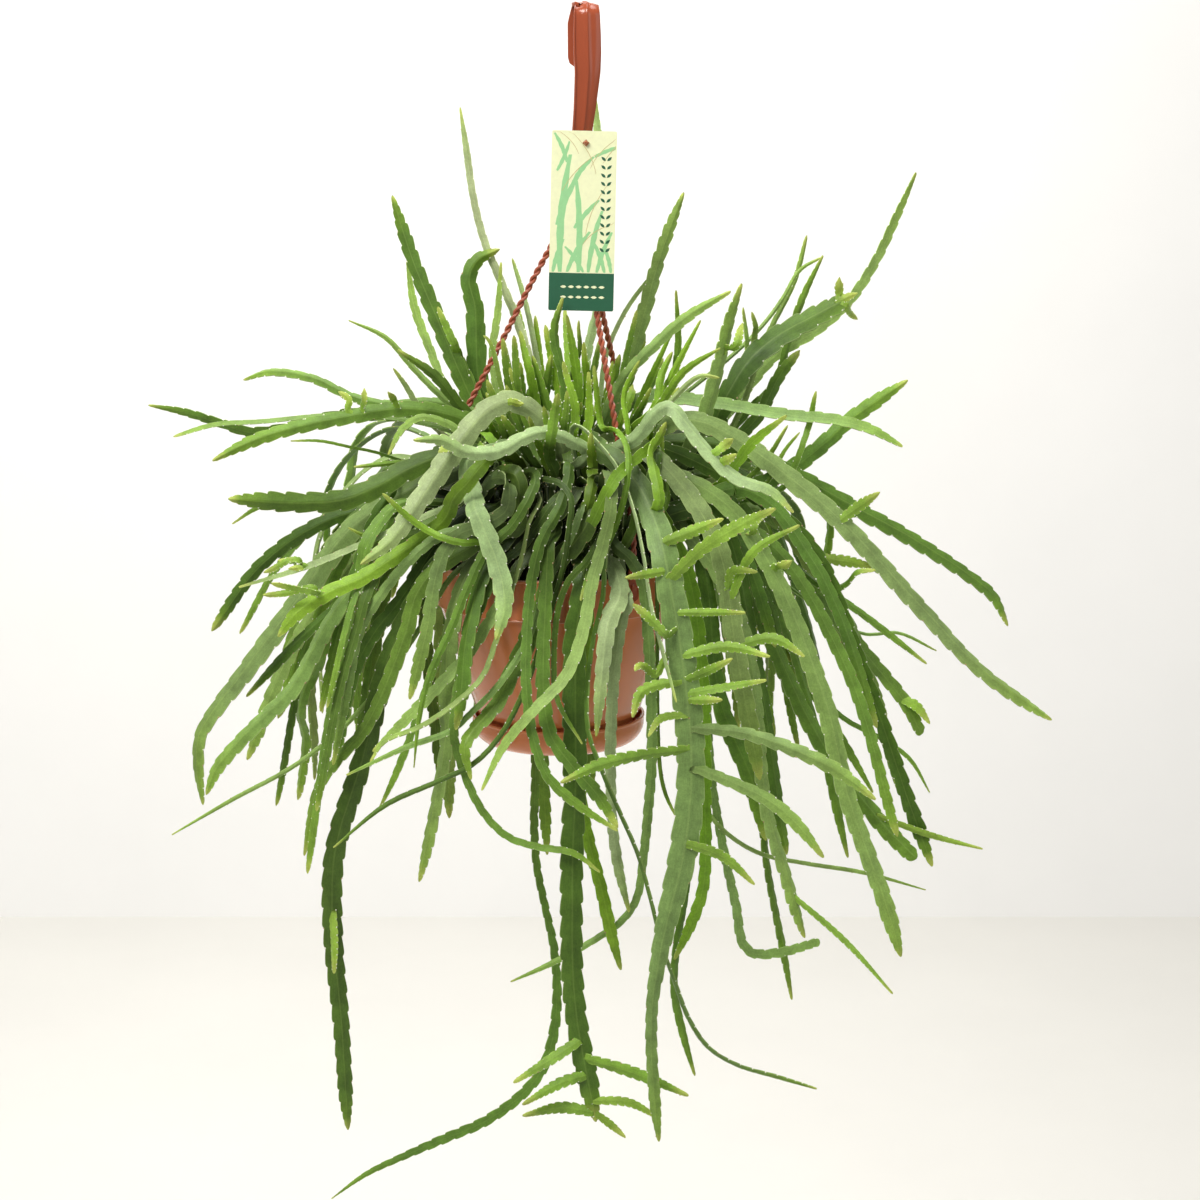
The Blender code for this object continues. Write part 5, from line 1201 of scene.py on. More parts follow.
def extra_strands(strands, clumps):
    """The thin stems and shoots that only the finished look has."""
    names = {strand["name"]: strand for strand in strands}
    stems = {name: traced_stem(*entry[1:]) for name, entry in EXTRA_STEMS.items()}
    stems |= back_stems(EXTRA_BACK_LETTER, EXTRA_BACK_STEMS, EXTRA_BACK_SEED)
    stems |= filler_stems()
    made = []
    for order, (name, (points, widths)) in enumerate(stems.items()):
        number = nearest_clump(points, clumps)
        foot = clumps[number][0] + EXTRA_FOOT_SPREAD * heading(NEXT_TURN * order)
        made.append(stem_strand(name, number, foot, points, widths, order + 200))
    for order, (parent, *traced) in enumerate(EXTRA_SHOOTS):
        shoot = shoot_strand(order + 50, names[parent], None, *traced)
        seat_on_stem(shoot, names[parent])
        made.append(shoot)
    return made


def balls_of(strands):
    """Points over the strands, which further stems stay clear of."""
    places = []
    for strand in strands:
        columns = np.column_stack([strand["route"], strand["looks"], strand["half"]])
        line = smooth_route(columns, BALL_SPACING)
        middle, wide = line[:, :3], line[:, 6:7]
        side = unit(np.cross(ways(middle), line[:, 3:6]))
        for share in (-0.9, -0.45, 0.0, 0.45, 0.9) if wide.max() > 0.0045 else (-0.6, 0.6):
            places.append(middle + side * wide * share)
    return np.vstack(places)


def all_strands():
    """The clumps, and every stem and shoot bent clear of the rest."""
    stems = {name: traced_stem(*entry[1:]) for name, entry in STEMS.items()}
    stems |= back_stems(BACK_LETTER, BACK_STEMS, BACK_SEED)
    clumps = rooted(stems)
    strands = strands_of(stems, clumps)
    obstacles = held_places()
    Bending(strands, obstacles, CLEARANCE).run(BEND_ROUNDS[0], SMOOTHING[0])
    for strand in strands:
        straightened(strand)
    Bending(strands, obstacles, FINE_CLEARANCE).run(BEND_ROUNDS[1], SMOOTHING[1])
    for strand in strands:
        if strand["parent"] is not None:
            seat_on_stem(strand, strands[strand["parent"]])
    extra = extra_strands(strands, clumps)
    fixed = np.vstack([obstacles, balls_of(strands)])
    Bending(extra, fixed, EXTRA_CLEARANCE).run(EXTRA_ROUNDS, EXTRA_SMOOTHING)
    return clumps, strands + extra


# A tooth of the margin over one step of growth: how far along it, and how far out it stands
TOOTH = ((0.0, 0.3, 0.42, 0.5, 0.8, 0.92, 1.0), (0.0, 0.5, 0.66, 0.75, 1.0, 0.8, 0.0))
WIDE_ROWS = (0.0, 0.3, 0.42, 0.5, 0.8, 0.92)
NARROW_ROWS = (0.0, 0.4, 0.5, 0.9)
TIP_ROWS = np.array((0.75, 0.45, 0.22, 0.08, 0.02))
LINE_STEP = 0.0012
LEAST_HALF = 0.0005
LEAST_RING_STEP = 0.0003
WIDEST_SHOOT = 0.0044
WIDE_BLADE = 0.0042
SHOOT_SWELL = 1.3
TIP_REACH = {"blunt": 1.1, "pointed": 2.4}
TIP_BACK = 0.006
BLADE_THICKNESS = 0.0021
MARGIN_THICKNESS = 0.00042
KEEL_HEIGHT = 0.00022
FACE_THICKNESS = 0.82
NOTCH_DEPTH = 0.00045
NOTCH_SHARE = 0.13
TOOTH_MIDDLE = 0.45
FOLD = math.radians(12)
FOLD_WAVE = math.radians(7)
FOLD_WAVE_LENGTH = 0.085
GROWTH_STEP = 0.0075
GROWTH_SHARE = 0.60
YOUNG_GROWTH = 0.6
BARE_HALF = 0.0014
BARE_BASE = 0.06
TUFT_SEAT = 0.00012
TUFT_SIZE = 0.00042
TUFT_SHARE = 0.06
LARGEST_TUFT = 0.0008
KEEL_SHARE = 0.26
MARGIN_LINES = (0, 4, 5, 9)
MARGIN_LIGHT = 1.12
TUFT_SHAPE = (1.3, 0.9, 1.15)
TUFT_COLOURS = ((0.95, 0.95, 0.75), (0.45, 0.33, 0.16))
BROWN_TUFTS = 0.15
CROWN_SIDES = 10
CROWN_PROFILE = (
    (0.0040, -ROOT_DEPTH), (0.0052, -0.004), (0.0054, 0.0), (0.0046, 0.0022), (0.0026, 0.0034)
)
CROWN_COLOUR = (0.16, 0.13, 0.06)

# The stems' colours by tone, how they lighten from base to tip, and how far the young end reaches
# The pale and grey tones are partly the stems' own colour and partly painted sheen: the white sky
# reflected on waxy faces
TONES = {
    "pale": (0.35, 0.455, 0.200),
    "grey": (0.225, 0.33, 0.092),
    "light": (0.235, 0.36, 0.090),
    "bright": (0.19, 0.35, 0.024),
    "mid": (0.135, 0.250, 0.034),
    "dark": (0.088, 0.172, 0.020),
    "deep": (0.052, 0.110, 0.011),
    "shoot": (0.25, 0.42, 0.050),
}
LIGHTENING = {
    "pale": (0.88, 1.12), "grey": (0.95, 0.95), "dark": (0.85, 1.18), "shoot": (0.95, 1.1)
}
YOUNG_REACH = {"dark": 0.030, "pale": 0.05, "grey": 0.09, "shoot": 0.03}
# How far the bases are drawn towards their dark colour: partly old growth, partly painted shade
BASE_SHADE = 0.88
# The painted shade in the crown: its strength, its reach out from the pot's axis and up from the
# rim, and its soft edge
HEART_SHADE = 0.76
HEART_RADIUS = 0.125
HEART_HEIGHT = 0.105
HEART_EDGE = 0.04
DRIFT = 0.10
DRIFT_LENGTH = 0.11
OTHER_LIGHTENING = (0.76, 1.24)
OTHER_YOUNG_REACH = 0.07
YOUNG_SHARE = {"blunt": 0.25, "pointed": 0.6}
TIP_SHARE = {"blunt": 0.0, "pointed": 0.9}
TIP_COLOUR_REACH = 0.013
SHOOT_TIP_REACH = 0.014
BASE_REACH = 0.16


def tone_of(strand, draw):
    """The strand's own colour, a little different in each."""
    name = strand["name"]
    if name in STEMS:
        tone = STEMS[name][0]
    elif name in EXTRA_STEMS:
        tone = EXTRA_STEMS[name][0]
    elif name.startswith("shoot"):
        tone = "shoot" if strand["half"].max() < WIDEST_SHOOT else "light"
    elif name[0] == "f":
        tone = FILLER_TONES[name[1]]
    else:
        tone = ("mid", "dark", "mid", "light")[int(draw.integers(4))]
    colour = np.array(TONES[tone]) * draw.uniform(0.9, 1.1)
    return tone, colour * (1 + draw.uniform(-0.05, 0.05, 3))


def growth_steps(along, half, young):
    """How many steps of growth lie below each place: they are shorter on thin stems and at tips."""
    left = along[-1] - along
    pitch = GROWTH_STEP + GROWTH_SHARE * 2 * half
    pitch = pitch * (0.45 + 0.55 * np.clip(left / 0.05, 0, 1))
    pitch *= YOUNG_GROWTH if young else 1.0
    rate = 1 / pitch
    return np.concatenate([[0], np.cumsum((rate[1:] + rate[:-1]) / 2 * np.diff(along))])


def ring_places(steps, along, wide, tip):
    """Where the blade's rings stand: at the corners of its teeth, and closer at its tip."""
    inside = np.array(WIDE_ROWS if wide else NARROW_ROWS)
    levels = np.arange(math.floor(steps[0]), math.ceil(steps[-1]) + 1)[:, None] + inside
    levels = levels.ravel()
    places = np.interp(levels[(levels > steps[0]) & (levels < steps[-1])], steps, along)
    body = places[places < along[-1] - 0.9 * tip]
    places = np.sort(np.concatenate([[0.0], body, along[-1] - tip * TIP_ROWS]))
    return places[np.concatenate([[True], np.diff(places) > LEAST_RING_STEP])]


def notch_rows(steps, along, places, shift):
    """The blade's rings that stand in the notches of one margin."""
    levels = np.arange(math.ceil(steps[0] + shift), math.floor(steps[-1] + shift) + 1) - shift
    return [int(np.abs(places - at).argmin()) for at in np.interp(levels, steps, along)]


def cross_section(left, right, flat, thick, fold):
    """The ten lines of a blade, each as steps aside and out: both margins, both keels and faces."""
    margin = np.minimum(MARGIN_THICKNESS, 0.55 * thick)
    keel = thick + KEEL_HEIGHT * np.clip(flat / 0.004, 0.3, 1)
    inner, face = KEEL_SHARE * flat, FACE_THICKNESS * thick
    upper = (
        (-left, margin - fold * left),
        (-inner, face - fold * inner),
        (0 * flat, keel),
        (inner, face - fold * inner),
        (right, margin - fold * right),
    )
    lower = (
        (right, -fold * right - margin),
        (inner, -fold * inner - face),
        (0 * flat, -keel),
        (-inner, -fold * inner - face),
        (-left, -fold * left - margin),
    )
    return upper + lower


def drawn_to(colours, share, colour):
    """The colours drawn towards this one by a share for each row."""
    share = share[:, None]
    return colours * (1 - share) + np.array(colour) * share


def blade_colours(strand, look, young, places, total, middle, draw):
    """The colour of each ring: its tone, the young end and tip, the old bases partly in painted
    shade, and painted shade in the crown.
    """
    end = "blunt" if strand["name"] in BLUNT_STEMS else "pointed"
    tone, colour = tone_of(strand, draw)
    drift = 1 + DRIFT * np.sin(places / DRIFT_LENGTH + draw.uniform(0, 6))
    low, high = LIGHTENING.get(tone, OTHER_LIGHTENING)
    shade = colour * (drift * (low + (high - low) * places / total))[:, None]
    left_over = total - places
    reach = YOUNG_REACH.get(tone, OTHER_YOUNG_REACH)
    share = np.clip(1 - left_over / reach, 0, 1) * YOUNG_SHARE[end]
    shade = drawn_to(shade, share, look.young_colour)
    reach = SHOOT_TIP_REACH if young else TIP_COLOUR_REACH * draw.uniform(0.5, 1.2)
    share = np.clip(1 - left_over / reach, 0, 1) ** 0.8 * TIP_SHARE[end]
    shade = drawn_to(shade, share, look.tip_colour)
    # The bases are drawn towards a dark colour: partly the older growth's own colour, partly
    # painted shade deep in the crown; side shoots are left out
    if not strand["name"].startswith("shoot"):
        rise = np.clip(places / min(BASE_REACH, 0.55 * total), 0, 1)
        share = (1 - rise * rise * (3 - 2 * rise)) * BASE_SHADE
        shade = drawn_to(shade, share, look.old_base_and_shade_colour)
    if young or tone == "pale":
        return shade
    # Painted shade: rings low in the crown near the pot's middle are darkened where the plant
    # shades itself; young shoots, pale stems and the parts hanging below the rim are left out
    out = np.hypot(middle[:, 0] - POT_X, middle[:, 1])
    rise = middle[:, 2] - RIM_Z
    heart = np.clip((HEART_RADIUS - out) / HEART_EDGE, 0, 1)
    heart = heart * np.clip((HEART_HEIGHT - rise) / HEART_EDGE, 0, 1)
    return shade * (1 - HEART_SHADE * heart * np.clip((rise + 0.015) / 0.02, 0, 1))[:, None]


def blade(strand, look, draw):
    """One strap-like stem: vertices, faces, colours, skin places, lines and its dots' seats."""
    columns = np.column_stack([strand["route"], strand["looks"], strand["half"]])
    line = smooth_route(columns, LINE_STEP)
    along = lengths_along(line)
    total = along[-1]
    half = np.maximum(line[:, 6], LEAST_HALF)
    young = strand["name"].startswith("shoot") and half.max() < WIDEST_SHOOT
    if young:
        half = SHOOT_SWELL * half
        line[:, 6] = half
    steps = growth_steps(along, half, young) + draw.uniform(0, 1)
    tip = TIP_REACH["blunt" if strand["name"] in BLUNT_STEMS else "pointed"]
    tip *= np.interp(total - TIP_BACK, along, half)
    places = ring_places(steps, along, half.max() > WIDE_BLADE, tip)
    read = at_places(line, places, along)
    middle = read[:, :3]
    tangent = unit(at_places(np.gradient(line[:, :3], axis=0), places, along))
    face = unit(squared(read[:, 3:6], tangent))
    side = np.cross(tangent, face)
    step = np.interp(places, along, steps)
    rounding = 1 - (1 - np.clip((total - places) / tip, 0, 1)) ** 2
    flat = np.maximum(read[:, 6], LEAST_HALF) * np.sqrt(np.clip(rounding, 0.02, 1))
    notch = (NOTCH_DEPTH + NOTCH_SHARE * flat) * draw.uniform(0.75, 1.25)
    notch *= np.clip(flat / 0.0025 - 0.4, 0.25, 1)
    notch *= look.notch_depth * (1.4 if young else 1.1)
    left = flat + notch * (np.interp(step % 1, *TOOTH) - TOOTH_MIDDLE)
    right = flat + notch * (np.interp((step + 0.5) % 1, *TOOTH) - TOOTH_MIDDLE)
    thick = BLADE_THICKNESS * np.clip(half.max() / 0.004, 0.62, 1)
    thick = np.minimum(thick, 1.5 * flat) / 2
    turned = 1 if draw.uniform() < 0.75 else -1
    waves = np.sin(places / FOLD_WAVE_LENGTH + draw.uniform(0, 6))
    fold = turned * np.tan(FOLD + FOLD_WAVE * waves) * (0.6 if young else 1)
    shape = cross_section(left, right, flat, thick, fold)
    rings = np.stack([middle + side * x[:, None] + face * z[:, None] for x, z in shape], axis=1)
    rows, sides = rings.shape[:2]
    begin = np.arange(rows - 1)[:, None] * sides
    start, after = begin + np.arange(sides), begin + (np.arange(sides) + 1) % sides
    quads = np.stack([start, after, after + sides, start + sides], axis=-1).reshape(-1, 4)
    caps = [list(range(sides)), list(range((rows - 1) * sides, rows * sides))[::-1]]
    shade = blade_colours(strand, look, young, places, total, middle, draw)
    colours = np.repeat(shade[:, None], sides, axis=1)
    colours[:, MARGIN_LINES] *= MARGIN_LIGHT
    across = np.array((0.0, 0.5 - KEEL_SHARE / 2, 0.5, 0.5 + KEEL_SHARE / 2, 1.0))
    skin = np.zeros((rows, sides, 2))
    skin[:, :, 0] = np.concatenate([across, across[::-1]])
    skin[:, :, 1] = places[:, None] * 10
    seats = []
    for shift, corners, way in ((0.0, (0, 9), -1), (0.5, (4, 5), 1)):
        for row in notch_rows(steps, along, places, shift):
            if flat[row] < BARE_HALF or (not young and places[row] < BARE_BASE) or row > rows - 4:
                continue
            out = side[row] * way
            spot = rings[row, list(corners)].mean(axis=0) + out * TUFT_SEAT
            size = min(LARGEST_TUFT, TUFT_SIZE + TUFT_SHARE * flat[row])
            seats.append((spot, tangent[row], out, size))
    lines = np.tile(np.arange(sides), rows)
    faces = quads.tolist() + caps
    return rings.reshape(-1, 3), faces, colours.reshape(-1, 3), skin.reshape(-1, 2), lines, seats


def tufts(seats, draw):
    """The small woolly dots in the notches, as eight-faced grains."""
    verts, faces, colours = [], [], []
    for spot, along, out, size in seats:
        size *= draw.uniform(0.7, 1.25)
        first = len(verts)
        for axis, stretch in zip((along, out, np.cross(along, out)), TUFT_SHAPE):
            verts += [spot + axis * size * stretch, spot - axis * size * stretch]
        for a in (0, 1):
            for b in (2, 3):
                for c in (4, 5):
                    face = [first + a, first + b, first + c]
                    faces.append(face if (a + b + c) % 2 else face[::-1])
        colours += [TUFT_COLOURS[int(draw.uniform() < BROWN_TUFTS)]] * 6
    return verts, faces, colours


def tube_faces(rows, sides):
    """The faces of a closed tube of this many rings, with both its ends."""
    faces = []
    for start in range(0, (rows - 1) * sides, sides):
        for side in range(sides):
            a, b = start + side, start + (side + 1) % sides
            faces.append([a, b, b + sides, a + sides])
    ends = list(range(sides))[::-1], list(range((rows - 1) * sides, rows * sides))
    return [*faces, *ends]


def crown(root, draw):
    """The short woody crown that a clump's stems rise from."""
    verts = []
    for radius, rise in CROWN_PROFILE:
        for side in range(CROWN_SIDES):
            size = radius * draw.uniform(0.9, 1.08)
            verts.append(root + size * heading(2 * math.pi * side / CROWN_SIDES) + rise * UP)
    return verts, tube_faces(len(CROWN_PROFILE), CROWN_SIDES), [CROWN_COLOUR] * len(verts)


def clump_mesh(name, root, strands, look, draw):
    """One clump's stems, shoots, dots and crown as one mesh with its colours and skin map."""
    faces, seats, columns = [], [], []
    count = 0

    def add(points, shapes, colours, skin, lines):
        nonlocal count
        faces.extend([[index + count for index in shape] for shape in shapes])
        columns.append(np.column_stack([points, colours, skin, lines]))
        count += len(points)

    for strand in strands:
        *parts, spots = blade(strand, look, draw)
        add(*parts)
        seats += spots
    for points, shapes, colours in (tufts(seats, draw), crown(root, draw)):
        if points:
            add(points, shapes, colours, np.full((len(points), 2), 0.25), np.full(len(points), -1))
    columns = np.vstack(columns)
    mesh = bpy.data.meshes.new(name)
    mesh.from_pydata(columns[:, :3].tolist(), [], faces)
    mesh.shade_smooth()
    pairs = np.zeros(len(mesh.edges) * 2, int)
    mesh.edges.foreach_get("vertices", pairs)
    one, two = columns[pairs[::2], 8], columns[pairs[1::2], 8]
    mesh.edges.foreach_set("use_edge_sharp", (one == two) & np.isin(one, MARGIN_LINES))
    tones = mesh.color_attributes.new("tone", "FLOAT_COLOR", "POINT")
    shades = np.column_stack([columns[:, 3:6], np.ones(count)])
    tones.data.foreach_set("color", shades.astype(np.float32).ravel())
    corners = np.zeros(len(mesh.loops), int)
    mesh.loops.foreach_get("vertex_index", corners)
    layer = mesh.uv_layers.new(name="skin")
    layer.data.foreach_set("uv", columns[corners, 6:8].astype(np.float32).ravel())
    return mesh


class Paint:
    """A material's nodes, added one at a time."""

    def __init__(self, name):
        self.material = bpy.data.materials.new(name)
        self.material.use_nodes = True
        self.tree = self.material.node_tree
        self.shader = self.tree.nodes["Principled BSDF"]

    def add(self, kind, values=None, **settings):
        """A new node with these inputs and settings."""
        made = self.tree.nodes.new("ShaderNode" + kind)
        for key, value in settings.items():
            setattr(made, key, value)
        for key, value in (values or {}).items():
            self.put(made.inputs[key], value)
        return made

    def put(self, socket, value):
        """Sets the socket to a plain value, or links it to another socket or node."""
        if isinstance(value, bpy.types.NodeSocket):
            self.tree.links.new(value, socket)
        elif isinstance(value, bpy.types.Node):
            self.tree.links.new(value.outputs[0], socket)
        else:
            socket.default_value = value

    def set(self, **values):
        """Sets the shader's own inputs."""
        for key, value in values.items():
            self.put(self.shader.inputs[key.replace("_", " ")], value)

    def place(self):
        """The place on the object itself."""
        return self.add("TexCoord").outputs["Object"]

    def noise(self, scale, detail=3, roughness=0.55, vector=None, stretch=None):
        """A noise texture, over a stretched place where a stretch is given."""
        source = vector or self.place()
        if stretch:
            source = self.add("Mapping", {"Vector": source, "Scale": stretch}).outputs[0]
        values = {"Vector": source, "Scale": scale, "Detail": detail, "Roughness": roughness}
        return self.add("TexNoise", values)

    def cloud(self, low, high, *noise, **settings):
        """A noise texture that varies between these two values."""
        return self.ramp(self.noise(*noise, **settings), 0.3, 0.7, low, high)

    def tinted(self, colour, factor):
        """The colour made darker and lighter by this factor."""
        grey = self.add("CombineXYZ", {"X": factor, "Y": factor, "Z": factor})
        return self.blend(1.0, colour, grey, "MULTIPLY")

    def lightened(self, colour, share, light):
        """The colour with this light added by the share."""
        return self.blend(share, colour, self.blend(1.0, colour, (*light, 1), "ADD"))

    def away_from(self, value, middle):
        """How far the value is from this middle."""
        return self.sum("ABSOLUTE", self.sum("SUBTRACT", value, middle), 0.0)

    def ramp(self, value, low, high, to_low, to_high, smooth=False):
        """The value brought from one range to another."""
        kind = "SMOOTHSTEP" if smooth else "LINEAR"
        values = {"Value": value, "From Min": low, "From Max": high}
        values |= {"To Min": to_low, "To Max": to_high}
        return self.add("MapRange", values, interpolation_type=kind)

    def sum(self, kind, one, two):
        """A step of arithmetic between two values."""
        made = self.add("Math", operation=kind)
        self.put(made.inputs[0], one)
        self.put(made.inputs[1], two)
        return made

    def blend(self, share, one, two, kind="MIX"):
        """The first colour with the second laid over it by the share."""
        made = self.add("Mix", data_type="RGBA", blend_type=kind)
        self.put(made.inputs[0], share)
        self.put(made.inputs[6], one)
        self.put(made.inputs[7], two)
        return made.outputs[2]

    def bump(self, height, distance, strength):
        """The surface's direction, tilted by these heights."""
        return self.add("Bump", {"Height": height, "Distance": distance, "Strength": strength})


def stem_skin():
    """Waxy green skin: mottled, with a lighter midrib and margin and fine lengthwise wrinkles."""
    paint = Paint("lepismium_skin")
    tone = paint.add("Attribute", attribute_name="tone").outputs["Color"]
    skin = paint.add("UVMap", uv_map="skin").outputs[0]
    across = paint.add("SeparateXYZ", {"Vector": skin}).outputs[0]
    off = paint.away_from(across, 0.5)
    rib = paint.ramp(off, 0.012, 0.055, 0.75, 0, smooth=True)
    edge = paint.ramp(off, 0.455, 0.495, 0, 0.8, smooth=True)
    grain = paint.ramp(paint.noise(900, 2), 0.35, 0.7, 0.91, 1.11)
    factor = paint.sum("MULTIPLY", paint.cloud(0.74, 1.26, 75, 5, 0.65), grain)
    streaks = paint.cloud(0.88, 1.13, 3.0, vector=skin, stretch=(14.0, 2.2, 1.0))
    colour = paint.tinted(tone, paint.sum("MULTIPLY", factor, streaks))
    colour = paint.lightened(colour, rib, (0.055, 0.065, 0.020))
    colour = paint.lightened(colour, edge, (0.13, 0.14, 0.06))
    wrinkle = paint.noise(3.0, vector=skin, stretch=(9.0, 5.0, 1.0))
    height = paint.sum("ADD", wrinkle, paint.sum("MULTIPLY", paint.noise(420), 0.35))
    paint.set(
        Base_Color=colour,
        Roughness=paint.cloud(0.36, 0.52, 160),
        Normal=paint.bump(height, 0.00045, 0.5),
        Specular_IOR_Level=0.3,
    )
    return paint.material


def moulded_plastic(name, colour, rough=(0.10, 0.20), lines=()):
    """Glossy moulded plastic: faint cloudiness, fine scratches and painted highlights as pale lines
    at these heights.
    """
    paint = Paint(name)
    tone = paint.tinted((*colour, 1), paint.cloud(0.95, 1.05, 26, 4))
    height = paint.add("SeparateXYZ", {"Vector": paint.place()}).outputs[2]
    # Painted highlight: the colour is drawn to a pale tint in a narrow band at each height
    for level, half in lines:
        off = paint.away_from(height, level)
        share = paint.ramp(off, half * 0.4, half, 0.55, 0, smooth=True)
        tone = paint.blend(share, tone, (*PAINTED_HIGHLIGHT_COLOUR, 1))
    scratches = paint.noise(1.0, 2, stretch=(60, 60, 700))
    paint.set(
        Base_Color=tone,
        Roughness=paint.cloud(*rough, 90, 4),
        Normal=paint.bump(paint.sum("ADD", paint.noise(90, 2), scratches), 0.00004, 0.25),
        Specular_IOR_Level=0.5,
    )
    return paint.material


def peat():
    """Dark brown peat with paler fibres and crumbs."""
    paint = Paint("peat")
    dark, brown, fibre = ((*colour, 1) for colour in PEAT_COLOURS)
    crumbs = paint.add("TexVoronoi", {"Vector": paint.place(), "Scale": 260.0})
    share = paint.ramp(paint.noise(120, 6, 0.7), 0.35, 0.68, 0, 1)
    pale = paint.ramp(paint.noise(650), 0.62, 0.70, 0, 0.8)
    height = paint.sum("ADD", paint.noise(200, 8, 0.75), crumbs.outputs["Distance"])
    paint.set(
        Base_Color=paint.blend(pale, paint.blend(share, dark, brown), fibre),
        Roughness=0.95,
        Normal=paint.bump(height, 0.002, 1.0),
    )
    return paint.material


def printed_card(name, colour):
    """Coated board: its flat ink colour with the faint mottle of print and paper."""
    paint = Paint(name)
    paint.set(
        Base_Color=paint.tinted((*colour, 1), paint.cloud(0.965, 1.03, 300, 5)),
        Roughness=paint.cloud(0.34, 0.44, 80),
        Normal=paint.bump(paint.noise(900), 0.00003, 0.4),
    )
    return paint.material


def plain_ground(name, colour, rough):
    """The studio's matt table or wall."""
    paint = Paint(name)
    paint.set(
        Base_Color=paint.tinted((*colour, 1), paint.cloud(0.985, 1.012, 3)),
        Roughness=rough,
        Normal=paint.bump(paint.noise(180), 0.0002, 0.1),
    )
    return paint.material


def placed(name, data):
    """A new object of this mesh, lamp or camera in the scene."""
    made = bpy.data.objects.new(name, data)
    bpy.context.scene.collection.objects.link(made)
    return made


def dressed(made, material, slot, *stands_for):
    """Gives a finished body its material, lets it ride on the part's root body and hides the nodes
    it stands for.
    """
    made.data.materials.clear()
    made.data.materials.append(material)
    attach(made, "root")
    for node in stands_for:
        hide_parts(node)
    return made


def new_piece(name, mesh, material, slot, *stands_for):
    """A finished piece of this mesh."""
    return dressed(placed(name, mesh), material, slot, *stands_for)


def only(target):
    """Leaves just this object selected and active."""
    for item in bpy.context.selected_objects:
        item.select_set(False)
    target.select_set(True)
    bpy.context.view_layer.objects.active = target


def spun(name, profile, rounding):
    """A body turned about the pot's axis from its radii and drops below the rim, edges rounded."""
    mesh = bpy.data.meshes.new(name)
    edges = [(place, place + 1) for place in range(len(profile) - 1)]
    mesh.from_pydata([(POT_X + radius, 0, RIM_Z - drop) for radius, drop in profile], edges, [])
    made = placed(name, mesh)
    only(made)
    bpy.ops.object.mode_set(mode="EDIT")
    bpy.ops.mesh.select_all(action="SELECT")
    turn = {"angle": 2 * math.pi, "center": (POT_X, 0, 0), "axis": (0, 0, 1)}
    bpy.ops.mesh.spin(steps=TURNING_STEPS, **turn)
    bpy.ops.mesh.select_all(action="SELECT")
    bpy.ops.mesh.remove_doubles(threshold=0.00002)
    bpy.ops.mesh.normals_make_consistent(inside=False)
    bpy.ops.object.mode_set(mode="OBJECT")
    soften(made, rounding)
    return made


def drilled(target, radius, place, sides):
    """Takes a round hole out of the body, along the place's own Z axis."""
    bpy.ops.mesh.primitive_cylinder_add(vertices=sides, radius=radius, depth=DRILL_LENGTH)
    cutter = bpy.context.active_object
    cutter.matrix_world = place
    hole = target.modifiers.new("hole", "BOOLEAN")
    hole.operation = "DIFFERENCE"
    hole.object = cutter
    hole.solver = "EXACT"
    only(target)
    bpy.ops.object.modifier_apply(modifier=hole.name)
    bpy.data.objects.remove(cutter)


def soften(target, width, segments=2, angle=30):
    """Rounds the sharp edges and shades the body smooth."""
    round_off = target.modifiers.new("round_off", "BEVEL")
    round_off.width = width
    round_off.segments = segments
    round_off.limit_method = "ANGLE"
    round_off.angle_limit = math.radians(angle)
    only(target)
    bpy.ops.object.modifier_apply(modifier=round_off.name)
    bpy.ops.object.shade_smooth_by_angle(angle=math.radians(40))


def swept(route, across, outline, turns, scales):
    """A closed outline (x across, y out) carried along the route, with its ends closed."""
    along = ways(route)
    across = unit(squared(np.asarray(across, float) * np.ones((len(route), 1)), along))
    outline = np.asarray(outline, float)
    rings = []
    stations = zip(route, across, np.cross(along, across), turns, scales)
    for middle, x_axis, y_axis, turn, scale in stations:
        cosine, sine = math.cos(turn), math.sin(turn)
        flat = outline * scale
        x = flat[:, 0] * cosine - flat[:, 1] * sine
        y = flat[:, 0] * sine + flat[:, 1] * cosine
        rings.append(middle + x[:, None] * x_axis + y[:, None] * y_axis)
    return np.vstack(rings), tube_faces(len(route), len(outline))


def joined(name, parts, smooth_angle=40):
    """One mesh of several closed shapes, facing out."""
    builder = bmesh.new()
    for verts, faces in parts:
        corners = [builder.verts.new(point) for point in verts]
        for face in faces:
            builder.faces.new([corners[index] for index in face])
    bmesh.ops.recalc_face_normals(builder, faces=builder.faces)
    mesh = bpy.data.meshes.new(name)
    builder.to_mesh(mesh)
    builder.free()
    mesh.shade_smooth()
    mesh.set_sharp_from_angle(angle=math.radians(smooth_angle))
    return mesh


def round_outline(sides, radius):
    """A circle's points."""
    turns = np.arange(sides) * 2 * math.pi / sides
    return np.column_stack([radius * np.cos(turns), radius * np.sin(turns)])


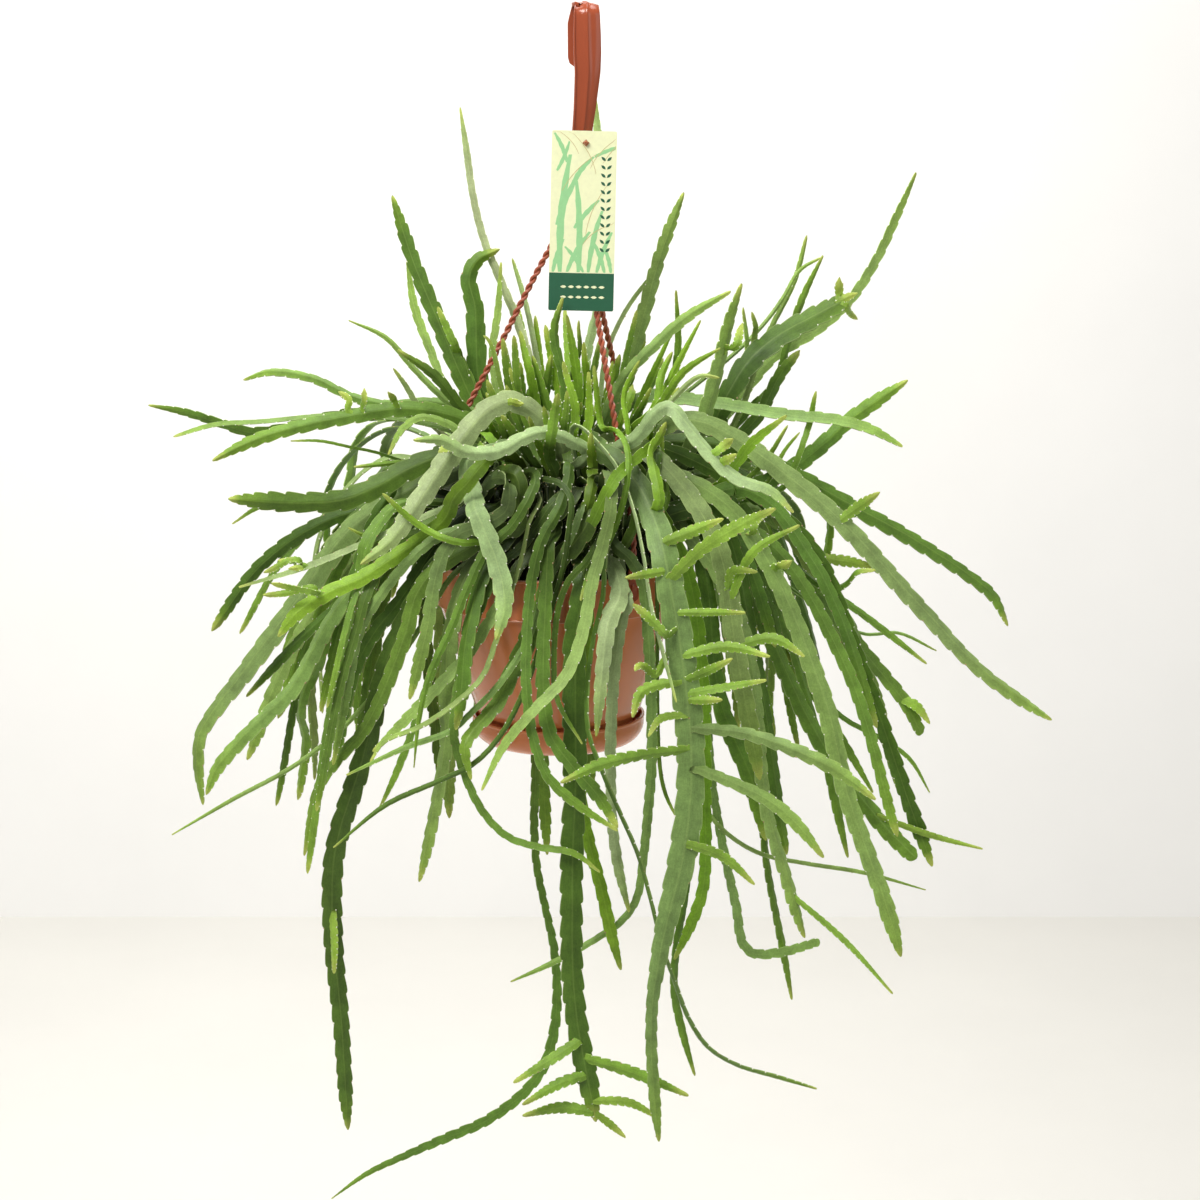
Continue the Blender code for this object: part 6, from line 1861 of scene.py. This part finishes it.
def band_shape():
    """The flat strap bent over to a hook, with a rib down its middle and a raised left edge."""
    middle_z = BAND_THICKNESS / 2 - HOOK_RADIUS * math.cos(math.pi / HOOK_FACETS / 2)
    y_z = [(HOOK_RADIUS, z) for z in np.linspace(-HOOK_RETURN, middle_z - 0.002, 10)]
    for turn in np.linspace(0, math.pi, 22):
        y_z.append((HOOK_RADIUS * math.cos(turn), middle_z + HOOK_RADIUS * math.sin(turn)))
    y_z += [tuple(point[1:]) for point in smooth_route([(0, y, z) for y, z in BAND_FALL], 0.003)]
    leans = [BAND_LEAN["back" if y > 0 else "front"] for y, _ in y_z]
    route = np.array([(np.interp(z, *lean), y, z) for lean, (y, z) in zip(leans, y_z)])
    along = lengths_along(route)
    half, thick = BAND_WIDTH / 2, BAND_THICKNESS / 2
    end = np.clip(along / half, 0, 1)
    places, shares = BAND_TAPER
    taper = np.interp(along, (*places, along[-1]), shares)
    width = taper * np.sqrt(np.clip(1 - (1 - end) ** 2, 0.02, 1))
    places, turns = BAND_TURN
    turns = np.interp(along, (*places, along[-1]), turns)
    outline = [(half * x, thick * y) for x, y in BAND_RIGHT]
    outline += [(x, thick * y) for x, y in BAND_RIB]
    outline += [(half * x, thick * y) for x, y in BAND_LEFT]
    return swept(route, (1, 0, 0), outline, turns, np.column_stack([width, np.ones(len(route))]))


def leg_shapes(route, pitch, phase):
    """Two strands laid round each other, as one leg."""
    fine = smooth_route(route, LEG_DETAIL)
    along = lengths_along(fine)
    way = ways(fine)
    side = unit(np.cross(way, (0.0, 1.0, 0.2)))
    out = np.cross(way, side)
    ring = LEG_TWIST_RADIUS * np.clip(np.minimum(along, along[-1] - along) / 0.006, 0.0, 1)
    plain = np.zeros(len(fine)), np.ones((len(fine), 2))
    shapes = []
    for strand in range(2):
        turn = 2 * math.pi * along / pitch + math.pi * strand + phase
        middle = fine + side * (ring * np.cos(turn))[:, None] + out * (ring * np.sin(turn))[:, None]
        shapes.append(swept(middle, side, round_outline(8, LEG_STRAND_RADIUS), *plain))
    return shapes


def box_shape(*spans):
    """A box with these spans along X, Y and Z."""
    verts = list(itertools.product(*spans))
    faces = [(0, 1, 3, 2), (4, 6, 7, 5), (0, 4, 5, 1), (2, 3, 7, 6), (0, 2, 6, 4), (1, 5, 7, 3)]
    return verts, faces


def lathe_shape(profile, place, sides=24):
    """A small turned form about its own Z axis, moved to its place."""
    verts = [(x, y, z) for radius, z in profile for x, y in round_outline(sides, radius)]
    return [place @ Vector(point) for point in verts], tube_faces(len(profile), sides)


def foot_shape(place):
    """The flat foot against the collar: rounded at its ends, with a raised rim."""
    half = FOOT_WIDTH / 2
    outline = []
    for begin, end in ((0, FOOT_RISE - half), (math.pi, half - FOOT_LENGTH)):
        for turn in np.linspace(begin, begin + math.pi, 9):
            outline.append((half * math.cos(turn), end + half * math.sin(turn)))
    middle = (FOOT_RISE - FOOT_LENGTH) / 2
    span = (FOOT_RISE + FOOT_LENGTH) / 2
    verts = []
    for share, rise in FOOT_LEVELS:
        shrink = 1 - (1 - share) * half / span
        z = foot_face() + FOOT_THICKNESS * rise
        for x, y in outline:
            verts.append(place @ Vector((x * share, middle + (y - middle) * shrink, z)))
    return verts, tube_faces(len(FOOT_LEVELS), len(outline))


def leaf_outline(length, width, bend):
    """A slim notched stem shape as flat points, from its foot at the origin upwards."""
    left, right = [], []
    for index in range(LEAF_STEPS + 1):
        share = index / LEAF_STEPS
        middle = bend * share * share
        half = width / 2 * math.sin(math.pi * min(1, 0.12 + 0.8 * share)) ** 0.6
        half *= 1 + (0.14 if index % 2 else -0.10)
        left.append((middle - half, length * share))
        right.append((middle + half, length * share))
    return left + right[::-1]


def flat_shape(outline, low, high, place):
    """A flat closed form between two heights in the place's frame."""
    count = len(outline)
    verts = [place @ Vector((x, y, z)) for z in (low, high) for x, y in outline]
    faces = [list(range(count))[::-1], list(range(count, 2 * count))]
    faces += [[k, (k + 1) % count, count + (k + 1) % count, count + k] for k in range(count)]
    return verts, faces


# The card's printed sprays: foot across and above the card's lower edge, length, width, bend, lean
CARD_STEMS = (
    (-0.0165, 0.027, 0.082, 0.0050, 0.010, 3),
    (-0.0035, 0.027, 0.064, 0.0044, -0.006, -3),
    (-0.0195, 0.060, 0.046, 0.0036, 0.006, -16),
    (-0.0090, 0.088, 0.024, 0.0034, 0.006, -22),
    (-0.0130, 0.104, 0.022, 0.0030, -0.004, 14),
    (-0.0070, 0.058, 0.026, 0.0032, 0.003, -34),
    (0.0035, 0.027, 0.044, 0.0036, 0.006, -4),
    (0.0095, 0.027, 0.030, 0.0032, 0.004, -12),
    (-0.0115, 0.027, 0.032, 0.0034, 0.006, -18),
    (0.0150, 0.027, 0.024, 0.0030, -0.004, 12),
    (-0.0215, 0.027, 0.024, 0.0032, 0.003, -10),
    (0.0195, 0.027, 0.018, 0.0028, -0.003, 6),
    (0.0000, 0.027, 0.022, 0.0028, -0.004, 26),
    (0.0065, 0.108, 0.024, 0.0026, 0.005, -58),
    (-0.0200, 0.098, 0.022, 0.0026, -0.003, -30),
)
# Its small printed leaf, and its fine tan tendrils, given as the sprays are
LEAFLET = (
    (0, -0.0022), (0.0009, -0.0008), (0.0009, 0.0006), (0, 0.0022), (-0.0009, 0.0006),
    (-0.0009, -0.0008),
)
CARD_TENDRILS = (
    (0.0035, 0.100, 0.030, 0.0005, 0.012, -22),
    (0.0075, 0.096, 0.034, 0.0005, -0.014, 10),
    (-0.0050, 0.110, 0.024, 0.0005, -0.012, 20),
    (-0.0160, 0.084, 0.034, 0.0005, 0.010, -26),
    (0.0125, 0.104, 0.024, 0.0005, 0.006, -30),
    (0.0010, 0.052, 0.040, 0.0005, 0.012, -6),
    (-0.0010, 0.046, 0.026, 0.0005, 0.014, -28),
)
# The sprig beside the sprays: its line across, spread, foot, step, lean and rows. The border's
# dashes: their left, step, top, row height and columns. Then how high each print stands.
SPRIG_LINE = 0.0148
SPRIG_SPREAD = 0.0021
SPRIG_FOOT = 0.043
SPRIG_STEP = 0.0058
SPRIG_LEAN = 48
SPRIG_ROWS = 12
BORDER_LEFT = -0.0138
BORDER_STEP = 0.0054
BORDER_TOP = 0.0168
BORDER_ROW = 0.0072
BORDER_COLUMNS = 6
PRINT_HEIGHT = {
    "stems": 0.00003, "band": 0.00004, "border": 0.00008, "tendrils": 0.00009, "sprig": 0.00012
}
CORNER_POINTS = 5


def rounded_card(left, right, bottom, top, radius):
    """A card's outline with rounded corners."""
    corners = (right, top, -1, -1), (left, top, 1, -1), (left, bottom, 1, 1), (right, bottom, -1, 1)
    outline = []
    for quarter, (x, y, inward_x, inward_y) in enumerate(corners):
        x, y = x + inward_x * radius, y + inward_y * radius
        for turn in np.radians(np.linspace(90 * quarter, 90 * quarter + 90, CORNER_POINTS)):
            outline.append((x + radius * math.cos(turn), y + radius * math.sin(turn)))
    return outline


class PotLook(bpy.types.PropertyGroup):
    """Look of the pot and saucer"""

    colour: bpy.props.FloatVectorProperty(
        name="Plastic",
        description="Colour of the pot and saucer",
        subtype="COLOR",
        default=(0.80, 0.250, 0.100),
    )
    rounding: bpy.props.FloatProperty(
        name="Edge rounding",
        description="Width of the rounded edges of the pot and saucer",
        unit="LENGTH",
        default=0.0003,
    )


class HangerLook(bpy.types.PropertyGroup):
    """Look of the hanger"""

    colour: bpy.props.FloatVectorProperty(
        name="Strap",
        description="Colour of the strap, hub, feet and peg",
        subtype="COLOR",
        default=(0.39, 0.080, 0.030),
    )
    leg_colour: bpy.props.FloatVectorProperty(
        name="Legs",
        description="Colour of the twisted legs",
        subtype="COLOR",
        default=(0.42, 0.105, 0.055),
    )
    twist: bpy.props.FloatProperty(
        name="Twist",
        description="Length of a leg in which its strands go once round each other",
        unit="LENGTH",
        default=0.0132,
    )


class LabelLook(bpy.types.PropertyGroup):
    """Colours of the printed card"""

    board: bpy.props.FloatVectorProperty(
        name="Board",
        description="Colour of the card and its border marks",
        subtype="COLOR",
        default=(0.88, 0.90, 0.56),
    )
    dark: bpy.props.FloatVectorProperty(
        name="Band",
        description="Colour of the lower band and the sprig",
        subtype="COLOR",
        default=(0.020, 0.115, 0.055),
    )
    leaves: bpy.props.FloatVectorProperty(
        name="Leaves",
        description="Colour of the printed stems",
        subtype="COLOR",
        default=(0.33, 0.66, 0.30),
    )
    tendrils: bpy.props.FloatVectorProperty(
        name="Tendrils",
        description="Colour of the printed tendrils",
        subtype="COLOR",
        default=(0.62, 0.52, 0.24),
    )


class SoilLook(bpy.types.PropertyGroup):
    """Look of the peat"""

    crumbs: bpy.props.FloatProperty(
        name="Crumbs",
        description="How far the crumbs rise or sink at the top of the peat",
        unit="LENGTH",
        default=0.0012,
    )


class StemLook(bpy.types.PropertyGroup):
    """Look of the stems"""

    tip_colour: bpy.props.FloatVectorProperty(
        name="Tips",
        description="Colour of the very tips",
        subtype="COLOR",
        default=(0.52, 0.58, 0.12),
    )
    young_colour: bpy.props.FloatVectorProperty(
        name="Young ends",
        description="Colour of the fresh growth below the tips",
        subtype="COLOR",
        default=(0.26, 0.43, 0.03),
    )
    # Colour of the bases: partly the older growth, partly painted shade deep in the crown
    old_base_and_shade_colour: bpy.props.FloatVectorProperty(
        name="Bases",
        description="Colour of the oldest growth, deep in the crown",
        subtype="COLOR",
        default=(0.026, 0.048, 0.008),
    )
    notch_depth: bpy.props.FloatProperty(
        name="Notches",
        description="Depth of the notches, as a share of the usual depth",
        subtype="FACTOR",
        default=1.0,
    )


class StudioLook(bpy.types.PropertyGroup):
    """Look of the studio"""

    table: bpy.props.FloatVectorProperty(
        name="Table",
        description="Colour of the table",
        subtype="COLOR",
        default=(0.76, 0.745, 0.70),
    )
    wall: bpy.props.FloatVectorProperty(
        name="Wall",
        description="Colour of the wall",
        subtype="COLOR",
        default=(0.88, 0.872, 0.855),
    )
    sky: bpy.props.FloatProperty(
        name="Room light",
        description="Strength of the even light from all around",
        subtype="FACTOR",
        default=0.34,
    )
    key: bpy.props.FloatProperty(
        name="Main lamp",
        description="Power of the main lamp",
        unit="POWER",
        default=38,
    )


class MakePot(bpy.types.Operator):
    """Makes the turned pot with its collar, foot and drainage holes"""

    bl_idname = "lepismium.pot"
    bl_label = "Pot"

    def execute(self, context):
        look = context.scene.lepismium_pot
        # Painted highlights along the collar's lower edge and the rim's top
        lines = ((RIM_Z - COLLAR_HEIGHT, 0.0007), (RIM_Z - 0.0002, 0.0006))
        inner = RIM_RADIUS - WALL
        wall_top = RIM_RADIUS - COLLAR_STEP
        profile = [
            (0, POT_HEIGHT - WALL),
            (FOOT_RADIUS - WALL, POT_HEIGHT - WALL),
            (FOOT_RADIUS - WALL, SHOULDER_DROP - WALL),
            (SHOULDER_RADIUS - WALL, SHOULDER_DROP - WALL),
            (wall_top - WALL, COLLAR_HEIGHT),
            (inner, COLLAR_HEIGHT - WALL),
            (inner, 0),
            (RIM_RADIUS + 0.0006, 0),
            (RIM_RADIUS + 0.0006, 0.0018),
            (RIM_RADIUS, 0.0022),
            (RIM_RADIUS, COLLAR_HEIGHT - 0.0012),
            (RIM_RADIUS + 0.0004, COLLAR_HEIGHT - 0.0008),
            (RIM_RADIUS + 0.0003, COLLAR_HEIGHT),
            (wall_top, COLLAR_HEIGHT),
            (wall_top - 0.0009, COLLAR_HEIGHT + 0.003),
            (SHOULDER_RADIUS, SHOULDER_DROP),
            (FOOT_RADIUS, SHOULDER_DROP),
            (FOOT_RADIUS, POT_HEIGHT - FLANGE),
            (FOOT_RADIUS + FLANGE, POT_HEIGHT - FLANGE),
            (FOOT_RADIUS + FLANGE, POT_HEIGHT),
            (0, POT_HEIGHT),
        ]
        pot = spun("pot_shell", profile, look.rounding)
        for drain in range(DRAINS):
            way = heading(2 * math.pi * drain / DRAINS - math.pi / 2)
            spot = RIM_MIDDLE + DRAIN_RING * way - POT_HEIGHT * UP
            drilled(pot, DRAIN_RADIUS, Matrix.Translation(spot), 24)
        plastic = moulded_plastic("pot_plastic", look.colour, lines=lines)
        dressed(pot, plastic, "plastic", "pot")
        return {"FINISHED"}


class MakeSaucer(bpy.types.Operator):
    """Makes the round-bottomed saucer that clips on the pot's foot"""

    bl_idname = "lepismium.saucer"
    bl_label = "Saucer"

    def execute(self, context):
        look = context.scene.lepismium_pot
        level = SAUCER_BOTTOM - SAUCER_CURVE
        profile = [(radius, SAUCER_BOTTOM - rise) for radius, rise in SAUCER_INSIDE]
        profile += [
            (0.0612, SAUCER_DROP),
            (SAUCER_RADIUS + 0.0006, SAUCER_DROP),
            (SAUCER_RADIUS + 0.0006, SAUCER_DROP + 0.0015),
            (SAUCER_RADIUS, SAUCER_DROP + 0.002),
            (SAUCER_RADIUS + 0.0002, level),
        ]
        for turn in np.linspace(0.12, 1.0, 9) * math.pi / 2:
            radius = 0.0465 + 0.0167 * math.cos(turn) ** 0.8
            profile.append((radius, level + SAUCER_CURVE * math.sin(turn) ** 1.1))
        hollow = SAUCER_BOTTOM - 0.0004
        profile += [(0.040, SAUCER_BOTTOM), (0.0395, hollow), (0, hollow)]
        saucer = spun("saucer_dish", profile, look.rounding)
        plastic = moulded_plastic("saucer_plastic", look.colour, rough=(0.12, 0.22))
        dressed(saucer, plastic, "plastic", "saucer")
        return {"FINISHED"}


class MakeHanger(bpy.types.Operator):
    """Makes the strap hook, hub, twisted legs, feet and the label's peg"""

    bl_idname = "lepismium.hanger"
    bl_label = "Hanger"

    def execute(self, context):
        look = context.scene.lepismium_hanger
        plastic = moulded_plastic("hanger_plastic", look.colour, rough=(0.14, 0.24))
        twisted = moulded_plastic("leg_plastic", look.leg_colour, rough=(0.20, 0.34))
        band = joined("band", [band_shape()])
        soften(new_piece("hanger_band", band, plastic, "plastic", "hanger"), 0.0003, angle=50)
        wide = HUB_X - HUB_HALF_WIDTH, HUB_X + HUB_HALF_WIDTH
        deep = -HUB_HALF_DEPTH, HUB_HALF_DEPTH
        hub = joined("hub", [box_shape(wide, deep, (HUB_Z - HUB_BELOW, HUB_Z + HUB_ABOVE))])
        soften(new_piece("hanger_hub", hub, plastic, "plastic"), 0.0022, segments=4)
        legs = []
        for number, route in enumerate(leg_routes()):
            legs += leg_shapes(route, look.twist, 0.7 * number)
        new_piece("hanger_legs", joined("legs", legs), twisted, "plastic")
        outside = foot_face() + FOOT_THICKNESS
        inside = RIM_RADIUS - WALL
        button = (
            (0.0018, outside + 0.0006),
            (0.0025, outside + 0.0002),
            (BUTTON_RADIUS, outside - 0.0003),
            (BUTTON_RADIUS, inside - 0.0006),
            (BUTTON_HEAD_RADIUS, inside - 0.001),
            (BUTTON_HEAD_RADIUS, inside - 0.0016),
            (0.0022, inside - 0.0030),
        )
        feet = []
        for place in map(beside_pot, foot_bearings()):
            below = place @ Matrix.Translation((0, -BUTTON_DROP, 0))
            feet += [foot_shape(place), lathe_shape(button, below)]
        new_piece("hanger_feet", joined("feet", feet), plastic, "plastic")
        front = LABEL_THICKNESS / 2 + GAP
        peg = (
            (PEG_RADIUS * 1.2, -0.0052),
            (PEG_RADIUS, -0.004),
            (PEG_RADIUS, front),
            (PEG_HEAD_RADIUS, front),
            (PEG_HEAD_RADIUS * 0.95, front + 0.0008),
            (PEG_HEAD_RADIUS * 0.45, front + 0.0030),
            (0.0004, front + 0.0036),
        )
        peg = joined("peg", [lathe_shape(peg, label_place(), 4)], 30)
        new_piece("label_peg", peg, plastic, "plastic")
        return {"FINISHED"}


class MakeLabel(bpy.types.Operator):
    """Makes the printed card with its hole, lower band and plant motif"""

    bl_idname = "lepismium.label"
    bl_label = "Label"

    def leaflets(self, spots, high, place):
        """Small printed leaves of the sprig or the border, given across, up and as their lean."""
        shapes = []
        for x, y, lean in spots:
            turn = Matrix.Translation((x, y, 0)) @ Matrix.Rotation(math.radians(lean), 4, "Z")
            outline = [tuple((turn @ Vector((*point, 0)))[:2]) for point in LEAFLET]
            shapes.append(flat_shape(outline, LABEL_THICKNESS / 2, high, place))
        return shapes

    def sprays(self, rows, bottom, field, high, place):
        """Printed stems, each a layer above the last, kept inside the card's field."""
        left, right, low, top = field
        shapes = []
        for index, (x, y, length, width, bend, lean) in enumerate(rows):
            turn = Matrix.Translation((x, bottom + y, 0))
            turn = turn @ Matrix.Rotation(math.radians(lean), 4, "Z")
            points = [turn @ Vector((*point, 0)) for point in leaf_outline(length, width, bend)]
            outline = [(min(max(p.x, left), right), min(max(p.y, low), top)) for p in points]
            lift = high + LAYER * index
            shapes.append(flat_shape(outline, LABEL_THICKNESS / 2, lift, place))
        return shapes

    def execute(self, context):
        look = context.scene.lepismium_label
        board, dark = printed_card("card_cream", look.board), printed_card("card_dark", look.dark)
        place = label_place()
        half = LABEL_THICKNESS / 2
        left, right = LABEL_SHIFT - LABEL_WIDTH / 2, LABEL_SHIFT + LABEL_WIDTH / 2
        top, bottom = LABEL_TOP_MARGIN, LABEL_TOP_MARGIN - LABEL_HEIGHT
        outline = rounded_card(left, right, bottom, top, LABEL_CORNER)
        mesh = joined("card", [flat_shape(outline, -half, half, place)])
        card = new_piece("label_board", mesh, board, "card", "label_card")
        drilled(card, LABEL_HOLE, place, 32)
        band_top = bottom + LABEL_HEIGHT * BAND_SHARE
        edges = left + PRINT_EDGE, right - PRINT_EDGE
        band = rounded_card(*edges, bottom + PRINT_EDGE, band_top, LABEL_CORNER)
        band[: 2 * CORNER_POINTS] = [(edges[1], band_top), (edges[0], band_top)]
        field = (left + 0.0008, right - 0.0008, band_top + 0.0006, top - 0.001)
        foot = bottom + SPRIG_FOOT
        sprig = [
            (SPRIG_LINE + way * SPRIG_SPREAD, foot + SPRIG_STEP * row, -way * SPRIG_LEAN)
            for row in range(SPRIG_ROWS)
            for way in (-1, 1)
        ]
        border = [
            (BORDER_LEFT + BORDER_STEP * column, bottom + BORDER_TOP - BORDER_ROW * row, 90)
            for column in range(BORDER_COLUMNS)
            for row in range(2)
        ]
        high = {kind: half + height for kind, height in PRINT_HEIGHT.items()}
        stems = self.sprays(CARD_STEMS, bottom, field, high["stems"], place)
        tendrils = self.sprays(CARD_TENDRILS, bottom, field, high["tendrils"], place)
        for name, shapes, ink in (
            ("label_band", [flat_shape(band, half, high["band"], place)], dark),
            ("label_motif", stems, printed_card("card_green", look.leaves)),
            ("label_tendrils", tendrils, printed_card("card_tan", look.tendrils)),
            ("label_sprig", self.leaflets(sprig, high["sprig"], place), dark),
            ("label_border", self.leaflets(border, high["border"], place), board),
        ):
            new_piece(name, joined(name, shapes), ink, "card")
        return {"FINISHED"}


class MakeSoil(bpy.types.Operator):
    """Makes the crumbly mound of peat that fills the pot"""

    bl_idname = "lepismium.soil"
    bl_label = "Soil"

    def execute(self, context):
        crumbs = context.scene.lepismium_soil.crumbs
        inner = RIM_RADIUS - WALL - GAP
        shoulder, floor = SHOULDER_DROP - WALL - GAP, POT_HEIGHT - WALL - GAP
        profile = [(0, SOIL_DROP - SOIL_MOUND)]
        for share in np.linspace(0.03, 1, 30):
            profile.append((inner * share, SOIL_DROP - SOIL_MOUND * (1 - share**2)))
        profile += [
            (inner, COLLAR_HEIGHT - WALL - 2 * GAP),
            (inner - COLLAR_STEP, COLLAR_HEIGHT - 2 * GAP),
            (SHOULDER_RADIUS - WALL - 2 * GAP, shoulder),
            (FOOT_RADIUS - WALL - GAP, shoulder),
            (FOOT_RADIUS - WALL - GAP, floor),
            (0, floor),
        ]
        soil = spun("peat_fill", profile, 0.0002)
        draw = np.random.default_rng(SOIL_SEED)
        for vertex in soil.data.vertices:
            out = math.hypot(vertex.co.x - POT_X, vertex.co.y)
            if vertex.co.z > SOIL_Z - 0.002 and out < inner - 0.001:
                vertex.co.z += draw.uniform(-crumbs, crumbs)
        dressed(soil, peat(), "soil", "soil")
        return {"FINISHED"}


class MakeStems(bpy.types.Operator):
    """Grows every clump of stems with its shoots, bent clear of each other"""

    bl_idname = "lepismium.stems"
    bl_label = "Stems"

    def execute(self, context):
        look = context.scene.lepismium_stems
        clumps, strands = all_strands()
        skin = stem_skin()
        for number, (root, _) in enumerate(clumps):
            draw = np.random.default_rng(CLUMP_SEED + number)
            members = [strand for strand in strands if strand["clump"] == number]
            mesh = clump_mesh(f"stems_{number + 1:02d}", root, members, look, draw)
            new_piece(mesh.name, mesh, skin, "stem", f"stem_clump_{number + 1:02d}")
        return {"FINISHED"}


class SetStage(bpy.types.Operator):
    """Sets the pale table and wall, the soft lights and the camera"""

    bl_idname = "lepismium.stage"
    bl_label = "Studio"

    def plane(self, name, place, size, ground):
        """A flat stretch of table or wall."""
        bpy.ops.mesh.primitive_plane_add(size=1)
        made = bpy.context.active_object
        made.name = name
        made.data.transform(place @ Matrix.Diagonal((*size, 1, 1)))
        made.data.materials.append(ground)
        return made

    def aimed(self, name, data, spot, aim):
        """A lamp or camera at this spot that looks at the aim."""
        holder = placed(name, data)
        holder.location = spot
        holder.rotation_euler = Vector(aim - spot).to_track_quat("-Z", "Y").to_euler()
        return holder

    def execute(self, context):
        look = context.scene.lepismium_studio
        ground = plain_ground("table_white", look.table, 0.5)
        place = Matrix.Translation((0, WALL_Y - 7, TABLE_Z))
        table = self.plane("table_top", place, (16, 14), ground)
        ground = plain_ground("wall_white", look.wall, 0.8)
        place = Matrix.Translation((0, WALL_Y, TABLE_Z + 3)) @ Matrix.Rotation(math.pi / 2, 4, "X")
        wall = self.plane("back_wall", place, (16, 6), ground)
        world = context.scene.world or bpy.data.worlds.new("studio")
        context.scene.world = world
        world.use_nodes = True
        sky = world.node_tree.nodes["Background"]
        sky.inputs["Color"].default_value = (1, 1, 1, 1)
        sky.inputs["Strength"].default_value = look.sky
        plant, backdrop = np.array((0, 0, -0.45)), np.array((-0.3, WALL_Y, -0.5))
        for name, spot, aim, size, power, colour in (
            ("key", (-1.0, -1.3, 1.3), plant, 0.9, look.key, (1.0, 0.985, 0.96)),
            ("fill", (1.5, -1.3, 0.2), plant, 1.2, 5, (0.97, 0.98, 1.0)),
            ("top", (0.1, -0.1, 1.4), plant, 1.0, 17, (1, 1, 1)),
            ("wall_wash", (-0.6, 1.3, 1.4), backdrop, 2.4, 88, (1.0, 0.99, 0.965)),
        ):
            lamp = bpy.data.lights.new(name, "AREA")
            lamp.size = size
            lamp.energy = power
            lamp.color = colour
            self.aimed(name, lamp, np.array(spot), aim).visible_camera = False
        lens = bpy.data.cameras.new("photo_camera")
        lens.sensor_width = 36
        lens.lens = 18 / (PHOTO_MIDDLE * PIXEL / EYE_DISTANCE)
        lens.clip_end = 50
        context.scene.camera = self.aimed("photo_camera", lens, EYE, AIM)
        context.scene.view_settings.view_transform = "Standard"
        return {"FINISHED"}


class LepismiumPanel(bpy.types.Panel):
    """Lists the looks and the makers of the hanging lepismium"""

    bl_idname = "VIEW3D_PT_lepismium"
    bl_label = "Lepismium"
    bl_space_type = "VIEW_3D"
    bl_region_type = "UI"
    bl_category = "Lepismium"

    def draw(self, context):
        for name, look in LOOKS.items():
            for key in look.__annotations__:
                self.layout.prop(getattr(context.scene, name), key)
        for maker in OPERATORS:
            self.layout.operator(maker.bl_idname)


LOOKS = {
    "lepismium_pot": PotLook,
    "lepismium_hanger": HangerLook,
    "lepismium_label": LabelLook,
    "lepismium_soil": SoilLook,
    "lepismium_stems": StemLook,
    "lepismium_studio": StudioLook,
}
OPERATORS = (MakePot, MakeSaucer, MakeHanger, MakeLabel, MakeSoil, MakeStems, SetStage)
CLASSES = (*LOOKS.values(), *OPERATORS, LepismiumPanel)


def register():
    for item in CLASSES:
        bpy.utils.register_class(item)
    for name, look in LOOKS.items():
        setattr(bpy.types.Scene, name, bpy.props.PointerProperty(type=look))


def unregister():
    for name in LOOKS:
        delattr(bpy.types.Scene, name)
    for item in reversed(CLASSES):
        bpy.utils.unregister_class(item)


def main():
    """Builds every piece and the studio."""
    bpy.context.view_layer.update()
    register()
    bpy.ops.lepismium.stage()
    bpy.ops.lepismium.pot()
    bpy.ops.lepismium.saucer()
    bpy.ops.lepismium.hanger()
    bpy.ops.lepismium.label()
    bpy.ops.lepismium.soil()
    bpy.ops.lepismium.stems()


if __name__ == "__main__":
    main()
